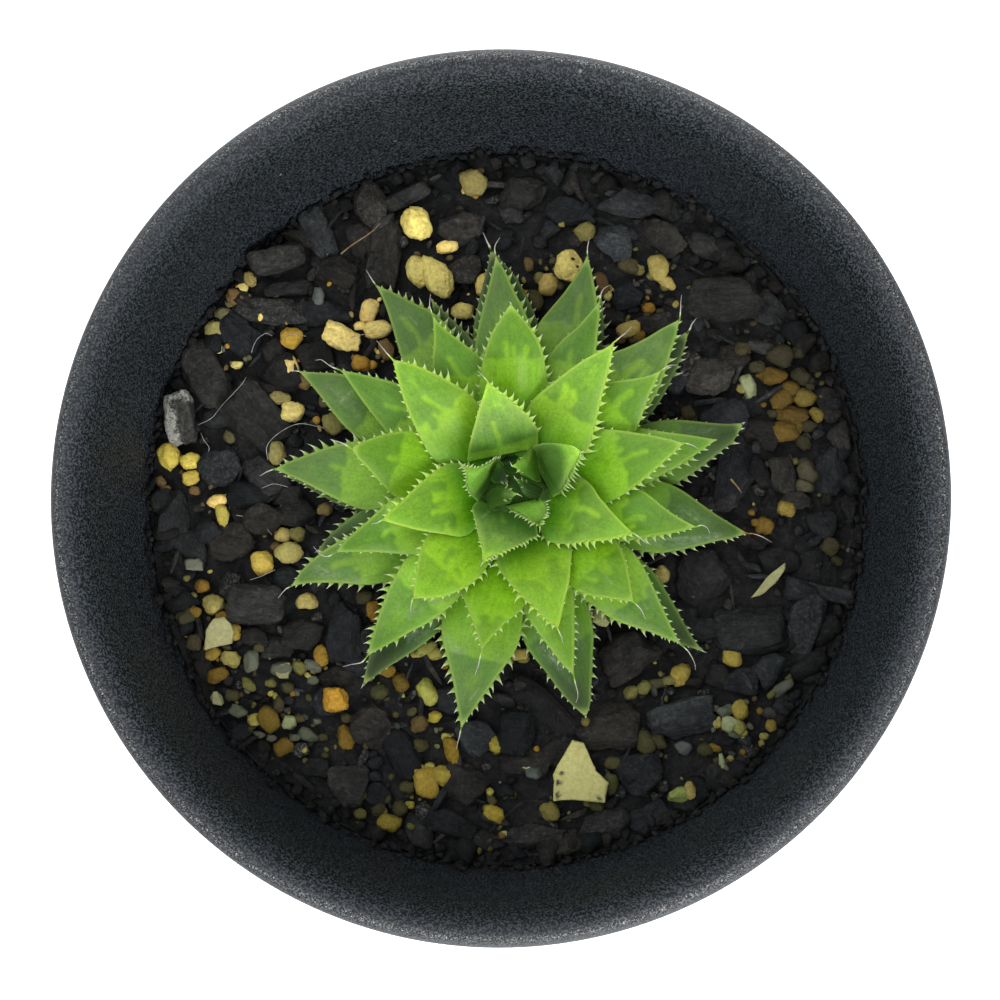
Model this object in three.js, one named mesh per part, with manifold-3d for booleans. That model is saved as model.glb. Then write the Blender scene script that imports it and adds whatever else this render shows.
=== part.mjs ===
// Potted rosette succulent: a small thin-walled nursery pot with a rolled rim,
// gritty growing mix, a short stem and 49 toothed, keeled leaves.
// Millimetres, +Z up, origin at the centre of the pot's foot.
import * as THREE from 'three';
import { mergeVertices } from 'three/addons/utils/BufferGeometryUtils.js';
import Module from 'manifold-3d';

// ---- driving dimensions -------------------------------------------------
const RIM_OUTER_R = 45;        // half the rim's outer diameter
const POT_H = 75;              // foot to top of rim
const LIP_INNER_R = 43.1;      // where the rolled lip starts
const SKIRT_BOTTOM_Z = 69.4;   // lower edge of the hanging lip
const SKIRT_T = 1.1;           // wall of the hanging lip
const WALL_T = 1.2;            // wall of the pot
const WALL_TOP_R = 41.0;       // inner wall radius at the ledge below the lip
const WALL_TOP_Z = 71.9;
const WALL_BOTTOM_R = 28.5;    // inner wall radius at the floor
const FLOOR_Z = 4.0;           // top of the floor
const FLOOR_UNDER_Z = 2.4;     // underside of the floor
const FOOT_INNER_R = 26.4;     // inside of the standing ring
const HOLE_R = 3.6;            // drainage holes
const HOLE_RING_R = 18.5;
const HOLES = 6;
const POT_SEG = 48;

const SOIL_Z = 56.85;          // mean level of the mix
const SOIL_BUMP = 0.3;         // height of its unevenness
const SOIL_SEG = 40;
const GAP = 0.3;               // clearance between neighbouring pieces

const STEM_X = 1.43;           // the stem stands a little off the pot's axis
const STEM_Y = 0.58;
const STEM_R = 4.7;            // at soil level
const STEM_FOOT_Z = 45;
const STEM_TOP_Z = 65.15;

const EDGE_UP = 0.06;          // leaf margin: how far it stands above and
const EDGE_DOWN = 0.14;        // below the line through its stations

// ---- leaf stations, base to tip ----------------------------------------
// left margin x y z, right margin x y z, keel depth, crown of the upper face
const LEAVES = {
  leaf_01: [
    [-0.18, 3.37, 69.46, -0.89, 1.84, 69.5, 0.89, 0.09],
    [0.01, 3.16, 69.64, -0.7, 1.64, 69.67, 0.89, 0.09],
    [0.21, 2.94, 69.83, -0.5, 1.48, 69.84, 0.86, 0.08],
    [0.41, 2.66, 69.99, -0.3, 1.4, 70, 0.79, 0.07],
    [0.55, 2.35, 70.12, -0.06, 1.37, 70.13, 0.67, 0.06],
    [0.67, 2.03, 70.21, 0.19, 1.36, 70.22, 0.53, 0.04],
    [0.74, 1.68, 70.27, 0.43, 1.35, 70.27, 0.37, 0.02],
    [0.77, 1.39, 70.31, 0.62, 1.27, 70.31, 0.26, 0.01],
    [0.77, 1.15, 70.33, 0.77, 1.15, 70.33, 0.18, 0],
  ],
  leaf_02: [
    [4.08, 0.02, 69.13, 4.38, 0.62, 69.13, 0.47, 0.03],
    [3.77, 0.14, 69.44, 4, 0.83, 69.44, 0.49, 0.04],
    [3.42, 0.25, 69.73, 3.63, 1, 69.73, 0.51, 0.04],
    [3.06, 0.33, 69.99, 3.26, 1.13, 69.99, 0.53, 0.04],
    [2.76, 0.52, 70.21, 2.91, 1.29, 70.21, 0.51, 0.04],
    [2.48, 0.75, 70.39, 2.57, 1.43, 70.39, 0.47, 0.03],
    [2.2, 1.01, 70.52, 2.23, 1.5, 70.52, 0.39, 0.02],
    [1.93, 1.32, 70.63, 1.93, 1.56, 70.63, 0.28, 0.01],
    [1.7, 1.61, 70.73, 1.7, 1.61, 70.73, 0.18, 0],
  ],
  leaf_03: [
    [-1.31, -0.27, 69.13, -1.21, -0.99, 69.13, 0.48, 0.04],
    [-0.96, 0.03, 69.46, -0.86, -0.81, 69.46, 0.54, 0.04],
    [-0.58, 0.32, 69.78, -0.5, -0.69, 69.78, 0.61, 0.05],
    [-0.18, 0.59, 70.07, -0.15, -0.61, 70.07, 0.69, 0.06],
    [0.21, 0.74, 70.32, 0.24, -0.53, 70.32, 0.72, 0.06],
    [0.59, 0.72, 70.51, 0.66, -0.45, 70.51, 0.67, 0.06],
    [0.96, 0.6, 70.68, 1.06, -0.34, 70.68, 0.58, 0.05],
    [1.34, 0.35, 70.81, 1.42, -0.17, 70.81, 0.4, 0.03],
    [1.7, 0.08, 70.93, 1.7, 0.08, 70.93, 0.18, 0],
  ],
  leaf_04: [
    [4.2, 1.58, 69.89, 3.7, 4.42, 69.95, 1.2, 0.14],
    [3.9, 1.43, 70.19, 3.34, 4.73, 70.22, 1.2, 0.17],
    [3.54, 1.51, 70.5, 3.02, 4.69, 70.51, 1.19, 0.16],
    [3.14, 1.76, 70.78, 2.75, 4.35, 70.8, 1.09, 0.13],
    [2.75, 2.02, 71.04, 2.48, 3.95, 71.05, 0.93, 0.1],
    [2.39, 2.26, 71.26, 2.21, 3.58, 71.26, 0.74, 0.07],
    [2.05, 2.48, 71.44, 1.93, 3.27, 71.44, 0.52, 0.04],
    [1.72, 2.67, 71.59, 1.66, 3.03, 71.59, 0.33, 0.02],
    [1.43, 2.84, 71.73, 1.43, 2.84, 71.73, 0.18, 0],
  ],
  leaf_05: [
    [3.94, -0.18, 67.83, 0.67, -0.89, 67.83, 1.2, 0.17],
    [4.37, -0.47, 68.59, 0.99, -1.23, 68.59, 1.2, 0.17],
    [4.66, -0.83, 69.32, 1.39, -1.52, 69.32, 1.2, 0.17],
    [4.78, -1.27, 70.02, 1.88, -1.79, 70.02, 1.2, 0.15],
    [4.76, -1.66, 70.67, 2.42, -2.16, 70.67, 1.19, 0.12],
    [4.65, -2.07, 71.27, 2.93, -2.51, 71.27, 0.93, 0.09],
    [4.49, -2.52, 71.83, 3.41, -2.85, 71.83, 0.66, 0.06],
    [4.32, -2.98, 72.35, 3.82, -3.15, 72.35, 0.4, 0.03],
    [4.17, -3.4, 72.84, 4.17, -3.4, 72.84, 0.18, 0],
  ],
  leaf_06: [
    [-2.31, -0.34, 67.42, 0.33, 3.31, 66.76, 1.2, 0.23],
    [-2.67, -0.05, 68.16, 0.07, 3.62, 67.73, 1.2, 0.23],
    [-3, 0.28, 68.96, -0.23, 3.81, 68.7, 1.2, 0.23],
    [-3.28, 0.8, 69.8, -0.72, 3.59, 69.64, 1.2, 0.19],
    [-3.34, 1.49, 70.63, -1.45, 3.11, 70.54, 1.2, 0.12],
    [-3.29, 2.11, 71.43, -2.25, 2.77, 71.38, 0.7, 0.06],
    [-3.34, 2.49, 72.2, -2.88, 2.71, 72.17, 0.4, 0.03],
    [-3.52, 2.72, 72.93, -3.34, 2.79, 72.92, 0.26, 0.01],
    [-3.71, 2.88, 73.65, -3.71, 2.88, 73.65, 0.18, 0],
  ],
  leaf_07: [
    [3.42, 3.67, 67.21, 5.35, 0.09, 66.97, 1.2, 0.2],
    [3.44, 4.59, 68.03, 5.87, 0.32, 67.93, 1.2, 0.25],
    [3.7, 5.16, 68.99, 6.35, 0.69, 68.95, 1.2, 0.26],
    [4.32, 5.24, 69.99, 6.78, 1.31, 69.97, 1.2, 0.23],
    [5.02, 5.21, 70.97, 7.17, 1.92, 70.96, 1.2, 0.2],
    [5.82, 5.05, 71.9, 7.52, 2.5, 71.89, 1.2, 0.15],
    [6.63, 4.87, 72.79, 7.85, 3.02, 72.78, 1.09, 0.11],
    [7.44, 4.61, 73.63, 8.15, 3.49, 73.63, 0.74, 0.07],
    [8.3, 3.96, 74.46, 8.3, 3.96, 74.46, 0.18, 0],
  ],
  leaf_08: [
    [3.6, -2.24, 66.6, -2.35, -0.17, 66.66, 1.2, 0.32],
    [3.73, -3.34, 67.56, -2.7, -0.82, 67.52, 1.2, 0.35],
    [3.43, -4.14, 68.55, -2.72, -1.71, 68.52, 1.2, 0.33],
    [2.64, -4.64, 69.53, -2.42, -2.81, 69.51, 1.2, 0.27],
    [1.72, -5.16, 70.48, -2.14, -3.78, 70.47, 1.2, 0.21],
    [0.79, -5.66, 71.38, -1.89, -4.67, 71.37, 1.17, 0.14],
    [-0.15, -6.14, 72.24, -1.67, -5.49, 72.23, 0.88, 0.08],
    [-0.93, -6.6, 73.06, -1.54, -6.28, 73.06, 0.47, 0.03],
    [-1.49, -7, 73.85, -1.49, -7, 73.85, 0.18, 0],
  ],
  leaf_09: [
    [-3.36, 3.72, 66.96, 3.82, 5.13, 66.96, 1.2, 0.37],
    [-3.25, 4.57, 67.79, 3.84, 6.24, 67.8, 1.2, 0.37],
    [-3.04, 5.51, 68.73, 3.61, 7.18, 68.74, 1.2, 0.34],
    [-2.69, 6.59, 69.7, 3.05, 7.93, 69.71, 1.2, 0.3],
    [-2.35, 7.59, 70.68, 2.3, 8.65, 70.68, 1.2, 0.24],
    [-2, 8.55, 71.62, 1.46, 9.34, 71.63, 1.2, 0.18],
    [-1.64, 9.45, 72.53, 0.55, 9.98, 72.53, 1.05, 0.11],
    [-1.3, 10.32, 73.4, -0.33, 10.58, 73.4, 0.61, 0.05],
    [-1.03, 11.08, 74.25, -1.03, 11.08, 74.25, 0.18, 0],
  ],
  leaf_10: [
    [5.28, 1.42, 65.49, 3.81, -2.72, 66.02, 0.51, 0.22],
    [6.82, 2.08, 66.27, 4.79, -4.28, 66.86, 0.53, 0.34],
    [8.11, 2.01, 67.09, 6.05, -4.69, 67.49, 0.56, 0.35],
    [9.18, 1.25, 67.92, 7.4, -4.7, 68.16, 0.67, 0.31],
    [10.04, -0.02, 68.71, 8.74, -4.63, 68.86, 0.92, 0.24],
    [10.95, -1.16, 69.44, 10.01, -4.57, 69.53, 1.19, 0.18],
    [11.83, -2.21, 70.12, 11.25, -4.46, 70.17, 1.15, 0.12],
    [12.68, -3.16, 70.75, 12.47, -4.23, 70.78, 0.65, 0.06],
    [13.5, -3.96, 71.36, 13.5, -3.96, 71.36, 0.18, 0],
  ],
  leaf_11: [
    [1.44, 4.55, 65.42, 5.19, 2.06, 65.63, 0.51, 0.23],
    [2.03, 6.57, 66.03, 6.91, 3.39, 66.38, 0.55, 0.29],
    [2.56, 8.59, 66.8, 8.54, 4.69, 67.12, 0.7, 0.36],
    [3.61, 10.2, 67.61, 9.43, 6.45, 67.83, 1.09, 0.35],
    [5.07, 11.39, 68.4, 9.96, 8.48, 68.53, 1.51, 0.29],
    [6.67, 12.54, 69.13, 10.43, 10.36, 69.21, 1.8, 0.22],
    [8.35, 13.63, 69.8, 10.9, 12.09, 69.85, 1.44, 0.15],
    [10.03, 14.49, 70.43, 11.34, 13.83, 70.45, 0.8, 0.07],
    [11.56, 15.33, 71.03, 11.56, 15.33, 71.03, 0.18, 0],
  ],
  leaf_12: [
    [4.58, -2.03, 64.64, 0.31, -3.37, 64.81, 0.51, 0.23],
    [6.08, -3.15, 65.49, -0.23, -5.26, 65.8, 0.54, 0.33],
    [7.03, -4.46, 66.43, -0.2, -6.9, 66.69, 0.59, 0.38],
    [7.19, -5.98, 67.39, 0.58, -8.26, 67.55, 0.83, 0.35],
    [7.11, -7.56, 68.26, 1.58, -9.48, 68.36, 1.16, 0.29],
    [6.88, -9.19, 69.04, 2.62, -10.56, 69.1, 1.45, 0.23],
    [6.49, -10.88, 69.76, 3.66, -11.52, 69.79, 1.36, 0.15],
    [6.18, -12.35, 70.41, 4.69, -12.52, 70.42, 0.82, 0.08],
    [5.87, -13.47, 71.03, 5.87, -13.47, 71.03, 0.18, 0],
  ],
  leaf_13: [
    [-1.8, -1.9, 65.3, -2.01, 2.53, 65.82, 0.51, 0.22],
    [-2.75, -3.1, 66.21, -3.88, 3.4, 66.48, 0.54, 0.33],
    [-3.83, -3.81, 66.99, -5.49, 3.38, 67.14, 0.56, 0.37],
    [-5.2, -3.81, 67.76, -6.76, 2.6, 67.84, 0.71, 0.33],
    [-6.61, -3.63, 68.51, -7.91, 1.6, 68.55, 1, 0.27],
    [-8.01, -3.46, 69.2, -8.96, 0.51, 69.22, 1.28, 0.21],
    [-9.45, -3.15, 69.84, -9.91, -0.52, 69.86, 1.26, 0.13],
    [-10.79, -2.81, 70.45, -10.86, -1.45, 70.45, 0.76, 0.07],
    [-11.79, -2.52, 71.02, -11.79, -2.52, 71.02, 0.18, 0],
  ],
  leaf_14: [
    [-2.63, 1.35, 64.76, 0.54, 4.54, 65.24, 0.51, 0.23],
    [-4.47, 2.54, 65.58, -0.56, 6.18, 65.78, 0.55, 0.27],
    [-6.32, 3.66, 66.52, -1.45, 7.9, 66.55, 0.72, 0.33],
    [-7.61, 5.12, 67.38, -2.34, 9.6, 67.35, 1.11, 0.35],
    [-8.52, 6.87, 68.15, -3.66, 10.92, 68.12, 1.52, 0.32],
    [-9.3, 8.64, 68.86, -5.35, 11.9, 68.84, 1.83, 0.26],
    [-9.91, 10.4, 69.51, -7.16, 12.74, 69.5, 1.57, 0.18],
    [-10.41, 12.17, 70.12, -8.97, 13.44, 70.11, 0.98, 0.1],
    [-10.77, 13.8, 70.69, -10.77, 13.8, 70.69, 0.18, 0],
  ],
  leaf_15: [
    [0.51, -3.49, 64.19, -2.64, -0.25, 64.36, 0.51, 0.23],
    [-0.34, -4.82, 65.03, -3.99, -1.24, 65.13, 0.54, 0.26],
    [-1.04, -6.23, 65.99, -5.41, -2.13, 66.1, 0.61, 0.3],
    [-1.77, -7.54, 66.99, -6.69, -3.13, 67.04, 0.85, 0.33],
    [-2.8, -8.68, 67.9, -7.61, -4.24, 67.92, 1.18, 0.33],
    [-4.11, -9.5, 68.7, -8.1, -5.67, 68.71, 1.47, 0.28],
    [-5.54, -10.07, 69.42, -8.38, -7.29, 69.43, 1.4, 0.2],
    [-7.14, -10.32, 70.08, -8.55, -8.95, 70.08, 0.89, 0.1],
    [-8.67, -10.42, 70.7, -8.67, -10.42, 70.7, 0.18, 0],
  ],
  leaf_16: [
    [4.27, 3.8, 64.87, 5.71, -0.46, 64.4, 0.52, 0.23],
    [6.14, 4.85, 65.46, 7.58, -0.38, 65.13, 0.55, 0.27],
    [7.97, 6.13, 66.18, 9.43, -0.56, 65.9, 0.73, 0.34],
    [9.78, 6.85, 66.97, 11.23, -0.27, 66.69, 1.14, 0.37],
    [11.61, 6.88, 67.68, 12.96, 0.58, 67.44, 1.54, 0.32],
    [13.51, 6.56, 68.23, 14.52, 1.7, 68.07, 1.82, 0.25],
    [15.27, 6.22, 68.73, 16.05, 2.96, 68.65, 1.51, 0.17],
    [16.98, 5.8, 69.22, 17.46, 4.19, 69.18, 0.89, 0.08],
    [18.61, 5.27, 69.68, 18.61, 5.27, 69.68, 0.18, 0],
  ],
  leaf_17: [
    [5.77, -0.17, 63.63, 2.84, -3.62, 63.65, 0.52, 0.23],
    [7.35, -1.28, 64.48, 3.93, -4.88, 64.49, 0.55, 0.25],
    [9.01, -2.29, 65.35, 4.89, -6.19, 65.36, 0.69, 0.29],
    [10.63, -3.32, 66.23, 5.82, -7.44, 66.23, 1.04, 0.32],
    [11.89, -4.54, 67.04, 6.78, -8.68, 67.04, 1.41, 0.33],
    [12.57, -6.01, 67.75, 8.2, -9.65, 67.75, 1.68, 0.29],
    [12.98, -7.64, 68.39, 9.97, -10.18, 68.39, 1.45, 0.2],
    [13.29, -9.27, 68.98, 11.82, -10.5, 68.98, 0.92, 0.1],
    [13.49, -10.75, 69.53, 13.49, -10.75, 69.53, 0.18, 0],
  ],
  leaf_18: [
    [-0.89, 4.27, 64.2, 3.66, 4.3, 64.76, 0.52, 0.23],
    [-1.29, 6.42, 64.82, 4.01, 6.43, 65.17, 0.57, 0.27],
    [-1.89, 8.53, 65.55, 4.56, 8.5, 65.76, 0.8, 0.32],
    [-2.17, 10.57, 66.31, 4.84, 10.54, 66.43, 1.25, 0.35],
    [-2.07, 12.55, 67.03, 4.74, 12.55, 67.1, 1.69, 0.34],
    [-1.67, 14.44, 67.68, 4.38, 14.53, 67.73, 1.98, 0.3],
    [-1.02, 16.29, 68.28, 3.66, 16.41, 68.31, 1.59, 0.24],
    [-0.04, 18.04, 68.83, 2.36, 18.18, 68.85, 1.01, 0.12],
    [1.13, 19.66, 69.36, 1.13, 19.66, 69.36, 0.18, 0],
  ],
  leaf_19: [
    [-2.84, -0.59, 63.66, -1.6, 3.75, 63.99, 0.52, 0.23],
    [-4.74, -0.36, 64.42, -3.29, 4.46, 64.54, 0.55, 0.25],
    [-6.65, -0.28, 65.22, -4.9, 5.28, 65.23, 0.71, 0.29],
    [-8.53, -0.2, 66.04, -6.45, 6.07, 66, 1.08, 0.33],
    [-10.29, 0.02, 66.84, -8.05, 6.67, 66.81, 1.47, 0.35],
    [-11.62, 0.91, 67.56, -9.9, 6.81, 67.54, 1.74, 0.31],
    [-12.9, 2.29, 68.21, -11.68, 6.47, 68.2, 1.49, 0.22],
    [-14.12, 3.6, 68.81, -13.43, 5.86, 68.8, 0.95, 0.12],
    [-15.1, 4.94, 69.37, -15.1, 4.94, 69.37, 0.18, 0],
  ],
  leaf_20: [
    [2.87, -3.61, 63.09, -1.58, -2.68, 63.15, 0.52, 0.23],
    [2.81, -5.38, 64.12, -2.15, -4.42, 64.17, 0.55, 0.25],
    [2.91, -7.12, 65.11, -2.85, -6.11, 65.15, 0.69, 0.29],
    [2.9, -8.83, 66.03, -3.49, -7.74, 66.05, 1.04, 0.33],
    [2.63, -10.51, 66.85, -3.93, -9.29, 66.87, 1.41, 0.34],
    [1.53, -11.94, 67.58, -3.49, -10.96, 67.59, 1.68, 0.26],
    [0.13, -13.21, 68.22, -2.82, -12.66, 68.23, 1.38, 0.15],
    [-1, -14.45, 68.81, -2.22, -14.26, 68.81, 0.7, 0.06],
    [-1.83, -15.6, 69.37, -1.83, -15.6, 69.37, 0.18, 0],
  ],
  leaf_21: [
    [2.98, 4.73, 63.99, 5.87, 1.27, 63.5, 0.52, 0.23],
    [4.52, 6.19, 64.61, 7.67, 2.45, 64.24, 0.58, 0.25],
    [5.96, 7.71, 65.2, 9.52, 3.53, 64.92, 0.83, 0.28],
    [7.37, 9.19, 65.88, 11.33, 4.58, 65.64, 1.28, 0.31],
    [8.72, 10.65, 66.61, 12.97, 5.74, 66.39, 1.72, 0.33],
    [10.4, 11.69, 67.28, 14.06, 7.36, 67.15, 2, 0.29],
    [12.55, 11.96, 67.89, 14.83, 9.39, 67.82, 1.52, 0.17],
    [14.63, 12.21, 68.46, 15.61, 11.19, 68.42, 0.78, 0.07],
    [16.31, 12.68, 68.99, 16.31, 12.68, 68.99, 0.18, 0],
  ],
  leaf_22: [
    [5.68, 2.22, 62.76, 4.97, -2.26, 62.39, 0.52, 0.23],
    [7.74, 2, 63.61, 6.96, -2.83, 63.47, 0.57, 0.25],
    [9.79, 1.88, 64.56, 8.88, -3.49, 64.48, 0.82, 0.27],
    [11.78, 1.75, 65.44, 10.76, -4.12, 65.4, 1.25, 0.3],
    [13.71, 1.16, 66.24, 12.58, -4.38, 66.21, 1.68, 0.28],
    [15.38, 0.06, 66.92, 14.53, -4.13, 66.91, 1.9, 0.22],
    [16.86, -1.19, 67.54, 16.5, -3.82, 67.53, 1.3, 0.13],
    [18.35, -2.25, 68.09, 18.3, -3.53, 68.08, 0.72, 0.06],
    [19.78, -3.12, 68.61, 19.78, -3.12, 68.61, 0.18, 0],
  ],
  leaf_23: [
    [-2.44, 3.23, 63.13, 1.64, 5.23, 63.46, 0.52, 0.23],
    [-3.52, 5.28, 63.69, 0.77, 7.11, 63.92, 0.6, 0.24],
    [-4.62, 7.29, 64.32, -0.06, 8.97, 64.43, 0.91, 0.24],
    [-5.62, 9.26, 64.95, -0.78, 10.84, 65.01, 1.38, 0.26],
    [-6.44, 11.18, 65.56, -1.26, 12.82, 65.59, 1.83, 0.27],
    [-6.97, 13.12, 66.1, -2.17, 14.61, 66.12, 2.04, 0.25],
    [-6.97, 15.15, 66.59, -3.92, 16.04, 66.6, 1.49, 0.16],
    [-6.9, 17.07, 67.04, -5.67, 17.39, 67.04, 0.71, 0.06],
    [-6.93, 18.71, 67.46, -6.93, 18.71, 67.46, 0.18, 0],
  ],
  leaf_24: [
    [4.86, -2.82, 62.18, 0.51, -4.16, 62.15, 0.53, 0.23],
    [5.63, -4.81, 63, 1.03, -6.25, 62.99, 0.6, 0.24],
    [6.45, -6.72, 63.79, 1.45, -8.32, 63.78, 0.92, 0.26],
    [7.17, -8.66, 64.51, 1.92, -10.3, 64.5, 1.37, 0.28],
    [7.46, -10.76, 65.16, 2.64, -12.03, 65.15, 1.81, 0.25],
    [7.47, -12.74, 65.72, 3.8, -13.69, 65.72, 1.78, 0.19],
    [7.47, -14.68, 66.22, 4.96, -15.25, 66.22, 1.27, 0.13],
    [7.44, -16.44, 66.66, 6.14, -16.78, 66.66, 0.75, 0.07],
    [7.39, -18.01, 67.08, 7.39, -18.01, 67.08, 0.18, 0],
  ],
  leaf_25: [
    [-2.18, -2.72, 62.46, -3.26, 1.67, 63.02, 0.53, 0.23],
    [-4.12, -3.51, 63.12, -5.32, 1.39, 63.43, 0.6, 0.25],
    [-5.99, -4.43, 63.77, -7.37, 1.25, 63.94, 0.9, 0.29],
    [-7.82, -5.25, 64.39, -9.38, 0.98, 64.48, 1.34, 0.32],
    [-9.58, -5.59, 64.96, -11.29, 0.02, 65.01, 1.77, 0.3],
    [-11.6, -5.5, 65.47, -12.83, -1.34, 65.5, 1.94, 0.22],
    [-13.51, -5.42, 65.91, -14.32, -2.76, 65.93, 1.36, 0.14],
    [-15.26, -5.43, 66.32, -15.75, -4.1, 66.32, 0.78, 0.07],
    [-16.86, -5.45, 66.69, -16.86, -5.45, 66.69, 0.18, 0],
  ],
  leaf_26: [
    [1.09, 5.37, 62.81, 5.26, 3.51, 63.07, 0.53, 0.23],
    [1.99, 7.36, 63.53, 6.31, 5.83, 63.62, 0.63, 0.23],
    [2.88, 9.34, 64, 7.34, 8.12, 64.1, 1.02, 0.23],
    [3.68, 11.35, 64.54, 8.35, 10.31, 64.65, 1.53, 0.24],
    [4.35, 13.45, 65.04, 9.16, 12.43, 65.12, 2.02, 0.25],
    [5.43, 15.39, 65.51, 9.62, 14.55, 65.55, 1.99, 0.21],
    [7.06, 17.03, 65.93, 9.91, 16.65, 65.96, 1.4, 0.14],
    [8.76, 18.67, 66.32, 10.11, 18.52, 66.33, 0.76, 0.07],
    [10.14, 20.19, 66.69, 10.14, 20.19, 66.69, 0.18, 0],
  ],
  leaf_27: [
    [4.86, 4.06, 62.39, 6.28, -0.19, 61.33, 0.53, 0.23],
    [7.09, 5.02, 62.86, 8.54, 0.22, 62.24, 0.63, 0.25],
    [9.27, 6.09, 63.44, 10.78, 0.49, 63.1, 1.04, 0.29],
    [11.42, 7.09, 64.04, 12.94, 0.81, 63.86, 1.54, 0.33],
    [13.54, 7.49, 64.61, 15.06, 1.63, 64.51, 2.02, 0.3],
    [15.83, 7.06, 65.11, 16.98, 2.76, 65.05, 2.05, 0.22],
    [18.05, 6.7, 65.56, 18.83, 3.77, 65.52, 1.46, 0.15],
    [20.18, 6.34, 65.95, 20.53, 4.91, 65.94, 0.8, 0.07],
    [22.04, 5.95, 66.32, 22.04, 5.95, 66.32, 0.18, 0],
  ],
  leaf_28: [
    [-3.46, 1.22, 62.26, -0.83, 4.94, 62.26, 0.53, 0.23],
    [-5.58, 2.55, 62.82, -2.7, 6.38, 62.76, 0.64, 0.24],
    [-7.7, 3.83, 63.34, -4.49, 7.84, 63.29, 1.07, 0.26],
    [-9.73, 5.1, 63.87, -6.28, 9.29, 63.84, 1.59, 0.27],
    [-11.43, 6.46, 64.38, -8.18, 10.77, 64.36, 2.1, 0.27],
    [-12.8, 8.23, 64.84, -10.24, 11.83, 64.83, 2.05, 0.22],
    [-14.18, 10, 65.24, -12.4, 12.51, 65.23, 1.48, 0.15],
    [-15.44, 11.77, 65.6, -14.56, 13.01, 65.6, 0.82, 0.08],
    [-16.52, 13.35, 65.93, -16.52, 13.35, 65.93, 0.18, 0],
  ],
  leaf_29: [
    [-0.21, -4.17, 61.11, -3.36, -0.91, 61.77, 0.53, 0.23],
    [-1.66, -6.08, 61.95, -5.41, -2.54, 62.33, 0.65, 0.26],
    [-2.95, -8.05, 62.71, -7.57, -4.04, 62.92, 1.12, 0.31],
    [-4.38, -9.85, 63.38, -9.51, -5.63, 63.49, 1.65, 0.33],
    [-6.11, -11.59, 63.96, -10.78, -7.47, 64.02, 2.17, 0.31],
    [-8.06, -12.88, 64.44, -11.8, -9.6, 64.48, 2.12, 0.25],
    [-9.99, -13.95, 64.86, -12.61, -11.93, 64.88, 1.58, 0.17],
    [-11.88, -15.01, 65.22, -13.25, -14.14, 65.23, 0.87, 0.08],
    [-13.67, -16.01, 65.56, -13.67, -16.01, 65.56, 0.18, 0],
  ],
  leaf_30: [
    [6.35, -0.63, 61.28, 3.4, -4.11, 61.28, 0.53, 0.23],
    [8.5, -2.12, 61.96, 5.09, -5.98, 61.96, 0.66, 0.26],
    [10.73, -3.46, 62.61, 6.63, -7.91, 62.61, 1.16, 0.3],
    [12.91, -4.88, 63.21, 8.11, -9.74, 63.21, 1.7, 0.34],
    [14.55, -6.91, 63.74, 9.79, -11.14, 63.74, 2.23, 0.32],
    [15.6, -9.01, 64.18, 11.85, -12.44, 64.18, 2.13, 0.26],
    [16.54, -11.18, 64.56, 14.16, -13.27, 64.56, 1.52, 0.16],
    [17.4, -13.13, 64.9, 16.43, -14.1, 64.9, 0.76, 0.07],
    [18.29, -14.84, 65.21, 18.29, -14.84, 65.21, 0.18, 0],
  ],
  leaf_31: [
    [3.11, 5.39, 62.31, 6.37, 2.34, 60.82, 0.53, 0.22],
    [4.87, 7.51, 62.53, 8.49, 4.17, 61.41, 0.7, 0.25],
    [6.52, 9.68, 62.83, 10.66, 5.88, 62.02, 1.29, 0.28],
    [8.13, 11.81, 63.05, 12.8, 7.57, 62.52, 1.88, 0.32],
    [9.81, 13.87, 63.23, 14.74, 9.33, 62.92, 2.47, 0.34],
    [11.75, 15.44, 63.27, 16.19, 11.61, 63.09, 2.25, 0.3],
    [14.04, 16.45, 63.33, 17.19, 14.32, 63.22, 1.73, 0.19],
    [16.28, 17.68, 63.38, 17.96, 16.74, 63.33, 0.99, 0.1],
    [18.44, 18.81, 63.42, 18.44, 18.81, 63.42, 0.18, 0],
  ],
  leaf_32: [
    [-1.14, 5.05, 61.63, 3.43, 5.35, 61.72, 0.53, 0.23],
    [-1.62, 7.74, 62.18, 3.54, 8.17, 62.2, 0.69, 0.26],
    [-2.26, 10.36, 62.73, 3.83, 10.96, 62.87, 1.28, 0.31],
    [-2.73, 12.9, 63.21, 3.83, 13.74, 63.34, 1.87, 0.33],
    [-2.86, 15.4, 63.27, 3.45, 16.57, 63.4, 2.46, 0.32],
    [-2.48, 18.13, 63.17, 2.63, 19.08, 63.25, 2.24, 0.26],
    [-1.82, 20.87, 63.11, 1.56, 21.4, 63.16, 1.63, 0.17],
    [-1.17, 23.41, 63.08, 0.49, 23.67, 63.1, 0.89, 0.08],
    [-0.66, 25.64, 63.05, -0.66, 25.64, 63.05, 0.18, 0],
  ],
  leaf_33: [
    [-3.65, -0.92, 61.23, -2.84, 3.58, 61.38, 0.54, 0.23],
    [-6.37, -0.74, 61.86, -5.66, 4.37, 61.69, 0.71, 0.26],
    [-9.04, -0.73, 62.49, -8.43, 5.28, 62.12, 1.32, 0.3],
    [-11.66, -0.73, 63.11, -11.17, 6.06, 62.53, 1.92, 0.34],
    [-14.38, -0.84, 63.12, -13.82, 6.37, 62.72, 2.5, 0.36],
    [-16.96, 0.13, 63.04, -16.44, 6.1, 62.82, 2.27, 0.3],
    [-19.39, 1.35, 62.9, -19.09, 5.38, 62.79, 1.79, 0.2],
    [-21.72, 2.53, 62.8, -21.6, 4.46, 62.75, 1, 0.1],
    [-23.79, 3.45, 62.7, -23.79, 3.45, 62.7, 0.18, 0],
  ],
  leaf_34: [
    [2.29, -4.79, 60.19, -2.13, -3.47, 59.84, 0.54, 0.23],
    [2.03, -7.39, 60.58, -3.35, -6.14, 60.34, 0.73, 0.28],
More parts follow.
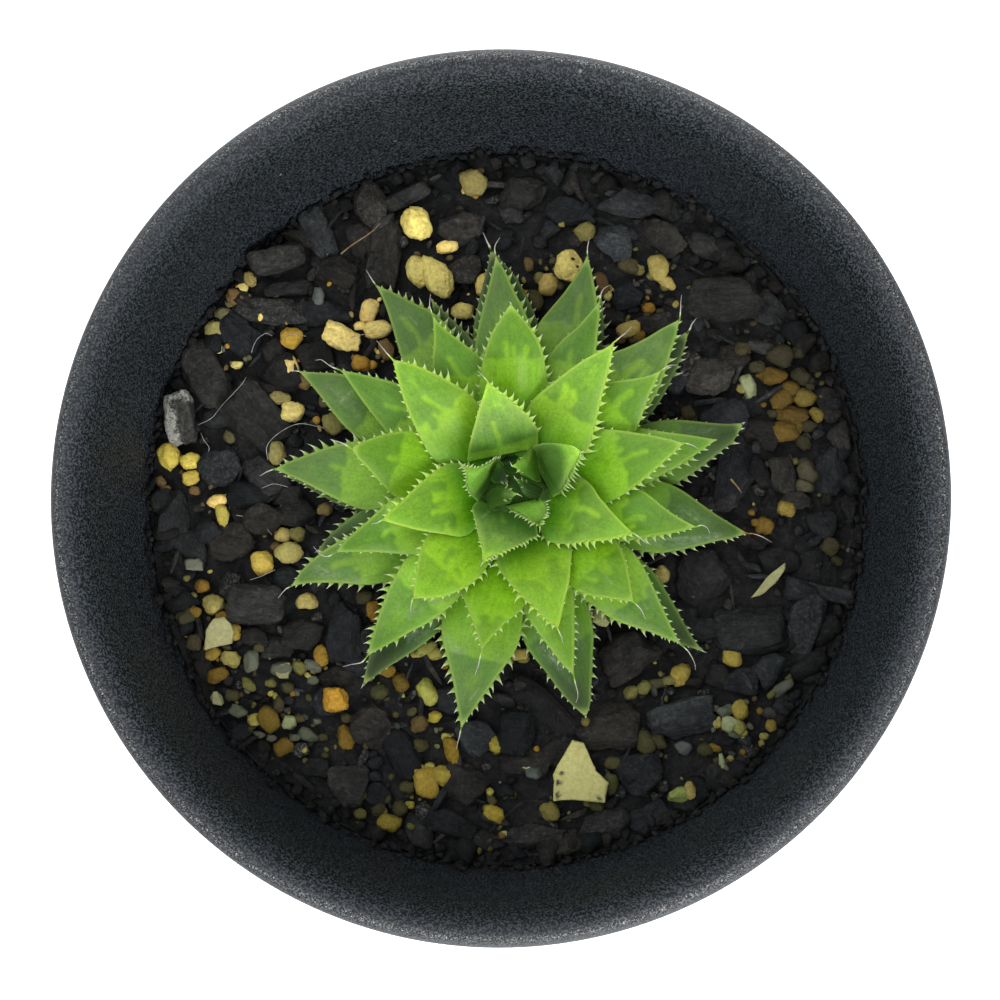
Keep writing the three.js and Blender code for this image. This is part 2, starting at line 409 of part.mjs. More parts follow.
    [2.03, -9.94, 60.97, -4.8, -8.76, 60.81, 1.32, 0.35],
    [1.99, -12.48, 61.28, -6.02, -11.31, 61.22, 1.9, 0.41],
    [1.49, -14.96, 61.53, -6.33, -13.91, 61.5, 2.47, 0.4],
    [0.06, -17.25, 61.72, -5.67, -16.53, 61.7, 2.21, 0.29],
    [-1.5, -19.46, 61.86, -5.08, -19.02, 61.85, 1.68, 0.18],
    [-3.02, -21.58, 61.96, -4.64, -21.31, 61.96, 0.88, 0.08],
    [-4.27, -23.4, 62.04, -4.27, -23.4, 62.04, 0.18, 0],
  ],
  leaf_35: [
    [-1.98, -3.62, 60.5, -3.92, 0.57, 60.35, 0.54, 0.23],
    [-4.73, -4.98, 60.86, -6.24, -0.5, 61.01, 0.74, 0.24],
    [-7.44, -6.36, 61.3, -8.5, -1.53, 61.81, 1.35, 0.25],
    [-9.93, -7.55, 61.62, -11.04, -2.35, 62.27, 1.95, 0.27],
    [-12.39, -8.36, 61.83, -13.72, -2.96, 62.4, 2.5, 0.28],
    [-14.94, -8.58, 61.93, -16.26, -3.82, 62.32, 2.23, 0.25],
    [-17.55, -8.4, 61.98, -18.57, -5.07, 62.21, 1.65, 0.17],
    [-20.04, -8.41, 62.01, -20.54, -6.74, 62.11, 0.92, 0.09],
    [-22.04, -8.72, 62.02, -22.04, -8.72, 62.02, 0.18, 0],
  ],
  leaf_36: [
    [-3.92, 0.9, 60.29, -1.71, 4.98, 59.64, 0.54, 0.23],
    [-6.65, 2.32, 60.54, -4.1, 6.4, 60.13, 0.77, 0.24],
    [-9.39, 3.69, 60.75, -6.41, 7.85, 60.56, 1.41, 0.26],
    [-12.08, 5.04, 61.01, -8.68, 9.25, 60.94, 2.04, 0.27],
    [-14.5, 6.36, 61.27, -11.01, 10.87, 61.25, 2.5, 0.29],
    [-16.49, 7.99, 61.48, -13.49, 12.32, 61.48, 2.3, 0.27],
    [-18.24, 10.05, 61.65, -16.05, 13.28, 61.65, 1.81, 0.2],
    [-19.89, 12.14, 61.77, -18.76, 13.66, 61.77, 0.98, 0.1],
    [-21.33, 13.81, 61.87, -21.33, 13.81, 61.87, 0.18, 0],
  ],
  leaf_37: [
    [-3.08, 3.37, 60.81, 0.78, 5.87, 60.41, 0.54, 0.23],
    [-4.78, 5.69, 61.29, -0.68, 8.5, 61.27, 0.76, 0.25],
    [-6.54, 7.9, 61.89, -2.04, 11.17, 62.05, 1.4, 0.28],
    [-8.19, 10.09, 62.39, -3.39, 13.82, 62.68, 2.03, 0.31],
    [-9.63, 12.4, 62.51, -4.71, 16.52, 62.84, 2.5, 0.32],
    [-10.59, 15.19, 62.34, -6.21, 18.8, 62.6, 2.34, 0.29],
    [-11.44, 18.01, 62.14, -8.49, 20.51, 62.29, 1.77, 0.19],
    [-12.35, 20.75, 61.97, -10.93, 21.79, 62.03, 0.92, 0.09],
    [-13.29, 22.89, 61.8, -13.29, 22.89, 61.8, 0.18, 0],
  ],
  leaf_38: [
    [0.77, 5.82, 60.82, 5.13, 4.42, 60.61, 0.54, 0.23],
    [1.45, 8.57, 61.03, 6.27, 7.22, 61.16, 0.75, 0.25],
    [2, 11.28, 61.41, 7.5, 9.96, 61.73, 1.39, 0.29],
    [2.55, 13.91, 61.81, 8.72, 12.66, 62.4, 2.01, 0.32],
    [3.11, 16.49, 62.14, 9.6, 15.41, 62.74, 2.5, 0.33],
    [3.93, 18.79, 62.16, 9.93, 18.49, 62.55, 2.31, 0.3],
    [5.64, 20.99, 62.04, 9.78, 21.4, 62.27, 1.82, 0.21],
    [7.55, 23.55, 61.93, 9.41, 23.69, 62.03, 0.97, 0.09],
    [8.91, 25.83, 61.81, 8.91, 25.83, 61.81, 0.18, 0],
  ],
  leaf_39: [
    [6.62, 2.13, 60.34, 6.04, -2.43, 60.28, 0.54, 0.23],
    [9.29, 2.13, 60.77, 8.64, -3.16, 60.45, 0.72, 0.27],
    [11.94, 2.35, 61.06, 11.16, -4.09, 60.7, 1.3, 0.33],
    [14.54, 2.42, 61.31, 13.63, -4.89, 60.93, 1.81, 0.37],
    [17.05, 1.97, 61.4, 16.07, -5.29, 61.1, 1.9, 0.37],
    [19.28, 0.76, 61.38, 18.62, -4.97, 61.2, 1.9, 0.29],
    [21.37, -0.74, 61.36, 21.15, -4.37, 61.26, 1.63, 0.18],
    [23.47, -2.12, 61.34, 23.43, -3.85, 61.29, 0.91, 0.09],
    [25.39, -3.31, 61.31, 25.39, -3.31, 61.31, 0.18, 0],
  ],
  leaf_40: [
    [5.13, -3.49, 59.6, 0.74, -4.85, 59.14, 0.54, 0.23],
    [6.3, -6.02, 59.93, 1.17, -7.34, 59.56, 0.72, 0.27],
    [7.64, -8.48, 60.23, 1.39, -9.81, 59.94, 1.3, 0.32],
    [8.8, -10.96, 60.5, 1.67, -12.19, 60.3, 1.81, 0.36],
    [9.37, -13.48, 60.72, 2.2, -14.49, 60.61, 1.9, 0.36],
    [9.31, -16.1, 60.89, 3.51, -16.49, 60.82, 1.9, 0.29],
    [9.19, -18.48, 61.01, 5.08, -18.5, 60.97, 1.72, 0.21],
    [9.08, -20.53, 61.09, 6.73, -20.55, 61.07, 1.12, 0.12],
    [8.6, -22.33, 61.15, 8.6, -22.33, 61.15, 0.18, 0],
  ],
  leaf_41: [
    [-3.26, -1.9, 59.37, -3.69, 1.89, 59.41, 0.54, 0.19],
    [-5.29, -2.12, 59.71, -6.25, 1.53, 59.97, 0.67, 0.19],
    [-7.28, -2.31, 60.18, -8.75, 1.13, 60.66, 1.15, 0.19],
    [-9.24, -2.48, 60.82, -11.18, 0.71, 61.28, 1.64, 0.19],
    [-11.26, -3.09, 60.8, -13.32, -0.06, 61.44, 1.73, 0.18],
    [-13.35, -3.72, 60.65, -15.21, -1.08, 61.25, 1.54, 0.16],
    [-15.4, -4.39, 60.68, -16.87, -2.28, 61.13, 1.27, 0.13],
    [-17.51, -4.83, 60.82, -18.29, -3.58, 61.04, 0.81, 0.07],
    [-19.43, -5.02, 60.96, -19.43, -5.02, 60.96, 0.18, 0],
  ],
  leaf_42: [
    [5.52, 4.09, 60.38, 6.84, -0.19, 58.84, 0.54, 0.23],
    [8.04, 5.14, 60.46, 9.59, 0.33, 59.17, 0.74, 0.25],
    [10.47, 6.32, 60.7, 12.36, 0.68, 59.54, 1.34, 0.3],
    [12.87, 7.42, 60.78, 15.05, 1.12, 59.86, 1.82, 0.34],
    [15.25, 8.31, 60.83, 17.63, 1.84, 60.24, 1.9, 0.35],
    [17.77, 8.6, 60.89, 19.9, 3.19, 60.53, 1.9, 0.29],
    [20.43, 8.43, 60.93, 21.94, 4.71, 60.73, 1.73, 0.2],
    [23.1, 8.2, 60.95, 23.75, 6.16, 60.86, 1.09, 0.11],
    [25.14, 8.24, 60.97, 25.14, 8.24, 60.97, 0.18, 0],
  ],
  leaf_43: [
    [-2.48, 4.41, 58.59, 1.66, 5.89, 60.1, 0.54, 0.22],
    [-3.36, 6.61, 59.2, 0.75, 8.18, 60.24, 0.68, 0.22],
    [-4.22, 8.78, 59.76, -0.14, 10.37, 60.91, 1.19, 0.22],
    [-5.09, 10.95, 60.02, -1, 12.53, 61.46, 1.71, 0.22],
    [-5.86, 13.1, 60.12, -1.78, 14.75, 61.63, 1.9, 0.22],
    [-6.63, 15.31, 60.07, -2.92, 16.72, 61.32, 1.83, 0.2],
    [-7.15, 17.46, 60.27, -4.49, 18.46, 61.12, 1.38, 0.14],
    [-7.31, 19.58, 60.58, -6.13, 20.09, 60.98, 0.72, 0.06],
    [-7.51, 21.49, 60.89, -7.51, 21.49, 60.89, 0.18, 0],
  ],
  leaf_44: [
    [6.75, -0.74, 58.87, 3.86, -4.32, 58.52, 0.54, 0.23],
    [9.12, -2.4, 59.3, 5.83, -6.2, 59.04, 0.76, 0.25],
    [11.53, -3.93, 59.7, 7.67, -8.13, 59.52, 1.36, 0.29],
    [13.88, -5.6, 60.04, 9.49, -9.85, 59.93, 1.83, 0.31],
    [15.82, -7.49, 60.32, 11.42, -11.48, 60.25, 1.9, 0.3],
    [17.2, -9.67, 60.51, 13.75, -12.77, 60.47, 1.86, 0.23],
    [18.42, -11.84, 60.64, 16.17, -13.87, 60.62, 1.46, 0.15],
    [19.58, -13.87, 60.73, 18.57, -14.81, 60.72, 0.76, 0.07],
    [20.74, -15.5, 60.79, 20.74, -15.5, 60.79, 0.18, 0],
  ],
  leaf_45: [
    [-0.06, -4.71, 58.86, -3.57, -1.67, 58.65, 0.54, 0.23],
    [-1.81, -7.1, 59.23, -5.44, -3.6, 59.14, 0.76, 0.25],
    [-3.47, -9.54, 59.57, -7.33, -5.38, 59.59, 1.37, 0.29],
    [-5.2, -11.82, 59.9, -9.21, -7.16, 59.96, 1.83, 0.31],
    [-7.08, -13.67, 60.21, -11.08, -9.04, 60.26, 1.9, 0.31],
    [-9.07, -15.24, 60.44, -12.39, -11.42, 60.48, 1.9, 0.25],
    [-11.13, -16.58, 60.6, -13.39, -13.99, 60.62, 1.61, 0.17],
    [-13.03, -17.86, 60.71, -14.11, -16.63, 60.72, 0.87, 0.08],
    [-14.62, -19.04, 60.79, -14.62, -19.04, 60.79, 0.18, 0],
  ],
  leaf_46: [
    [1.3, 6.02, 59.36, 5.51, 4.24, 58.57, 0.54, 0.23],
    [2.17, 8.03, 59.75, 6.62, 6.69, 59.06, 0.69, 0.23],
    [3.01, 10.05, 59.78, 7.71, 9.15, 59.18, 1.22, 0.24],
    [3.86, 12.03, 59.71, 8.76, 11.59, 59.27, 1.76, 0.25],
    [4.71, 13.99, 59.51, 9.77, 13.98, 59.5, 1.9, 0.26],
    [5.74, 16.05, 59.36, 10.24, 16.24, 59.83, 1.89, 0.23],
    [7.28, 18.04, 59.69, 10.53, 18.21, 60.2, 1.56, 0.16],
    [8.98, 19.94, 60.29, 10.45, 20.06, 60.55, 0.8, 0.07],
    [10.31, 21.69, 60.88, 10.31, 21.69, 60.88, 0.18, 0],
  ],
  leaf_47: [
    [4.17, 5.13, 59.95, 6.65, 1.9, 58.55, 0.54, 0.2],
    [6.32, 6.74, 60, 8.97, 3.62, 58.85, 0.75, 0.21],
    [8.44, 8.32, 60.02, 11.25, 5.32, 59.16, 1.36, 0.21],
    [10.38, 10.03, 60.08, 13.38, 7.09, 59.6, 1.83, 0.21],
    [12.05, 11.91, 60.13, 15.25, 9.1, 60, 1.9, 0.21],
    [13.71, 13.69, 60.37, 16.77, 11.31, 60.3, 1.82, 0.2],
    [15.57, 15.46, 60.56, 17.89, 13.49, 60.52, 1.47, 0.15],
    [17.59, 16.91, 60.69, 18.82, 15.72, 60.68, 0.9, 0.09],
    [19.46, 17.96, 60.8, 19.46, 17.96, 60.8, 0.18, 0],
  ],
  leaf_48: [
    [-3.84, -1.02, 58.31, -3.23, 3.58, 58.31, 0.54, 0.23],
    [-6.47, -0.88, 58.59, -5.92, 4.1, 58.75, 0.75, 0.25],
    [-9.07, -0.86, 58.91, -8.56, 4.74, 59.14, 1.33, 0.28],
    [-11.61, -0.84, 59.26, -11.17, 5.32, 59.47, 1.82, 0.31],
    [-14.14, -0.96, 59.59, -13.73, 5.5, 59.73, 1.9, 0.33],
    [-16.49, -0.34, 59.89, -16.28, 5.42, 59.95, 1.9, 0.29],
    [-18.83, 0.74, 60.19, -18.69, 4.89, 60.21, 1.74, 0.21],
    [-21.02, 2, 60.43, -21.01, 4.13, 60.44, 1.07, 0.11],
    [-22.99, 2.92, 60.64, -22.99, 2.92, 60.64, 0.18, 0],
  ],
  leaf_49: [
    [-1.22, 5.46, 58.31, 3.4, 5.75, 58.31, 0.54, 0.23],
    [-1.67, 8.37, 58.58, 3.47, 8.69, 58.54, 0.81, 0.26],
    [-2.26, 11.23, 58.99, 3.71, 11.58, 58.99, 1.45, 0.3],
    [-2.82, 14.05, 59.29, 3.91, 14.41, 59.43, 1.85, 0.34],
    [-3.2, 16.91, 59.67, 3.96, 17.08, 59.83, 1.9, 0.36],
    [-2.93, 19.66, 60.02, 3.37, 19.71, 60.13, 1.9, 0.32],
    [-2.39, 22.01, 60.28, 2.07, 22.54, 60.34, 1.78, 0.23],
    [-1.76, 24.49, 60.47, 0.43, 24.94, 60.5, 1.1, 0.11],
    [-1.29, 26.82, 60.63, -1.29, 26.82, 60.63, 0.18, 0],
  ],
};

// ---- helpers --------------------------------------------------------------
const wasm = await Module();
wasm.setup();

const colour = (r, g, b) => new THREE.Color().setRGB(r, g, b, THREE.SRGBColorSpace);

function bufferFrom(points, faces) {
  const g = new THREE.BufferGeometry();
  g.setAttribute('position', new THREE.Float32BufferAttribute(points.flat(), 3));
  g.setIndex(faces.flat());
  return g;
}

function bare(geometry) {
  const g = geometry.clone();
  for (const name of Object.keys(g.attributes)) {
    if (name !== 'position') g.deleteAttribute(name);
  }
  return mergeVertices(g, 1e-4);
}

function solidOf(geometry) {
  const g = bare(geometry);
  return new wasm.Manifold(new wasm.Mesh({
    numProp: 3,
    vertProperties: new Float32Array(g.attributes.position.array),
    triVerts: new Uint32Array(g.index.array),
  }));
}

function geometryOf(solid) {
  const m = solid.getMesh();
  const g = new THREE.BufferGeometry();
  g.setAttribute('position', new THREE.Float32BufferAttribute(Array.from(m.vertProperties), 3));
  g.setIndex(Array.from(m.triVerts));
  return g;
}

function signedVolume(points, faces) {
  let v = 0;
  for (const [a, b, c] of faces) {
    const [p, q, r] = [points[a], points[b], points[c]];
    v += (p[0] * (q[1] * r[2] - q[2] * r[1])
        - p[1] * (q[0] * r[2] - q[2] * r[0])
        + p[2] * (q[0] * r[1] - q[1] * r[0])) / 6;
  }
  return v;
}

function outward(points, faces) {
  if (signedVolume(points, faces) < 0) return faces.map(([a, b, c]) => [a, c, b]);
  return faces;
}

// A small repeatable value in 0..1 for a pair of whole numbers.
function spread(i, j) {
  const s = Math.sin(i * 127.1 + j * 311.7) * 43758.5453;
  return s - Math.floor(s);
}

// A body turned about a vertical line: closed profile of [radius, z] pairs.
function turned(profile, segments, x = 0, y = 0) {
  const pts = profile.map(([r, z]) => new THREE.Vector2(r, z));
  const onAxis = profile[0][0] === 0;
  if (!onAxis) pts.push(pts[0].clone());
  const g = bare(new THREE.LatheGeometry(pts, segments));
  const p = g.attributes.position;
  const points = [];
  for (let i = 0; i < p.count; i += 1) {
    points.push([p.getX(i) + x, -p.getZ(i) + y, p.getY(i)]);
  }
  const faces = [];
  const ix = g.index.array;
  for (let i = 0; i < ix.length; i += 3) {
    const f = [ix[i], ix[i + 1], ix[i + 2]];
    if (f[0] !== f[1] && f[1] !== f[2] && f[0] !== f[2]) faces.push(f);
  }
  return bufferFrom(points, outward(points, faces));
}

// ---- pot --------------------------------------------------------------
const wallAt = (z) => WALL_BOTTOM_R
  + (WALL_TOP_R - WALL_BOTTOM_R) * (z - FLOOR_Z) / (WALL_TOP_Z - FLOOR_Z);

function potGeometry() {
  const skirtInner = RIM_OUTER_R - SKIRT_T;
  const profile = [
    [0, FLOOR_UNDER_Z],
    [FOOT_INNER_R, FLOOR_UNDER_Z],
    [FOOT_INNER_R, 0],
    [wallAt(0) + WALL_T, 0],
    [wallAt(SKIRT_BOTTOM_Z) + WALL_T, SKIRT_BOTTOM_Z],
    [wallAt(WALL_TOP_Z) + WALL_T, WALL_TOP_Z + 0.2],
    [skirtInner - 0.5, POT_H - 1.3],
    [skirtInner, POT_H - 1.7],
    [skirtInner, SKIRT_BOTTOM_Z],
    [RIM_OUTER_R - 0.1, SKIRT_BOTTOM_Z],
    [RIM_OUTER_R, POT_H - 1.1],
    [RIM_OUTER_R - 0.45, POT_H - 0.3],
    [RIM_OUTER_R - 1.2, POT_H],
    [LIP_INNER_R, POT_H - 0.45],
    [LIP_INNER_R - 0.5, POT_H - 1.6],
    [WALL_TOP_R + 1.15, WALL_TOP_Z + 1.15],
    [WALL_TOP_R + 0.4, WALL_TOP_Z + 0.95],
    [WALL_TOP_R, WALL_TOP_Z],
    [WALL_BOTTOM_R + 0.8, FLOOR_Z + 1.2],
    [WALL_BOTTOM_R - 0.6, FLOOR_Z],
    [0, FLOOR_Z],
  ];
  let pot = solidOf(turned(profile, POT_SEG));
  for (let k = 0; k < HOLES; k += 1) {
    const a = (k + 0.5) * 2 * Math.PI / HOLES;
    const drill = new THREE.CylinderGeometry(HOLE_R, HOLE_R, 8, 14);
    drill.rotateX(Math.PI / 2);
    drill.translate(HOLE_RING_R * Math.cos(a), HOLE_RING_R * Math.sin(a), FLOOR_Z - 1);
    pot = pot.subtract(solidOf(drill));
  }
  return geometryOf(pot);
}

// ---- growing mix, with the pocket that the stem's foot stands in ---------
function soilGeometry() {
  const points = [];
  const faces = [];
  const n = SOIL_SEG;
  const ring = (r, zf, x = 0, y = 0) => {
    const first = points.length;
    for (let i = 0; i < n; i += 1) {
      const a = 2 * Math.PI * i / n;
      points.push([x + r * Math.cos(a), y + r * Math.sin(a), zf(i)]);
    }
    return first;
  };
  const bump = (row) => (i) => SOIL_Z + SOIL_BUMP * (2 * spread(i, row) - 1);
  const flat = (z) => () => z;
  const pocketR = STEM_R + GAP + 0.1;
  const pocketZ = STEM_FOOT_Z - GAP;
  const mid = (r) => {                       // rings slide from stem to pot axis
    const f = (r - pocketR) / (wallAt(SOIL_Z) - GAP - pocketR);
    return [STEM_X * (1 - f), STEM_Y * (1 - f)];
  };
  const rings = [];
  rings.push(ring(pocketR, flat(pocketZ), STEM_X, STEM_Y));
  const edge = wallAt(SOIL_Z - SOIL_BUMP) - GAP - 0.15;
  [pocketR, 11, 17, 22.5, 27.5, 32, 35.5, edge].forEach((r, row) => {
    rings.push(ring(r, bump(row), ...mid(r)));
  });
  rings.push(ring(WALL_BOTTOM_R + 0.8 - GAP - 0.1, flat(FLOOR_Z + 1.4)));
  rings.push(ring(WALL_BOTTOM_R - 0.6 - GAP, flat(FLOOR_Z + GAP)));
  for (let k = 0; k + 1 < rings.length; k += 1) {
    for (let i = 0; i < n; i += 1) {
      const j = (i + 1) % n;
      const [a, b, c, d] = [rings[k] + i, rings[k] + j, rings[k + 1] + j, rings[k + 1] + i];
      faces.push([a, b, c], [a, c, d]);
    }
  }
  const cap = (first, z, x, y) => {
    const c = points.length;
    points.push([x, y, z]);
    for (let i = 0; i < n; i += 1) faces.push([c, first + (i + 1) % n, first + i]);
  };
  cap(rings[0], pocketZ, STEM_X, STEM_Y);
  const last = rings[rings.length - 1];
  const c = points.length;
  points.push([0, 0, FLOOR_Z + GAP]);
  for (let i = 0; i < n; i += 1) faces.push([c, last + i, last + (i + 1) % n]);
  return bufferFrom(points, outward(points, faces));
}

// ---- stem: short, thick, tapering to the growing point ---------------------
function stemGeometry() {
  const profile = [
    [0, STEM_FOOT_Z], [2.2, STEM_FOOT_Z + 0.3], [3.6, 48], [4.5, 52],
    [STEM_R, SOIL_Z], [4.4, 60], [3.9, 62], [3.2, 64], [2.3, 64.75],
    [1.1, 65.05], [0, STEM_TOP_Z],
  ];
  return turned(profile, 20, STEM_X, STEM_Y);
}

// ---- one leaf: flat to lightly crowned above, keeled below, pointed --------
function leafGeometry(stations) {
  const points = [];
  const faces = [];
  const n = 8;
  const last = stations.length - 1;
  for (let k = 0; k < last; k += 1) {
    const [ax, ay, az, bx, by, bz, keel, crown] = stations[k];
    const at = (t, dz) => [
      ax + (bx - ax) * t, ay + (by - ay) * t, az + (bz - az) * t + dz,
    ];
    const under = (t) => {
      const u = Math.abs(2 * t - 1);
      return -(EDGE_DOWN + (keel - EDGE_DOWN) * (1 - Math.pow(u, 1.6)));
    };
    points.push(
      at(0, EDGE_UP), at(0.5, crown + EDGE_UP), at(1, EDGE_UP),
      at(1, -EDGE_DOWN), at(0.78, under(0.78)), at(0.5, under(0.5)),
      at(0.22, under(0.22)), at(0, -EDGE_DOWN),
    );
  }
  const [tx, ty, tz] = stations[last];
  const tip = points.length;
  points.push([tx, ty, tz]);
  for (let k = 0; k + 1 < last; k += 1) {
    for (let i = 0; i < n; i += 1) {
      const j = (i + 1) % n;
      const [a, b, c, d] = [k * n + i, k * n + j, (k + 1) * n + j, (k + 1) * n + i];
      faces.push([a, b, c], [a, c, d]);
    }
  }
  for (let i = 0; i < n; i += 1) {
    faces.push([(last - 1) * n + i, (last - 1) * n + (i + 1) % n, tip]);
  }
  for (let i = 1; i + 1 < n; i += 1) faces.push([0, i + 1, i]);
  return bufferFrom(points, outward(points, faces));
}

// ---- loose stones and chips lying on the mix --------------------------------
// centre x y, half sizes, turn in degrees, unevenness
const STONES = {
  pebble_cream_double: [-7.95, 24.3, 3.2, 2.3, 1.5, -35, 0.10],
  pebble_cream_hole: [6.91, 25.43, 1.7, 1.9, 1.35, 0, 0.10],
  pebble_orange_lower: [-17.8, -20.59, 1.45, 1.35, 1.15, 0, 0.10],
  chip_dark_oval: [23.22, 21.75, 4.4, 2.6, 1.1, 0, 0.10],
  chip_log_upper: [-24.15, 26.38, 3.5, 1.8, 1.5, 17, 0.12],
  chip_grey_left: [-34.5, 9.4, 3.5, 1.85, 1.6, 102, 0.12],
  chunk_dark_left: [-26.2, -10.48, 3.5, 2.25, 1.3, -5, 0.14],
};
const STONE_BASE_Z = SOIL_Z + SOIL_BUMP + GAP;

function stoneGeometry([x, y, rx, ry, rz, turn, rough], seed) {
  const g = bare(new THREE.IcosahedronGeometry(1, 1));
  const p = g.attributes.position;
  const points = [];
  for (let i = 0; i < p.count; i += 1) {
    const s = 1 - rough * spread(i, seed);
    points.push([p.getX(i) * rx * s, p.getY(i) * ry * s, p.getZ(i) * rz * s]);
  }
  const low = Math.min(...points.map((q) => q[2]));
  const a = turn * Math.PI / 180;
  const placed = points.map(([u, v, w]) => [
    x + u * Math.cos(a) - v * Math.sin(a),
    y + u * Math.sin(a) + v * Math.cos(a),
    STONE_BASE_Z + w - low,
  ]);
  const faces = [];
  const ix = g.index.array;
  for (let i = 0; i < ix.length; i += 3) faces.push([ix[i], ix[i + 1], ix[i + 2]]);
  return bufferFrom(placed, outward(placed, faces));
}

// A pale flat shard with a broken outline.
const SHARD_OUTLINE = [
  [7.13, -24.77], [8.38, -25.08], [9.62, -28.0], [10.99, -29.24], [10.56, -31.33],
  [7.11, -31.02], [5.12, -31.12], [5.13, -28.32], [6.17, -26.34],
];
const SHARD_T = 1.7;

function shardGeometry() {
  const shape = new THREE.Shape(SHARD_OUTLINE.map(([x, y]) => new THREE.Vector2(x, y)));
  const g = new THREE.ExtrudeGeometry(shape, { depth: SHARD_T, bevelEnabled: false, steps: 1 });
  g.translate(0, 0, STONE_BASE_Z);
  return bare(g);
}

// ---- the scene graph ---------------------------------------------------------
const group = new THREE.Group();
group.name = 'potted_haworthia';

function add(name, geometry, rgb, roughness) {
  const material = new THREE.MeshStandardMaterial({
    color: colour(...rgb), roughness, metalness: 0,
  });
  const mesh = new THREE.Mesh(geometry, material);
  mesh.name = name;
  group.add(mesh);
}

add('pot', potGeometry(), [0.17, 0.18, 0.20], 0.6);
add('soil', soilGeometry(), [0.10, 0.09, 0.08], 0.95);
add('stem', stemGeometry(), [0.42, 0.47, 0.24], 0.6);

const BUD_LEAVES = 9;
const UPPER_LEAVES = 22;
Object.entries(LEAVES).forEach(([name, stations], i) => {
  const rgb = i < BUD_LEAVES ? [0.16, 0.28, 0.16]
    : i < UPPER_LEAVES ? [0.42, 0.60, 0.22] : [0.30, 0.46, 0.26];
  add(name, leafGeometry(stations), rgb, 0.42);
});

Object.entries(STONES).forEach(([name, spec], i) => {
  const rgb = name.includes('cream') ? [0.78, 0.70, 0.50]
    : name.includes('orange') ? [0.72, 0.50, 0.22] : [0.13, 0.13, 0.13];
  add(name, stoneGeometry(spec, i + 3), rgb, 0.9);
});
add('shard_pale', shardGeometry(), [0.80, 0.78, 0.70], 0.85);

export default group;
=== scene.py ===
import bpy
import math
import numpy as np
from mathutils import Matrix, Vector


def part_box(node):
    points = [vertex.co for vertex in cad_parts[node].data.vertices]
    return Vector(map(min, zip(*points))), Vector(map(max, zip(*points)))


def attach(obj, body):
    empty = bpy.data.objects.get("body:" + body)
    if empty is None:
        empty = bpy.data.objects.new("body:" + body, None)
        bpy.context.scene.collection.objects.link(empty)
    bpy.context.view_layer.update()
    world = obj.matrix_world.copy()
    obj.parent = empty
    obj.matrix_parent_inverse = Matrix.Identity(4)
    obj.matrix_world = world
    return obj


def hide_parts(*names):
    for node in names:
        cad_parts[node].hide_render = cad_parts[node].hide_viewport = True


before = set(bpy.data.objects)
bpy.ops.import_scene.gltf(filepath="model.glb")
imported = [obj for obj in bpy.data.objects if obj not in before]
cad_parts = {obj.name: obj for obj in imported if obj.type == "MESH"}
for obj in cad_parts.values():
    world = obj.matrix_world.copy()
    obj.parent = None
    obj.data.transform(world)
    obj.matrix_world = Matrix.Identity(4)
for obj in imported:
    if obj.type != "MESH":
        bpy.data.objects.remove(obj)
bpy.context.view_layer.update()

MM = 0.001
EDGE_UP, EDGE_DOWN = 0.06, 0.14      # leaf margin, above and below its stations
LIP_R, POT_H = 45.0, 75.0
SOIL_Z = 56.85
STEM_X, STEM_Y = 1.43, 0.58

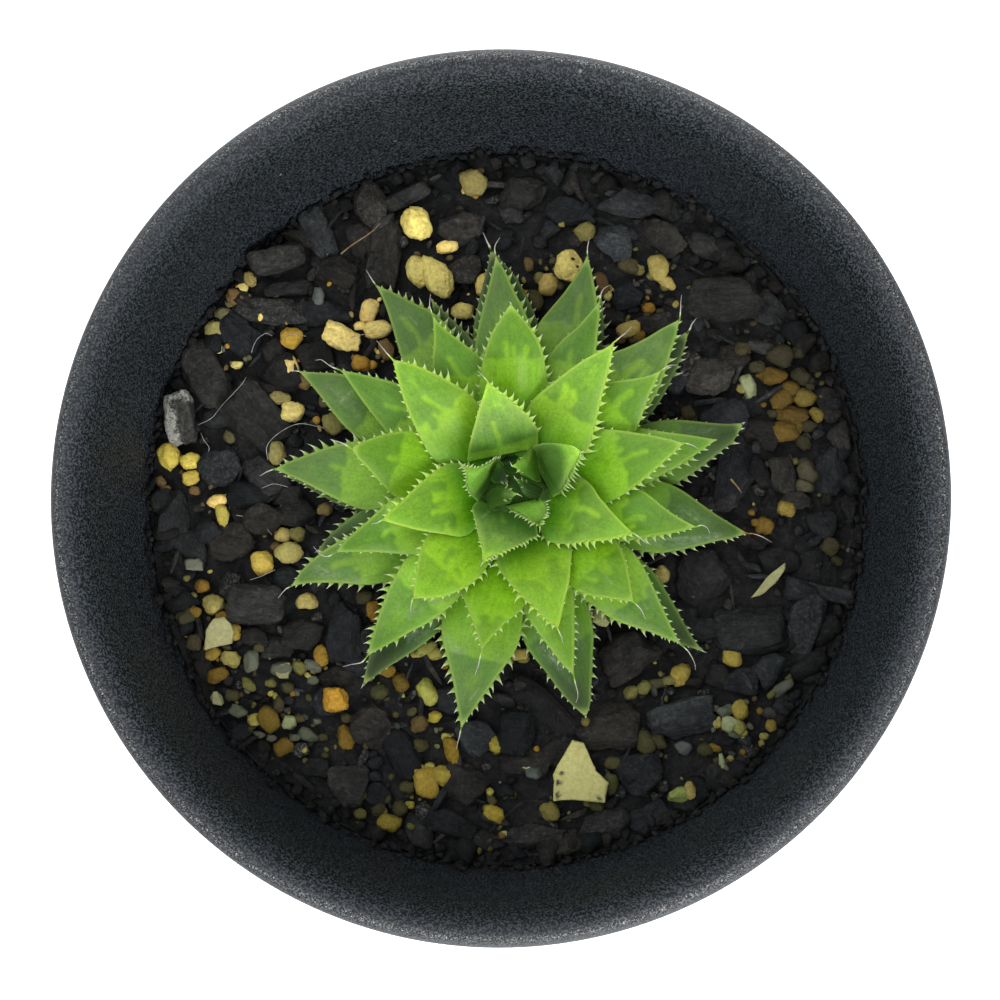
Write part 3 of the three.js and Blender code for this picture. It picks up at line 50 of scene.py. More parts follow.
# ---------------------------------------------------------------- leaf table
# st: 11 stations from base to tip: left margin xyz, right margin xyz, keel depth, crown.
# marks are strokes on the upper face in leaf coordinates (across, along), with radius
# and strength: tongues of opaque flesh, clear pools, painted sheen, hairlines, painted light and painted shade.
LEAVES = {
    'leaf_01': dict(lvl=4.95, y0=0.88, ws=0, teeth=(0.6,0.6), bristle=[(0.88,0.87,70.55)],
        marks=[('dark',[(0.76,0.5),(-0.14,1.6)],1.25,1)],
        st=[(-0.18,3.37,69.45,-0.89,1.84,69.5,0.89,0.09),(-0.02,3.2,69.61,-0.74,1.67,69.63,0.89,0.09),(0.13,3.04,69.76,-0.58,1.52,69.78,0.89,0.09),(0.29,2.83,69.9,-0.42,1.44,69.91,0.84,0.08),(0.44,2.61,70.02,-0.26,1.38,70.03,0.78,0.07),(0.55,2.35,70.12,-0.06,1.37,70.13,0.67,0.06),(0.65,2.1,70.2,0.14,1.36,70.2,0.56,0.04),(0.72,1.82,70.25,0.33,1.36,70.26,0.43,0.03),(0.77,1.55,70.29,0.52,1.35,70.29,0.31,0.02),(0.77,1.33,70.31,0.65,1.24,70.31,0.24,0.01),(0.77,1.15,70.33,0.77,1.15,70.33,0.18,0)]),
    'leaf_02': dict(lvl=4.85, y0=1.33, ws=0, teeth=(0.8,0.8), bristle=[(1.55,1.75,70.9),(1.5,1.95,70.95)],
        marks=[('dark',[(0.2,2.8),(0.02,0)],0.94,0.7)],
        st=[(4.08,0.01,69.13,4.38,0.62,69.13,0.47,0.03),(3.83,0.12,69.38,4.07,0.8,69.38,0.48,0.04),(3.57,0.21,69.62,3.77,0.94,69.62,0.5,0.04),(3.28,0.28,69.84,3.48,1.05,69.84,0.52,0.04),(2.99,0.35,70.04,3.19,1.16,70.04,0.53,0.04),(2.76,0.52,70.21,2.91,1.29,70.21,0.51,0.04),(2.53,0.7,70.36,2.64,1.42,70.36,0.49,0.04),(2.31,0.91,70.47,2.36,1.48,70.47,0.42,0.03),(2.09,1.12,70.57,2.09,1.53,70.57,0.35,0.02),(1.88,1.38,70.66,1.88,1.57,70.66,0.26,0.01),(1.7,1.61,70.73,1.7,1.61,70.73,0.18,0)]),
    'leaf_03': dict(lvl=4.8, y0=1.46, ws=0, teeth=(0.9,0.9), bristle=[(2.01,0.01,71.1),(2.36,-0.2,71.15)],
        marks=[('lite',[(0.12,3.2),(0.04,2.57)],0.42,0.6), ('dark',[(-0.05,0),(0.13,2.44)],0.94,0.55)],
        st=[(-1.31,-0.27,69.13,-1.21,-0.99,69.13,0.48,0.04),(-1.03,-0.03,69.4,-0.93,-0.85,69.4,0.53,0.04),(-0.75,0.22,69.66,-0.65,-0.72,69.66,0.58,0.05),(-0.42,0.43,69.9,-0.36,-0.66,69.9,0.64,0.06),(-0.1,0.65,70.12,-0.08,-0.6,70.12,0.71,0.06),(0.21,0.74,70.31,0.24,-0.53,70.31,0.72,0.06),(0.51,0.73,70.48,0.58,-0.46,70.48,0.68,0.06),(0.81,0.7,70.62,0.91,-0.39,70.62,0.64,0.06),(1.11,0.51,70.73,1.21,-0.28,70.73,0.52,0.04),(1.41,0.3,70.84,1.49,-0.13,70.84,0.36,0.02),(1.7,0.08,70.93,1.7,0.08,70.93,0.18,0)]),
    'leaf_04': dict(lvl=4.75, y0=1.01, ws=0, teeth=(1,0.7), bristle=[(1.23,3.03,71.9),(1.14,3.22,71.95)],
        marks=[('lite',[(0.1,2.9),(0.32,1.82)],0.52,0.8), ('lite',[(1.61,0.65),(0.47,1.3)],0.31,0.6)],
        st=[(4.2,1.58,69.89,3.7,4.42,69.95,1.2,0.14),(3.96,1.44,70.13,3.4,4.71,70.16,1.2,0.17),(3.7,1.41,70.38,3.13,4.82,70.4,1.2,0.17),(3.37,1.61,70.62,2.92,4.57,70.63,1.18,0.15),(3.06,1.81,70.84,2.7,4.28,70.85,1.06,0.12),(2.75,2.02,71.04,2.48,3.95,71.05,0.93,0.1),(2.46,2.22,71.22,2.27,3.64,71.22,0.79,0.07),(2.18,2.39,71.37,2.04,3.39,71.38,0.61,0.05),(1.91,2.56,71.5,1.82,3.16,71.51,0.43,0.03),(1.65,2.71,71.62,1.61,2.99,71.62,0.3,0.01),(1.43,2.84,71.73,1.43,2.84,71.73,0.18,0)]),
    'leaf_05': dict(lvl=4.6, y0=1.21, ws=0, teeth=(1.2,1.3), bristle=[(4.17,-3.62,73.01),(4.13,-4.02,73.06)],
        marks=[('lite',[(-1.02,1.69),(-0.19,4.44)],0.62,0.8), ('lite',[(1.84,1.25),(0.13,0.9)],0.31,0.5)],
        st=[(3.94,-0.18,67.83,0.67,-0.89,67.83,1.2,0.17),(4.29,-0.4,68.44,0.92,-1.16,68.44,1.2,0.17),(4.6,-0.65,69.03,1.19,-1.42,69.03,1.2,0.18),(4.72,-1.01,69.61,1.58,-1.63,69.61,1.2,0.16),(4.8,-1.35,70.16,1.98,-1.85,70.16,1.2,0.14),(4.76,-1.66,70.67,2.42,-2.16,70.67,1.19,0.12),(4.69,-1.98,71.16,2.84,-2.45,71.16,0.99,0.1),(4.56,-2.34,71.61,3.23,-2.72,71.61,0.76,0.07),(4.43,-2.7,72.04,3.6,-2.97,72.04,0.55,0.04),(4.29,-3.07,72.45,3.9,-3.2,72.45,0.35,0.02),(4.17,-3.4,72.84,4.17,-3.4,72.84,0.18,0)]),
    'leaf_06': dict(lvl=4.5, y0=1.73, ws=0, teeth=(1,1.1), bristle=[(-3.89,3.11,73.87)],
        marks=[('lite',[(-0.03,7.06),(-0.46,4.7),(-0.46,3.49),(0.81,3.25),(2.23,2.13)],0.52,1), ('dark',[(-2.05,0),(0,0),(1.83,0.38)],1.35,1)],
        st=[(-2.31,-0.34,67.42,0.33,3.31,66.76,1.2,0.23),(-2.6,-0.11,68.01,0.12,3.56,67.53,1.2,0.23),(-2.88,0.12,68.63,-0.08,3.8,68.31,1.2,0.23),(-3.13,0.44,69.29,-0.38,3.82,69.09,1.2,0.22),(-3.33,0.93,69.97,-0.83,3.51,69.83,1.2,0.18),(-3.34,1.49,70.63,-1.45,3.11,70.54,1.2,0.12),(-3.29,2.02,71.28,-2.11,2.79,71.22,0.78,0.07),(-3.29,2.37,71.9,-2.66,2.7,71.86,0.48,0.04),(-3.39,2.61,72.5,-3.09,2.72,72.48,0.32,0.02),(-3.56,2.76,73.08,-3.42,2.81,73.07,0.24,0.01),(-3.71,2.88,73.65,-3.71,2.88,73.65,0.18,0)]),
    'leaf_07': dict(lvl=4.45, y0=1.2, ws=0.3, teeth=(0.25,1.7), bristle=[(8.6,3.94,74.63),(8.9,3.78,74.68)],
        marks=[('lite',[(-0.19,8.41),(0.77,5.9),(1.94,3.81),(2.65,2.2)],0.47,1), ('lite',[(0,8.8),(-0.02,7.48)],0.62,1), ('dark',[(-1.44,3.81),(0.27,2.14),(2.06,1.15)],2.5,0.85)],
        st=[(3.42,3.67,67.21,5.35,0.09,66.97,1.2,0.2),(3.44,4.41,67.85,5.77,0.27,67.73,1.2,0.24),(3.46,5.12,68.59,6.17,0.45,68.53,1.2,0.27),(3.94,5.21,69.39,6.52,0.93,69.36,1.2,0.25),(4.45,5.25,70.19,6.86,1.43,70.17,1.2,0.23),(5.02,5.21,70.97,7.17,1.92,70.96,1.2,0.2),(5.66,5.09,71.72,7.45,2.39,71.71,1.2,0.16),(6.3,4.95,72.44,7.72,2.83,72.44,1.2,0.13),(6.96,4.78,73.13,7.98,3.21,73.13,0.97,0.09),(7.6,4.55,73.8,8.21,3.58,73.8,0.66,0.06),(8.3,3.96,74.46,8.3,3.96,74.46,0.18,0)]),
    'leaf_08': dict(lvl=4.2, y0=0, ws=0.9, teeth=(1.1,0.6), bristle=[(-1.58,-7.16,74.02),(-1.73,-7.46,74.07)],
        marks=[('finger',[(0.09,2.06),(0.43,0.94)],0.26,0.8), ('line',[(2.26,2.58),(1.72,1.13),(0.91,0.5)],0.07,0.9), ('lite',[(2.74,3.3),(1.32,6.09),(0.03,9.1)],0.36,0.9), ('lite',[(0,9.54),(0.05,8.33),(-0.35,7.62)],0.62,0.9)],
        st=[(3.6,-2.24,66.6,-2.35,-0.17,66.66,1.2,0.32),(3.73,-3.14,67.37,-2.65,-0.67,67.32,1.2,0.34),(3.74,-3.95,68.15,-2.85,-1.25,68.12,1.2,0.36),(3.12,-4.34,68.94,-2.6,-2.16,68.92,1.2,0.31),(2.48,-4.74,69.72,-2.36,-3.03,69.71,1.2,0.26),(1.72,-5.16,70.48,-2.14,-3.78,70.47,1.2,0.21),(0.98,-5.56,71.21,-1.94,-4.51,71.2,1.2,0.16),(0.22,-5.95,71.9,-1.76,-5.17,71.9,1.08,0.11),(-0.52,-6.33,72.57,-1.59,-5.8,72.57,0.69,0.06),(-1.07,-6.69,73.22,-1.52,-6.43,73.22,0.4,0.03),(-1.49,-7,73.85,-1.49,-7,73.85,0.18,0)]),
    'leaf_09': dict(lvl=4, y0=0.57, ws=1, teeth=(0.35,1.1), bristle=[(-1.47,11.63,74.42),(-2.02,12.15,74.47)],
        marks=[('finger',[(-0.76,4.43),(-0.71,3.43),(-0.37,1.69),(-0.18,0.64)],0.21,1), ('finger',[(-3.47,0.51),(-0.27,0.38),(3.84,0.83)],0.62,1), ('frost',[(-2.53,3.36),(-1.73,4.43)],0.83,0.25), ('lite',[(1.65,6.56),(3.05,4.43),(3.5,2.89)],0.73,0.7)],
        st=[(-3.36,3.72,66.96,3.82,5.13,66.96,1.2,0.37),(-3.28,4.4,67.61,3.84,6.02,67.62,1.2,0.37),(-3.17,5.08,68.34,3.83,6.88,68.35,1.2,0.36),(-2.9,5.95,69.11,3.38,7.49,69.13,1.2,0.33),(-2.63,6.8,69.9,2.94,8.08,69.91,1.2,0.29),(-2.35,7.59,70.68,2.3,8.65,70.69,1.2,0.24),(-2.08,8.36,71.44,1.64,9.21,71.44,1.2,0.19),(-1.79,9.1,72.17,0.93,9.74,72.18,1.2,0.14),(-1.49,9.81,72.88,0.17,10.23,72.89,0.91,0.09),(-1.24,10.49,73.57,-0.49,10.69,73.57,0.51,0.04),(-1.03,11.08,74.25,-1.03,11.08,74.25,0.18,0)]),
    'leaf_10': dict(lvl=3.6, y0=3.65, ws=1, teeth=(0.15,1.15), bristle=[(14.17,-4.45,71.53),(14.92,-5.07,71.58)],
        marks=[('finger',[(1.51,3.13),(0.09,3.57),(-0.55,4.54),(-0.61,5.41),(-0.53,6.57)],0.24,1), ('finger',[(2.15,2.61),(2.16,3.57),(1.52,3.87)],0.31,0.9), ('pool',[(0.53,3.28),(0.49,4.24),(0.27,5.49)],0.47,1), ('pool',[(-1.84,4.68),(-1.73,5.85)],0.52,1), ('pool',[(2.6,3.94),(1.42,5.63)],0.36,0.8)],
        st=[(5.28,1.42,65.49,3.81,-2.72,66.02,0.51,0.22),(6.54,2.04,66.11,4.55,-4.16,66.74,0.53,0.33),(7.64,2.2,66.76,5.51,-4.63,67.22,0.55,0.36),(8.58,1.83,67.43,6.58,-4.74,67.75,0.57,0.35),(9.38,1.06,68.08,7.67,-4.69,68.3,0.7,0.3),(10.04,-0.02,68.71,8.74,-4.63,68.86,0.92,0.24),(10.77,-0.94,69.3,9.76,-4.58,69.4,1.13,0.19),(11.49,-1.81,69.86,10.74,-4.53,69.92,1.34,0.14),(12.17,-2.61,70.38,11.77,-4.38,70.42,0.95,0.09),(12.85,-3.34,70.88,12.71,-4.19,70.89,0.54,0.04),(13.5,-3.96,71.36,13.5,-3.96,71.36,0.18,0)]),
    'leaf_11': dict(lvl=3.5, y0=7.28, ws=1, teeth=(0.3,1.2), bristle=[(12.44,16.05,71.2),(13.51,16.98,71.25)],
        marks=[('finger',[(-0.83,6.97),(-1.02,8.19),(-1.31,9.09)],0.42,1), ('finger',[(-0.16,7.48),(0.07,8.29),(-0.46,8.99)],0.31,1), ('pool',[(0.79,7.48),(1.71,7.17)],0.42,1), ('frost',[(0.89,9.28),(1.06,7.88),(1.66,6.35)],0.73,0.25)],
        st=[(1.44,4.55,65.42,5.19,2.06,65.63,0.51,0.23),(1.95,6.15,65.88,6.53,3.15,66.23,0.54,0.28),(2.27,7.82,66.47,8.04,4.11,66.83,0.57,0.35),(2.86,9.36,67.12,9.04,5.28,67.4,0.84,0.37),(3.86,10.48,67.78,9.56,6.84,67.97,1.18,0.34),(5.07,11.39,68.4,9.96,8.48,68.53,1.51,0.29),(6.34,12.31,68.99,10.34,10.01,69.08,1.84,0.23),(7.67,13.23,69.55,10.7,11.41,69.6,1.68,0.18),(9.03,14.04,70.06,11.09,12.76,70.1,1.21,0.12),(10.37,14.65,70.55,11.42,14.19,70.57,0.67,0.06),(11.56,15.33,71.03,11.56,15.33,71.03,0.18,0)]),
    'leaf_12': dict(lvl=3.5, y0=6.43, ws=0.6, teeth=(0.35,1.15), bristle=[(6.22,-14.25,71.2),(6.49,-15.07,71.25)],
        marks=[('finger',[(0.62,6.6),(0.07,7.26),(-0.41,8.48)],0.12,0.7), ('finger',[(-0.39,6.51),(-0.55,8.32)],0.12,0.7), ('finger',[(1.2,6.35),(0.83,7.51)],0.26,0.5), ('pool',[(-1.49,5.4),(-1.54,6.68),(-1.37,7.92)],0.62,0.7)],
        st=[(4.58,-2.03,64.64,0.31,-3.37,64.81,0.51,0.23),(5.83,-2.91,65.3,-0.17,-4.91,65.61,0.54,0.32),(6.82,-3.87,66.04,-0.39,-6.33,66.35,0.56,0.38),(7.23,-5.05,66.83,0,-7.48,67.04,0.63,0.38),(7.18,-6.3,67.57,0.77,-8.52,67.72,0.9,0.34),(7.11,-7.56,68.26,1.58,-9.48,68.36,1.16,0.29),(6.97,-8.84,68.9,2.4,-10.38,68.96,1.41,0.24),(6.63,-10.25,69.48,3.25,-11.13,69.53,1.57,0.18),(6.36,-11.51,70.03,4.07,-11.92,70.05,1.16,0.12),(6.13,-12.63,70.54,4.89,-12.72,70.55,0.7,0.06),(5.87,-13.47,71.03,5.87,-13.47,71.03,0.18,0)]),
    'leaf_13': dict(lvl=3.5, y0=5.38, ws=1, teeth=(0.2,1.25), bristle=[(-12.33,-2.83,71.19),(-12.86,-2.94,71.24)],
        marks=[('finger',[(0.84,3.36),(0.85,4.53),(0.46,5.38)],0.25,1), ('finger',[(-0.66,3.28),(-0.6,4.45),(-0.78,5.91)],0.25,1), ('finger',[(-0.19,2.64),(-0.09,3.59)],0.42,1), ('pool',[(1.72,5.22),(1.5,4.22)],0.52,1), ('pool',[(0.09,4.45),(-0.08,5.45)],0.25,1), ('pool',[(-1.69,4.99),(-1.62,3.98),(-2.47,4.22)],0.52,1)],
        st=[(-1.8,-1.9,65.3,-2.01,2.53,65.82,0.51,0.22),(-2.55,-2.91,66.05,-3.53,3.33,66.36,0.53,0.32),(-3.32,-3.67,66.68,-4.95,3.61,66.87,0.55,0.38),(-4.34,-3.94,67.3,-6.03,3.15,67.42,0.57,0.37),(-5.49,-3.77,67.92,-7,2.42,67.99,0.76,0.32),(-6.61,-3.63,68.51,-7.91,1.6,68.55,1,0.27),(-7.72,-3.52,69.07,-8.76,0.73,69.09,1.22,0.22),(-8.87,-3.3,69.59,-9.54,-0.13,69.61,1.45,0.16),(-10.02,-3,70.09,-10.28,-0.92,70.1,1.07,0.11),(-11.04,-2.75,70.56,-11.05,-1.63,70.57,0.65,0.06),(-11.79,-2.52,71.02,-11.79,-2.52,71.02,0.18,0)]),
    'leaf_14': dict(lvl=3.4, y0=8.36, ws=1, teeth=(0.5,1.2), bristle=[(-11.51,14.6,70.87),(-12.45,15.75,70.91)],
        marks=[('finger',[(0.84,7.54),(0.16,8.66),(-0.07,9.56),(-0.38,10.54)],0.27,1), ('finger',[(-0.58,7.85),(-0.86,8.56)],0.21,0.7), ('pool',[(-1.02,9.36),(-1.28,8.26),(-1.51,7.65)],0.47,1), ('lite',[(2.73,8.26),(1.18,7.54),(-0.52,6.93)],1.25,0.45)],
        st=[(-2.63,1.35,64.76,0.54,4.54,65.24,0.51,0.23),(-4.07,2.33,65.39,-0.38,5.84,65.63,0.54,0.26),(-5.66,3.16,66.15,-1.11,7.22,66.22,0.57,0.31),(-6.97,4.16,66.88,-1.8,8.58,66.87,0.86,0.34),(-7.83,5.45,67.54,-2.51,9.94,67.51,1.19,0.35),(-8.52,6.87,68.15,-3.66,10.92,68.12,1.52,0.32),(-9.16,8.29,68.72,-4.99,11.72,68.7,1.85,0.27),(-9.71,9.69,69.26,-6.43,12.42,69.25,1.76,0.21),(-10.12,11.12,69.76,-7.88,13.07,69.75,1.37,0.15),(-10.51,12.52,70.23,-9.33,13.56,70.23,0.84,0.08),(-10.77,13.8,70.69,-10.77,13.8,70.69,0.18,0)]),
    'leaf_15': dict(lvl=3.4, y0=8.43, ws=0.65, teeth=(0.75,0.75), bristle=[(-8.84,-11,70.87),(-8.9,-11.78,70.92)],
        marks=[('finger',[(-1.13,8.75),(-0.63,7.68),(-0.75,6.58),(-1.42,6.58)],0.21,0.8), ('finger',[(0.61,8.02),(0.58,7.01)],0.31,0.4), ('pool',[(0.24,7.43),(0.42,6.24)],0.36,0.6), ('pool',[(-1.21,7.43),(-1.75,7.6)],0.31,0.8)],
        st=[(0.51,-3.49,64.19,-2.64,-0.25,64.36,0.51,0.23),(-0.21,-4.53,64.84,-3.69,-1.07,64.93,0.54,0.25),(-0.75,-5.69,65.58,-4.86,-1.76,65.71,0.56,0.29),(-1.33,-6.77,66.41,-5.97,-2.5,66.49,0.65,0.32),(-1.92,-7.8,67.18,-6.93,-3.34,67.23,0.92,0.34),(-2.8,-8.68,67.9,-7.61,-4.24,67.92,1.18,0.33),(-3.84,-9.37,68.55,-8.04,-5.35,68.56,1.44,0.29),(-4.93,-9.9,69.14,-8.29,-6.63,69.15,1.58,0.24),(-6.14,-10.25,69.69,-8.46,-7.95,69.7,1.22,0.16),(-7.47,-10.34,70.21,-8.59,-9.29,70.21,0.78,0.08),(-8.67,-10.42,70.7,-8.67,-10.42,70.7,0.18,0)]),
    'leaf_16': dict(lvl=3.1, y0=8.32, ws=1, teeth=(0.35,0.9), bristle=[(19.28,5.13,69.85),(20.12,4.74,69.9)],
        marks=[('finger',[(0,7.55),(0,8.7),(-0.26,9.82),(-0.16,10.91)],0.23,1), ('finger',[(-1.04,7.35),(-1,8.51)],0.21,0.8), ('pool',[(-1.66,8.7),(-1.03,10.46)],0.57,1), ('pool',[(0.8,8.99),(1.2,10.19)],0.57,1)],
        st=[(4.27,3.8,64.87,5.71,-0.46,64.4,0.52,0.23),(5.78,4.58,65.33,7.2,-0.33,64.98,0.55,0.26),(7.22,5.67,65.88,8.72,-0.53,65.58,0.58,0.32),(8.72,6.59,66.49,10.13,-0.59,66.22,0.89,0.37),(10.13,6.94,67.13,11.6,-0.17,66.85,1.22,0.36),(11.61,6.88,67.68,12.96,0.58,67.44,1.54,0.32),(13.15,6.63,68.13,14.21,1.45,67.96,1.86,0.27),(14.58,6.36,68.54,15.45,2.46,68.43,1.71,0.2),(15.96,6.07,68.93,16.64,3.47,68.86,1.32,0.14),(17.32,5.71,69.31,17.73,4.43,69.28,0.75,0.07),(18.61,5.27,69.68,18.61,5.27,69.68,0.18,0)]),
    'leaf_17': dict(lvl=3.05, y0=8.24, ws=0.8, teeth=(0.35,0.8), bristle=[(14.16,-11.43,69.7),(14.74,-12.53,69.75)],
        marks=[('finger',[(0.17,7.52),(-0.31,8.59),(-0.22,9.46)],0.25,0.9), ('finger',[(-0.94,8.59),(-0.67,9.89)],0.27,0.8), ('finger',[(1.4,8.77),(0.92,9.55)],0.25,0.8), ('pool',[(0.23,9.03),(0.34,9.8)],0.31,0.9), ('line',[(-0.07,9.89),(0.1,11.05)],0.08,0.6)],
        st=[(5.77,-0.17,63.63,2.84,-3.62,63.65,0.52,0.23),(7.02,-1.07,64.31,3.73,-4.62,64.32,0.55,0.24),(8.34,-1.9,64.99,4.53,-5.66,65,0.57,0.27),(9.68,-2.69,65.72,5.26,-6.72,65.72,0.82,0.3),(10.95,-3.53,66.4,6.01,-7.68,66.4,1.12,0.33),(11.89,-4.54,67.03,6.78,-8.68,67.04,1.41,0.33),(12.48,-5.69,67.61,7.85,-9.51,67.62,1.69,0.3),(12.84,-6.95,68.15,9.23,-10.06,68.15,1.64,0.24),(13.12,-8.33,68.63,10.71,-10.31,68.63,1.27,0.16),(13.34,-9.59,69.09,12.19,-10.56,69.09,0.81,0.08),(13.49,-10.75,69.53,13.49,-10.75,69.53,0.18,0)]),
    'leaf_18': dict(lvl=3, y0=10.51, ws=1, teeth=(0.7,1), bristle=[(1,19.85,69.58)],
        marks=[('finger',[(-0.56,10.1),(-0.66,11.11),(-0.78,12.19)],0.27,1), ('finger',[(0.08,10.71),(0,11.6)],0.21,0.8), ('finger',[(1.1,10.31),(1.28,11.5)],0.27,1), ('frost',[(0.79,10.1),(0.88,7.72)],0.47,0.55), ('lite',[(0.77,10.51),(0.84,8.87),(0.79,7.41)],0.52,0.8)],
        st=[(-0.89,4.27,64.2,3.66,4.3,64.76,0.52,0.23),(-1.16,6,64.68,3.88,6.01,65.06,0.55,0.25),(-1.68,7.69,65.25,4.37,7.69,65.5,0.62,0.3),(-2.1,9.36,65.86,4.76,9.32,66.02,0.98,0.34),(-2.19,10.98,66.45,4.87,10.94,66.56,1.34,0.36),(-2.07,12.55,67.03,4.74,12.55,67.1,1.69,0.34),(-1.78,14.07,67.56,4.48,14.14,67.61,2.04,0.32),(-1.33,15.54,68.05,4.08,15.69,68.08,1.79,0.27),(-0.72,17.03,68.51,3.24,17.12,68.53,1.4,0.2),(0.19,18.37,68.94,2.06,18.53,68.95,0.89,0.09),(1.13,19.66,69.36,1.13,19.66,69.36,0.18,0)]),
    'leaf_19': dict(lvl=3, y0=9.43, ws=1, teeth=(0.5,0.85), bristle=[(-16.08,5.47,69.54),(-17.22,5.86,69.59)],
        marks=[('finger',[(0.43,8.34),(0.16,9.34),(0,10.23)],0.33,0.9), ('finger',[(1.71,8.52),(1.7,9.25)],0.31,0.6)],
        st=[(-2.84,-0.59,63.66,-1.6,3.75,63.99,0.52,0.23),(-4.36,-0.39,64.26,-2.96,4.3,64.41,0.55,0.25),(-5.89,-0.29,64.9,-4.27,4.93,64.94,0.58,0.28),(-7.42,-0.27,65.55,-5.52,5.62,65.52,0.85,0.31),(-8.9,-0.18,66.2,-6.76,6.21,66.16,1.16,0.34),(-10.29,0.02,66.84,-8.05,6.67,66.81,1.47,0.35),(-11.37,0.65,67.43,-9.53,6.86,67.4,1.76,0.33),(-12.38,1.7,67.97,-10.99,6.66,67.95,1.69,0.26),(-13.41,2.87,68.46,-12.37,6.28,68.45,1.3,0.18),(-14.35,3.84,68.92,-13.79,5.72,68.92,0.83,0.1),(-15.1,4.94,69.37,-15.1,4.94,69.37,0.18,0)]),
    'leaf_20': dict(lvl=3, y0=10.34, ws=0.7, teeth=(0.7,0.75), bristle=[(-2.16,-17.12,69.54),(-2.49,-18.21,69.59)],
        marks=[('finger',[(1.57,10.17),(1.04,11.24)],0.31,0.6), ('finger',[(-0.13,9.58),(-0.41,10.67)],0.31,0.6), ('pool',[(0.24,11.08),(0.18,12.42)],0.52,0.7)],
        st=[(2.87,-3.61,63.09,-1.58,-2.68,63.15,0.52,0.23),(2.79,-5.02,63.91,-2,-4.09,63.97,0.55,0.25),(2.88,-6.44,64.73,-2.58,-5.44,64.77,0.57,0.28),(2.94,-7.81,65.5,-3.12,-6.78,65.53,0.81,0.31),(2.89,-9.17,66.21,-3.61,-8.06,66.23,1.11,0.33),(2.63,-10.51,66.85,-3.93,-9.29,66.87,1.41,0.34),(1.83,-11.69,67.44,-3.63,-10.62,67.45,1.69,0.28),(0.62,-12.71,67.98,-3.08,-11.98,67.98,1.64,0.19),(-0.36,-13.71,68.47,-2.56,-13.33,68.47,1.12,0.11),(-1.21,-14.69,68.92,-2.11,-14.57,68.93,0.56,0.05),(-1.83,-15.6,69.37,-1.83,-15.6,69.37,0.18,0)]),
    'leaf_21': dict(lvl=2.9, y0=10.36, ws=1, teeth=(0.25,0.95), bristle=[(17.22,13.24,69.16),(18.16,13.33,69.21)],
        marks=[('finger',[(0,9.54),(-0.34,11.07),(-0.28,12.45)],0.36,1), ('pool',[(0.36,11.57),(0.34,12.35),(-0.04,13.12)],0.44,1), ('pool',[(-1.01,12.25),(-1.07,11.17)],0.36,0.8), ('frost',[(1.95,11.77),(1.23,12.93)],0.42,0.5)],
        st=[(2.98,4.73,63.99,5.87,1.27,63.5,0.52,0.23),(4.23,5.89,64.5,7.31,2.23,64.1,0.55,0.24),(5.4,7.1,64.94,8.78,3.11,64.64,0.65,0.26),(6.52,8.32,65.46,10.26,3.94,65.2,1.01,0.29),(7.65,9.47,66.03,11.68,4.79,65.78,1.37,0.31),(8.72,10.65,66.61,12.97,5.74,66.39,1.72,0.33),(9.99,11.63,67.16,13.89,6.94,67.01,2.06,0.31),(11.65,11.88,67.66,14.55,8.62,67.57,1.8,0.22),(13.46,12.04,68.13,15.11,10.16,68.07,1.24,0.13),(15.02,12.27,68.57,15.78,11.53,68.54,0.63,0.05),(16.31,12.68,68.99,16.31,12.68,68.99,0.18,0)]),
    'leaf_22': dict(lvl=2.8, y0=8.37, ws=1, teeth=(0.3,0.95), bristle=[(20.48,-2.99,68.76),(21.04,-3.3,68.79),(21.28,-3.81,68.83)],
        marks=[('finger',[(1.27,7.75),(0.78,8.78),(0.19,9.79),(0.06,10.48)],0.27,1), ('finger',[(1.69,8.78),(1.17,9.59)],0.21,0.8), ('pool',[(-0.65,9.59),(-0.5,10.57)],0.47,1), ('pool',[(1.2,9.39),(0.95,10.18)],0.33,1), ('line',[(0.36,10.08),(0.59,10.77)],0.08,0.6)],
        st=[(5.68,2.22,62.77,4.97,-2.26,62.39,0.52,0.23),(7.33,2.03,63.42,6.57,-2.7,63.26,0.55,0.24),(8.98,1.92,64.19,8.12,-3.22,64.1,0.64,0.26),(10.6,1.84,64.93,9.64,-3.76,64.87,0.99,0.29),(12.18,1.72,65.61,11.13,-4.24,65.58,1.34,0.3),(13.71,1.16,66.24,12.58,-4.38,66.21,1.68,0.28),(15.09,0.32,66.8,14.13,-4.2,66.78,2.01,0.23),(16.27,-0.72,67.31,15.73,-3.94,67.29,1.56,0.16),(17.44,-1.66,67.77,17.26,-3.71,67.76,1.05,0.1),(18.65,-2.44,68.19,18.64,-3.47,68.19,0.62,0.05),(19.78,-3.12,68.61,19.78,-3.12,68.61,0.18,0)]),
    'leaf_23': dict(lvl=2.5, y0=9.45, ws=1, teeth=(0.35,0.95), bristle=[(-7.26,19.9,67.63),(-7.18,21.01,67.68)],
        marks=[('finger',[(0,9.35),(-0.27,10.49),(-0.33,11.71)],0.31,1), ('frost',[(-0.5,12.51)],0.62,0.2)],
        st=[(-2.44,3.23,63.13,1.64,5.23,63.46,0.52,0.23),(-3.3,4.88,63.57,0.93,6.74,63.82,0.56,0.23),(-4.19,6.49,64.06,0.27,8.24,64.2,0.72,0.24),(-5.05,8.08,64.57,-0.39,9.7,64.66,1.1,0.25),(-5.81,9.65,65.08,-0.91,11.21,65.13,1.47,0.26),(-6.44,11.18,65.56,-1.26,12.82,65.59,1.83,0.27),(-6.95,12.71,66,-1.83,14.33,66.02,2.12,0.27),(-7.04,14.34,66.41,-3.19,15.48,66.42,1.81,0.2),(-6.9,15.96,66.78,-4.66,16.59,66.78,1.17,0.12),(-6.89,17.45,67.12,-6.01,17.65,67.13,0.56,0.05),(-6.93,18.71,67.46,-6.93,18.71,67.46,0.18,0)]),
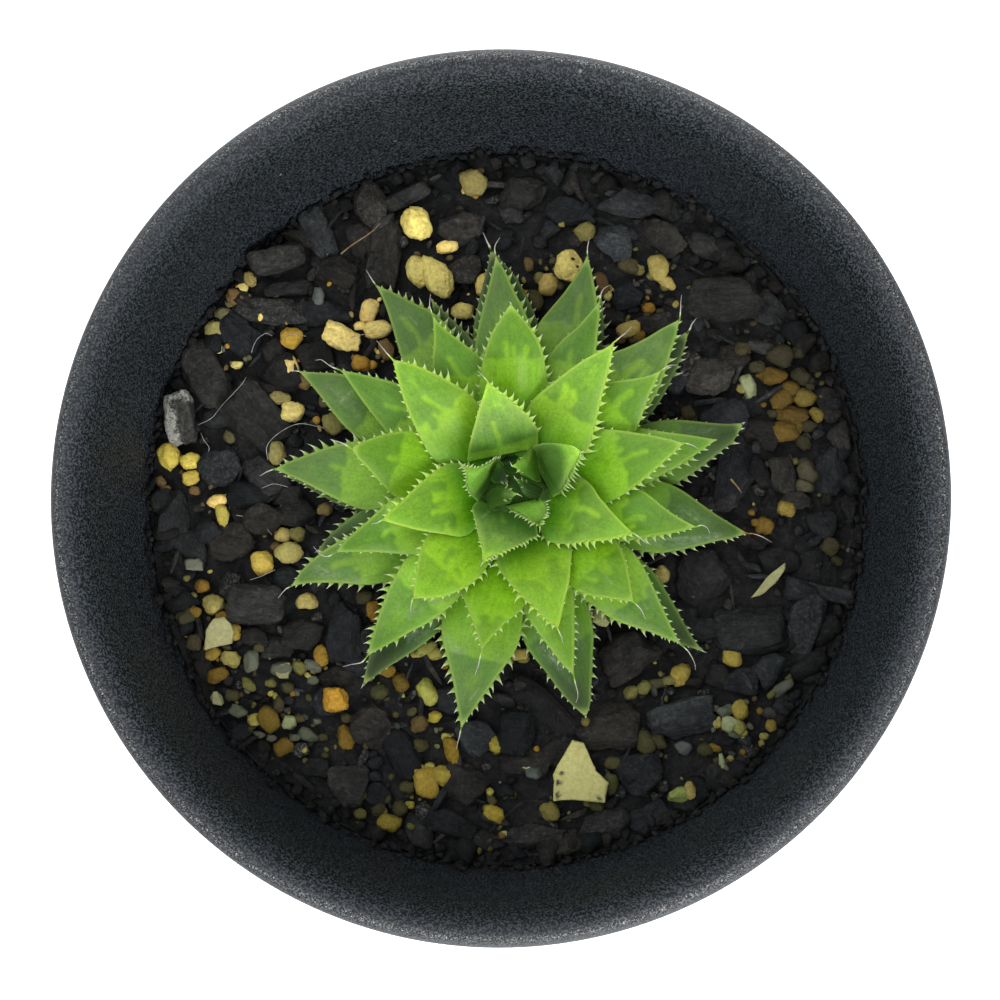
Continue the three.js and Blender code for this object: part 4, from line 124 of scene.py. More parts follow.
    'leaf_24': dict(lvl=2.4, y0=9.69, ws=0.5, teeth=(0.65,0.75), bristle=[(7.64,-19.11,67.23),(7.89,-20.13,67.27),(7.64,-20.88,67.3)],
        marks=[('finger',[(1.28,9.39),(1.15,10.98)],0.31,0.6), ('lite',[(0.52,13.7),(0.03,15.83)],0.73,0.4)],
        st=[(4.86,-2.82,62.18,0.51,-4.16,62.15,0.53,0.23),(5.46,-4.42,62.84,0.94,-5.83,62.83,0.56,0.24),(6.13,-5.97,63.48,1.28,-7.5,63.47,0.73,0.26),(6.78,-7.48,64.09,1.62,-9.14,64.08,1.1,0.27),(7.29,-9.05,64.65,2.02,-10.68,64.64,1.46,0.28),(7.46,-10.76,65.16,2.64,-12.03,65.15,1.81,0.25),(7.47,-12.35,65.62,3.57,-13.38,65.61,1.89,0.2),(7.48,-13.94,66.03,4.49,-14.64,66.03,1.48,0.15),(7.46,-15.43,66.4,5.43,-15.87,66.4,1.06,0.1),(7.44,-16.78,66.75,6.38,-17.08,66.75,0.65,0.06),(7.39,-18.01,67.08,7.39,-18.01,67.08,0.18,0)]),
    'leaf_25': dict(lvl=2.3, y0=9.34, ws=1, teeth=(0.45,0.95), bristle=[(-17.74,-5.95,66.85),(-18.56,-5.71,66.88),(-19.25,-4.94,66.91)],
        marks=[('finger',[(-0.07,8.65),(0,9.54),(-0.22,10.22)],0.29,0.9), ('finger',[(-1.47,8.36),(-1.35,9.05)],0.31,0.7), ('pool',[(0.62,8.85),(0.61,7.96)],0.36,1), ('pool',[(-0.64,10.79),(-0.87,9.54)],0.36,0.8), ('frost',[(-1.03,11.83),(-2.03,10.12),(-2.64,8.36)],0.31,0.7), ('line',[(0,9.93),(0.07,8.75)],0.07,0.6)],
        st=[(-2.18,-2.71,62.46,-3.26,1.67,63.02,0.53,0.23),(-3.74,-3.33,62.99,-4.9,1.42,63.33,0.56,0.25),(-5.25,-4.07,63.52,-6.56,1.3,63.72,0.72,0.28),(-6.73,-4.8,64.03,-8.19,1.19,64.15,1.08,0.31),(-8.18,-5.4,64.51,-9.77,0.91,64.59,1.43,0.33),(-9.58,-5.59,64.96,-11.29,0.02,65.01,1.77,0.3),(-11.21,-5.53,65.37,-12.53,-1.04,65.41,2.06,0.24),(-12.77,-5.43,65.75,-13.73,-2.23,65.77,1.59,0.17),(-14.25,-5.42,66.08,-14.91,-3.29,66.1,1.12,0.11),(-15.6,-5.43,66.39,-16.02,-4.38,66.4,0.66,0.06),(-16.86,-5.45,66.69,-16.86,-5.45,66.69,0.18,0)]),
    'leaf_26': dict(lvl=2.3, y0=10.49, ws=1, teeth=(0.25,0.75), bristle=[(10.3,20.95,66.85),(10.66,21.64,66.88),(11.25,21.89,66.91)],
        marks=[('finger',[(-0.06,10.16),(-0.23,11.27),(-0.42,11.92)],0.27,1), ('finger',[(-1.28,9.93),(-1.3,10.6)],0.31,0.6), ('lite',[(-0.37,9.03),(0.73,9.93)],0.83,0.4)],
        st=[(1.09,5.37,62.81,5.26,3.51,63.07,0.53,0.23),(1.82,6.96,63.45,6.11,5.37,63.53,0.56,0.23),(2.52,8.56,63.8,6.94,7.21,63.89,0.82,0.23),(3.23,10.12,64.21,7.75,9.03,64.31,1.23,0.23),(3.83,11.76,64.65,8.55,10.73,64.76,1.63,0.24),(4.35,13.45,65.05,9.16,12.43,65.12,2.02,0.25),(5.13,15.05,65.42,9.55,14.13,65.47,2.09,0.23),(6.32,16.43,65.77,9.83,15.82,65.8,1.69,0.18),(7.8,17.63,66.1,9.99,17.47,66.11,1.11,0.11),(9.08,19.01,66.4,10.15,18.86,66.41,0.64,0.06),(10.14,20.19,66.69,10.14,20.19,66.69,0.18,0)]),
    'leaf_27': dict(lvl=2.2, y0=11.06, ws=0.7, teeth=(0.25,0.95), bristle=[(22.15,5.87,66.54)],
        marks=[],
        st=[(4.86,4.06,62.39,6.28,-0.19,61.33,0.53,0.23),(6.66,4.81,62.74,8.09,0.17,62.06,0.57,0.24),(8.4,5.66,63.2,9.89,0.39,62.78,0.83,0.28),(10.13,6.52,63.69,11.66,0.59,63.43,1.24,0.31),(11.84,7.27,64.16,13.37,0.88,64,1.64,0.33),(13.54,7.49,64.61,15.06,1.63,64.51,2.02,0.3),(15.39,7.14,65.02,16.59,2.57,64.95,2.17,0.24),(17.16,6.83,65.39,18.14,3.33,65.34,1.71,0.18),(18.94,6.57,65.72,19.52,4.21,65.69,1.21,0.12),(20.59,6.26,66.03,20.86,5.15,66.02,0.67,0.06),(22.04,5.95,66.32,22.04,5.95,66.32,0.18,0)]),
    'leaf_28': dict(lvl=2.1, y0=10.03, ws=1, teeth=(0.25,0.85), bristle=[(-17.54,13.76,66.09),(-18.58,14.46,66.12),(-19.19,14.46,66.15)],
        marks=[('finger',[(0.75,9.57),(0.32,10.61),(-0.12,11.51),(-0.32,12.3)],0.23,0.9), ('pool',[(-0.27,9.92),(-0.06,10.61)],0.36,1)],
        st=[(-3.46,1.22,62.26,-0.83,4.94,62.26,0.53,0.23),(-5.15,2.3,62.72,-2.34,6.09,62.66,0.57,0.24),(-6.86,3.32,63.13,-3.78,7.27,63.07,0.86,0.25),(-8.55,4.33,63.55,-5.2,8.42,63.51,1.28,0.27),(-10.12,5.36,63.98,-6.64,9.57,63.95,1.7,0.28),(-11.43,6.46,64.38,-8.18,10.77,64.36,2.1,0.27),(-12.52,7.87,64.75,-9.83,11.67,64.74,2.15,0.23),(-13.66,9.3,65.09,-11.49,12.31,65.08,1.75,0.19),(-14.7,10.7,65.39,-13.31,12.71,65.39,1.21,0.12),(-15.68,12.12,65.67,-14.97,13.11,65.67,0.69,0.06),(-16.52,13.35,65.93,-16.52,13.35,65.93,0.18,0)]),
    'leaf_29': dict(lvl=2, y0=10.23, ws=0.8, teeth=(0.85,1.25), bristle=[(-14.33,-16.78,65.71),(-15.19,-16.96,65.74),(-16.22,-17.21,65.78)],
        marks=[('finger',[(1.08,10.12),(1.09,10.94)],0.31,0.5), ('frost',[(-2.77,7.6),(-2.11,9.29),(-1.32,10.82),(-0.71,12.66)],0.48,1), ('frost',[(2.3,12.99),(1.64,15.08)],0.52,0.3), ('line',[(0.75,12.32),(0.83,13.44)],0.08,0.5), ('line',[(-0.52,10.59),(-1.2,9.52)],0.09,0.8)],
        st=[(-0.21,-4.17,61.11,-3.36,-0.91,61.77,0.53,0.23),(-1.41,-5.68,61.8,-4.97,-2.24,62.21,0.57,0.25),(-2.42,-7.3,62.42,-6.73,-3.42,62.68,0.91,0.29),(-3.47,-8.8,62.99,-8.41,-4.66,63.16,1.34,0.32),(-4.69,-10.2,63.5,-9.88,-5.95,63.61,1.76,0.34),(-6.11,-11.59,63.95,-10.78,-7.47,64.02,2.17,0.31),(-7.67,-12.67,64.35,-11.63,-9.13,64.4,2.21,0.27),(-9.23,-13.5,64.7,-12.33,-11.02,64.73,1.86,0.2),(-10.74,-14.4,65.01,-12.89,-12.83,65.03,1.3,0.13),(-12.26,-15.21,65.29,-13.37,-14.57,65.3,0.72,0.07),(-13.67,-16.01,65.56,-13.67,-16.01,65.56,0.18,0)]),
    'leaf_30': dict(lvl=1.9, y0=11.84, ws=1, teeth=(0.6,0.85), bristle=[(19.13,-15.7,65.36),(19.63,-16.55,65.39),(19.88,-17.57,65.43)],
        marks=[('finger',[(-2.1,9.94),(-1.76,11.37),(-1.26,12.65)],0.31,0.9), ('finger',[(-0.6,11.14),(-0.46,12.42)],0.31,0.7), ('frost',[(2.97,10.06),(1.98,12.07),(1.51,14.24),(0.97,16.29)],0.47,0.8), ('frost',[(-2.32,12.07),(-1.66,13.68)],0.52,0.4), ('line',[(-0.93,12.31),(-0.44,13.9)],0.08,0.5)],
        st=[(6.35,-0.63,61.28,3.4,-4.11,61.28,0.53,0.23),(8.05,-1.85,61.83,4.79,-5.58,61.83,0.57,0.25),(9.87,-2.91,62.36,6.01,-7.17,62.36,0.94,0.29),(11.6,-4.02,62.86,7.26,-8.66,62.86,1.38,0.32),(13.35,-5.16,63.32,8.4,-10.1,63.32,1.81,0.35),(14.55,-6.91,63.74,9.79,-11.14,63.74,2.23,0.32),(15.41,-8.57,64.1,11.38,-12.26,64.1,2.22,0.28),(16.17,-10.33,64.42,13.23,-12.98,64.42,1.85,0.2),(16.91,-12.03,64.71,15.08,-13.57,64.71,1.19,0.12),(17.57,-13.5,64.96,16.88,-14.27,64.96,0.62,0.05),(18.29,-14.84,65.21,18.29,-14.84,65.21,0.18,0)]),
    'leaf_31': dict(lvl=1.4, y0=11.95, ws=1, teeth=(0.2,0.95), bristle=[(18.61,20.02,63.59),(18.71,21.4,63.64)],
        marks=[('finger',[(-0.08,11.3),(-0.56,12.72),(-0.19,14.37)],0.47,0.9), ('finger',[(0.78,13.11),(0.7,14.5)],0.26,0.7), ('frost',[(-1.16,15.49),(0.11,17.06)],0.83,0.3), ('frost',[(0.37,13.61),(1.56,13.49)],0.62,0.4), ('line',[(-1.32,12.08),(-1.06,13.36),(-0.18,14.87)],0.08,0.6), ('line',[(1.19,13.49),(1.1,14.99)],0.07,0.5)],
        st=[(3.11,5.39,62.31,6.37,2.34,60.81,0.53,0.22),(4.54,7.08,62.48,8.05,3.82,61.28,0.58,0.24),(5.88,8.81,62.67,9.78,5.22,61.78,1.05,0.27),(7.15,10.55,62.98,11.54,6.54,62.26,1.53,0.3),(8.45,12.24,63.07,13.23,7.92,62.6,2,0.32),(9.81,13.87,63.23,14.74,9.33,62.92,2.47,0.34),(11.29,15.26,63.26,15.97,11.06,63.06,2.32,0.32),(13.12,16,63.31,16.87,13.28,63.17,2.03,0.23),(14.97,16.9,63.35,17.52,15.36,63.27,1.44,0.15),(16.72,17.94,63.39,18.1,17.2,63.35,0.84,0.08),(18.44,18.81,63.42,18.44,18.81,63.42,0.18,0)]),
    'leaf_32': dict(lvl=1.3, y0=11.25, ws=1, teeth=(0.65,1.05), bristle=[(-0.76,26.67,63.22),(-0.23,27.67,63.27)],
        marks=[('frost',[(-0.51,16.17),(-0.23,14.53)],0.83,0.25)],
        st=[(-1.14,5.05,61.63,3.43,5.35,61.72,0.53,0.23),(-1.48,7.21,62.08,3.48,7.61,62.08,0.58,0.25),(-2.03,9.32,62.48,3.74,9.86,62.57,1.04,0.29),(-2.48,11.39,62.98,3.92,12.05,63.17,1.52,0.32),(-2.81,13.4,63.29,3.8,14.3,63.39,1.99,0.34),(-2.86,15.4,63.27,3.45,16.57,63.4,2.46,0.32),(-2.6,17.57,63.19,2.83,18.61,63.27,2.34,0.28),(-2.1,19.81,63.13,2.02,20.48,63.19,1.95,0.21),(-1.54,21.94,63.1,1.1,22.32,63.13,1.31,0.14),(-1.05,23.9,63.08,0.28,24.12,63.09,0.75,0.07),(-0.66,25.64,63.05,-0.66,25.64,63.05,0.18,0)]),
    'leaf_33': dict(lvl=1.2, y0=13.49, ws=1, teeth=(0.55,1.2), bristle=[(-24.5,3.2,62.87),(-25.33,2.74,62.92)],
        marks=[('finger',[(0.17,12.31),(0.31,13.36),(0.43,14.27),(0.52,14.92)],0.31,1), ('frost',[(0.76,16.31),(2.02,14.14)],0.83,0.25)],
        st=[(-3.65,-0.92,61.23,-2.84,3.58,61.38,0.54,0.23),(-5.83,-0.75,61.74,-5.1,4.18,61.61,0.59,0.25),(-7.99,-0.74,62.22,-7.33,4.92,61.93,1.08,0.29),(-10.09,-0.73,62.77,-9.53,5.64,62.3,1.56,0.32),(-12.18,-0.72,63.22,-11.71,6.2,62.61,2.04,0.35),(-14.38,-0.84,63.12,-13.82,6.37,62.73,2.5,0.36),(-16.47,-0.12,63.07,-15.91,6.22,62.82,2.34,0.32),(-18.45,0.87,62.95,-18.03,5.75,62.8,2.05,0.25),(-20.33,1.84,62.86,-20.14,5.02,62.77,1.53,0.16),(-22.18,2.76,62.78,-22.09,4.28,62.74,0.82,0.08),(-23.79,3.45,62.7,-23.79,3.45,62.7,0.18,0)]),
    'leaf_34': dict(lvl=1, y0=12.48, ws=1, teeth=(1.15,1.25), bristle=[(-4.52,-24.53,62.21),(-4.83,-25.66,62.26)],
        marks=[('frost',[(3.68,10.98),(2.82,11.61),(1.65,11.99)],0.52,0.8), ('frost',[(-1.91,11.99),(-2.42,12.73)],0.42,0.5), ('line',[(3.27,11.36),(2.15,11.73)],0.08,0.9), ('line',[(2.73,12.11),(1.56,12.36)],0.07,0.8), ('line',[(-0.21,17.02),(-0.76,15.87)],0.08,0.5)],
        st=[(2.29,-4.79,60.19,-2.13,-3.47,59.84,0.54,0.23),(2.02,-6.87,60.5,-3.05,-5.62,60.24,0.61,0.26),(2.06,-8.95,60.82,-4.24,-7.7,60.64,1.09,0.32),(2.01,-10.93,61.11,-5.35,-9.81,60.99,1.56,0.38),(1.98,-13,61.34,-6.24,-11.81,61.29,2.02,0.42),(1.49,-14.96,61.53,-6.33,-13.91,61.5,2.47,0.4),(0.39,-16.8,61.69,-5.81,-16.02,61.67,2.29,0.31),(-0.9,-18.61,61.81,-5.27,-18.04,61.8,1.99,0.22),(-2.11,-20.3,61.91,-4.89,-20.01,61.9,1.36,0.14),(-3.32,-22.01,61.98,-4.56,-21.74,61.98,0.72,0.06),(-4.27,-23.4,62.04,-4.27,-23.4,62.04,0.18,0)]),
    'leaf_35': dict(lvl=1, y0=13.46, ws=1, teeth=(1,1.05), bristle=[(-22.72,-9.16,62.19),(-23.41,-10.03,62.24)],
        marks=[('finger',[(-0.06,13.84),(0,14.74),(-0.1,15.74)],0.38,1), ('finger',[(-0.74,12.55),(-0.76,13.58)],0.31,0.6), ('pool',[(1.03,15.87),(0.87,14.86)],0.47,1), ('pool',[(-0.98,14.86),(-1.4,13.97)],0.52,1), ('frost',[(-0.06,17.58),(-0.83,16.24),(-1.56,14.99),(-2.22,13.58)],0.57,0.95), ('frost',[(1.65,13.07),(0.21,12.03)],0.62,0.3), ('line',[(0.35,17.22),(-0.53,16.61)],0.08,0.6)],
        st=[(-1.98,-3.62,60.5,-3.92,0.57,60.35,0.54,0.23),(-4.19,-4.7,60.76,-5.79,-0.29,60.83,0.61,0.24),(-6.36,-5.83,61.15,-7.61,-1.12,61.56,1.11,0.24),(-8.52,-6.9,61.45,-9.39,-1.95,62.06,1.59,0.25),(-10.4,-7.77,61.67,-11.59,-2.48,62.34,2.07,0.27),(-12.39,-8.36,61.83,-13.72,-2.96,62.4,2.5,0.28),(-14.42,-8.62,61.92,-15.77,-3.6,62.35,2.33,0.26),(-16.49,-8.43,61.97,-17.73,-4.49,62.25,1.93,0.21),(-18.6,-8.36,62,-19.41,-5.66,62.16,1.37,0.14),(-20.52,-8.43,62.01,-20.91,-7.1,62.09,0.76,0.07),(-22.04,-8.72,62.02,-22.04,-8.72,62.02,0.18,0)]),
    'leaf_36': dict(lvl=0.9, y0=13.03, ws=1.1, teeth=(0.35,0.55), bristle=[(-22.18,13.97,62.09)],
        marks=[('frost',[(-0.53,16.5),(-0.43,15.18)],0.94,0.5), ('frost',[(-0.34,18.17),(-0.3,16.89)],0.62,0.4), ('line',[(-1.15,16.24),(-0.06,16.11),(0.86,15.85)],0.08,0.8), ('line',[(-0.89,16.11),(0.23,15.71)],0.06,0.6), ('line',[(-0.59,16.89),(0.2,16.76)],0.06,0.5)],
        st=[(-3.92,0.9,60.29,-1.71,4.98,59.65,0.54,0.23),(-6.11,2.04,60.5,-3.63,6.12,60.05,0.64,0.24),(-8.3,3.15,60.65,-5.5,7.27,60.4,1.15,0.25),(-10.48,4.22,60.84,-7.32,8.42,60.73,1.66,0.27),(-12.62,5.31,61.07,-9.13,9.53,61.01,2.16,0.28),(-14.5,6.36,61.27,-11.01,10.87,61.25,2.5,0.29),(-16.12,7.59,61.45,-12.99,12.09,61.44,2.37,0.28),(-17.58,9.18,61.59,-14.99,12.99,61.59,2.08,0.23),(-18.9,10.92,61.7,-17.11,13.56,61.7,1.53,0.16),(-20.22,12.54,61.79,-19.3,13.69,61.79,0.8,0.07),(-21.33,13.81,61.87,-21.33,13.81,61.87,0.18,0)]),
    'leaf_37': dict(lvl=0.9, y0=14.33, ws=1, teeth=(0.3,1.15), bristle=[(-13.98,23.83,61.97),(-14.38,24.54,62.02)],
        marks=[('finger',[(-0.61,13.76),(-0.2,15.59),(-0.32,16.98),(-0.44,17.79)],0.33,0.9), ('frost',[(0.61,17.79),(0.03,19.51)],0.62,0.35), ('line',[(-0.44,17.79),(0.34,17.38),(0.42,16.29)],0.08,0.5)],
        st=[(-3.08,3.37,60.81,0.78,5.87,60.41,0.54,0.23),(-4.43,5.25,61.18,-0.41,7.97,61.12,0.63,0.24),(-5.84,7.03,61.64,-1.5,10.12,61.72,1.14,0.27),(-7.23,8.77,62.14,-2.57,12.23,62.38,1.65,0.29),(-8.52,10.53,62.48,-3.66,14.35,62.78,2.15,0.31),(-9.63,12.4,62.51,-4.71,16.52,62.84,2.5,0.32),(-10.42,14.66,62.39,-5.78,18.4,62.67,2.41,0.3),(-11.09,16.81,62.22,-7.5,20.01,62.4,2.13,0.24),(-11.79,19.22,62.07,-9.47,21,62.18,1.42,0.15),(-12.53,21.27,61.93,-11.41,22.06,61.98,0.76,0.07),(-13.29,22.89,61.8,-13.29,22.89,61.8,0.18,0)]),
    'leaf_38': dict(lvl=0.9, y0=14.39, ws=1, teeth=(0.15,0.75), bristle=[(8.91,26.51,61.98),(9.1,27.82,62.03)],
        marks=[('finger',[(0.85,14.11),(0.59,15.74),(0.29,17.33)],0.31,0.9), ('finger',[(-0.31,13.98),(-0.49,15.07)],0.31,0.5), ('frost',[(-1.02,14.8),(0.56,13.57)],0.94,0.5), ('frost',[(0.14,19.13),(-0.19,18.11)],0.73,0.2)],
        st=[(0.77,5.82,60.82,5.13,4.42,60.61,0.54,0.23),(1.33,8.03,60.96,6.03,6.67,61.07,0.62,0.25),(1.8,10.2,61.24,6.99,8.88,61.45,1.14,0.27),(2.2,12.35,61.57,8.01,11.04,62.01,1.64,0.3),(2.67,14.42,61.89,8.95,13.2,62.53,2.13,0.32),(3.11,16.49,62.14,9.6,15.41,62.74,2.5,0.33),(3.64,18.38,62.18,9.93,17.85,62.61,2.38,0.32),(4.81,19.99,62.09,9.9,20.42,62.37,2.1,0.26),(6.47,21.98,62,9.66,22.38,62.16,1.54,0.16),(7.91,24.07,61.9,9.33,24.12,61.98,0.78,0.07),(8.91,25.83,61.81,8.91,25.83,61.81,0.18,0)]),
    'leaf_39': dict(lvl=0.6, y0=11, ws=1, teeth=(0.3,0.95), bristle=[(26.14,-3.39,61.46),(27.06,-3.71,61.5),(27.99,-4.29,61.53)],
        marks=[('frost',[(-1.18,12.71),(-0.58,14.95)],0.83,0.55), ('frost',[(3.02,9.01),(2.49,11.37),(1.67,14.6),(0.84,16.21)],0.57,1), ('line',[(-0.87,13.3),(-0.27,14.37)],0.08,0.8), ('line',[(-0.31,12.34),(-0.27,13.3)],0.07,0.6), ('line',[(2.54,9.52),(1.28,14.49)],0.1,0.8)],
        st=[(6.62,2.13,60.34,6.04,-2.43,60.28,0.54,0.23),(8.76,2.08,60.71,8.13,-2.97,60.4,0.61,0.26),(10.89,2.27,60.94,10.16,-3.73,60.59,1.07,0.3),(12.98,2.43,61.19,12.17,-4.46,60.81,1.53,0.35),(15.06,2.41,61.34,14.12,-5.03,60.97,1.9,0.38),(17.05,1.97,61.4,16.07,-5.29,61.1,1.9,0.37),(18.87,1.06,61.38,18.1,-5.08,61.18,1.9,0.31),(20.53,-0.14,61.37,20.18,-4.62,61.24,1.9,0.23),(22.21,-1.34,61.35,22.12,-4.12,61.28,1.36,0.14),(23.89,-2.39,61.33,23.87,-3.76,61.3,0.76,0.07),(25.39,-3.31,61.31,25.39,-3.31,61.31,0.18,0)]),
    'leaf_40': dict(lvl=0.5, y0=10.68, ws=1, teeth=(0.85,0.7), bristle=[(8.62,-22.52,61.37)],
        marks=[('frost',[(2.03,9.7),(1.47,11.65),(0.66,13.43)],0.78,1), ('frost',[(-1.94,9.45),(-1.76,11.41)],0.62,0.8), ('frost',[(0.41,14.24),(0.05,15.27)],0.52,0.4), ('line',[(1.72,11.65),(0.98,13.08)],0.09,1), ('line',[(0.99,11.53),(0.29,12.84)],0.07,0.8), ('dark',[(0.82,13.78),(0.33,16.16),(0.06,18.23)],1.25,0.4)],
        st=[(5.13,-3.49,59.6,0.74,-4.85,59.14,0.54,0.23),(6.03,-5.52,59.87,1.12,-6.85,59.48,0.61,0.26),(7.11,-7.5,60.12,1.3,-8.84,59.78,1.07,0.3),(8.18,-9.47,60.34,1.48,-10.77,60.09,1.52,0.34),(9.01,-11.46,60.55,1.73,-12.66,60.38,1.9,0.37),(9.37,-13.48,60.72,2.2,-14.49,60.61,1.9,0.36),(9.33,-15.59,60.86,3.2,-16.11,60.79,1.9,0.31),(9.24,-17.62,60.97,4.44,-17.65,60.92,1.9,0.24),(9.15,-19.33,61.05,5.72,-19.36,61.02,1.54,0.17),(9.06,-20.93,61.1,7.06,-20.94,61.09,0.98,0.1),(8.6,-22.33,61.15,8.6,-22.33,61.15,0.18,0)]),
    'leaf_41': dict(lvl=0.4, y0=9.88, ws=0.9, teeth=(0.5,1.05), bristle=[(-19.72,-5.24,61.18)],
        marks=[],
        st=[(-3.26,-1.9,59.37,-3.69,1.89,59.41,0.54,0.19),(-4.88,-2.08,59.64,-5.74,1.61,59.84,0.58,0.19),(-6.49,-2.24,59.94,-7.76,1.29,60.37,0.95,0.19),(-8.07,-2.39,60.42,-9.73,0.96,60.95,1.35,0.19),(-9.62,-2.52,60.95,-11.67,0.63,61.39,1.74,0.19),(-11.26,-3.09,60.8,-13.32,-0.06,61.44,1.73,0.18),(-12.94,-3.58,60.66,-14.86,-0.85,61.28,1.59,0.17),(-14.59,-4.13,60.63,-16.25,-1.76,61.17,1.41,0.15),(-16.21,-4.66,60.72,-17.48,-2.8,61.08,1.13,0.11),(-17.94,-4.89,60.85,-18.55,-3.84,61.02,0.7,0.06),(-19.43,-5.02,60.96,-19.43,-5.02,60.96,0.18,0)]),
    'leaf_42': dict(lvl=0.4, y0=13.69, ws=0.9, teeth=(0.35,1.05), bristle=[(25.31,8.3,61.19)],
        marks=[('frost',[(-1.18,14.55),(-0.77,16.71)],0.62,0.4)],
        st=[(5.52,4.09,60.38,6.84,-0.19,58.84,0.54,0.23),(7.55,4.91,60.4,9.04,0.26,59.09,0.62,0.25),(9.51,5.85,60.64,11.26,0.54,59.41,1.11,0.28),(11.44,6.78,60.76,13.45,0.83,59.67,1.58,0.32),(13.35,7.63,60.78,15.59,1.22,59.92,1.9,0.34),(15.25,8.31,60.83,17.63,1.84,60.24,1.9,0.35),(17.23,8.62,60.88,19.49,2.89,60.49,1.9,0.31),(19.37,8.54,60.92,21.15,4.09,60.67,1.9,0.24),(21.48,8.31,60.95,22.73,5.32,60.8,1.55,0.16),(23.63,8.16,60.96,24.09,6.44,60.89,0.93,0.09),(25.14,8.24,60.97,25.14,8.24,60.97,0.18,0)]),
    'leaf_43': dict(lvl=0.35, y0=7.2, ws=0.8, teeth=(0.4,1), bristle=[(-7.6,21.66,61.11)],
        marks=[],
        st=[(-2.48,4.41,58.59,1.66,5.89,60.1,0.54,0.22),(-3.18,6.18,59.07,0.92,7.74,60.11,0.58,0.22),(-3.88,7.92,59.59,0.21,9.5,60.64,0.98,0.22),(-4.57,9.65,59.93,-0.48,11.24,61.18,1.4,0.22),(-5.26,11.38,60.05,-1.18,12.96,61.55,1.81,0.22),(-5.86,13.1,60.12,-1.78,14.75,61.63,1.9,0.22),(-6.5,14.87,60.03,-2.63,16.37,61.37,1.9,0.21),(-7.02,16.6,60.16,-3.81,17.8,61.18,1.63,0.17),(-7.29,18.31,60.38,-5.17,19.12,61.05,1.14,0.11),(-7.31,20,60.65,-6.45,20.41,60.96,0.58,0.05),(-7.51,21.49,60.89,-7.51,21.49,60.89,0.18,0)]),
    'leaf_44': dict(lvl=0.3, y0=8.13, ws=0.8, teeth=(0.6,0.6), bristle=[(21.17,-15.69,61.01)],
        marks=[],
        st=[(6.75,-0.74,58.87,3.86,-4.32,58.52,0.54,0.23),(8.63,-2.09,59.22,5.47,-5.81,58.94,0.64,0.25),(10.58,-3.31,59.55,6.94,-7.38,59.34,1.12,0.28),(12.48,-4.56,59.85,8.41,-8.88,59.71,1.6,0.3),(14.35,-5.95,60.11,9.85,-10.18,60.01,1.9,0.31),(15.82,-7.49,60.32,11.42,-11.48,60.25,1.9,0.3),(16.95,-9.23,60.48,13.28,-12.54,60.44,1.9,0.25),(17.96,-10.98,60.6,15.19,-13.47,60.57,1.75,0.19),(18.89,-12.69,60.68,17.16,-14.27,60.67,1.17,0.12),(19.8,-14.27,60.74,19.04,-14.99,60.73,0.63,0.05),(20.74,-15.5,60.79,20.74,-15.5,60.79,0.18,0)]),
    'leaf_45': dict(lvl=0.3, y0=10.38, ws=0.8, teeth=(0.4,0.9), bristle=[(-14.84,-19.4,61.01)],
        marks=[('frost',[(-1.46,13.25),(-1.86,11.69),(-2.18,10.25)],0.73,1), ('line',[(-0.98,13.38),(-1.44,12.22)],0.09,0.9), ('dark',[(-0.14,18.83),(-0.93,16),(-1.57,13.38)],1.46,0.55)],
        st=[(-0.06,-4.71,58.86,-3.57,-1.67,58.65,0.54,0.23),(-1.48,-6.61,59.16,-5.05,-3.23,59.05,0.64,0.25),(-2.81,-8.57,59.44,-6.59,-4.68,59.42,1.13,0.27),(-4.14,-10.51,59.7,-8.08,-6.09,59.75,1.62,0.3),(-5.55,-12.25,59.96,-9.59,-7.51,60.03,1.9,0.31),(-7.08,-13.67,60.21,-11.08,-9.04,60.26,1.9,0.31),(-8.66,-14.96,60.41,-12.17,-10.91,60.44,1.9,0.27),(-10.32,-16.07,60.55,-13.05,-12.94,60.57,1.9,0.21),(-11.95,-17.09,60.66,-13.72,-15.05,60.67,1.32,0.14),(-13.4,-18.12,60.73,-14.24,-17.15,60.74,0.72,0.07),(-14.62,-19.04,60.79,-14.62,-19.04,60.79,0.18,0)]),
    'leaf_46': dict(lvl=0.3, y0=7.26, ws=0.7, teeth=(0.4,1.05), bristle=[(10.42,21.87,61.1)],
        marks=[('dark',[(0.41,14.32),(0.38,16.62)],1.04,0.4)],
        st=[(1.3,6.02,59.36,5.51,4.24,58.57,0.54,0.23),(2,7.63,59.73,6.4,6.2,59.03,0.58,0.23),(2.68,9.25,59.81,7.27,8.17,59.15,1.01,0.24),(3.34,10.86,59.74,8.14,10.13,59.2,1.44,0.24),(4.03,12.43,59.69,8.97,12.07,59.3,1.86,0.25),(4.71,13.99,59.51,9.77,13.97,59.5,1.9,0.26),(5.47,15.63,59.33,10.15,15.84,59.75,1.9,0.24),(6.57,17.3,59.48,10.5,17.42,60.05,1.84,0.2),(7.99,18.77,59.91,10.56,19,60.35,1.27,0.13),(9.32,20.33,60.41,10.42,20.41,60.62,0.65,0.06),(10.31,21.69,60.88,10.31,21.69,60.88,0.18,0)]),
    'leaf_47': dict(lvl=0.3, y0=8.15, ws=0.8, teeth=(0.4,0.95), bristle=[(19.85,18.65,60.97),(20.34,19.34,61.02)],
        marks=[],
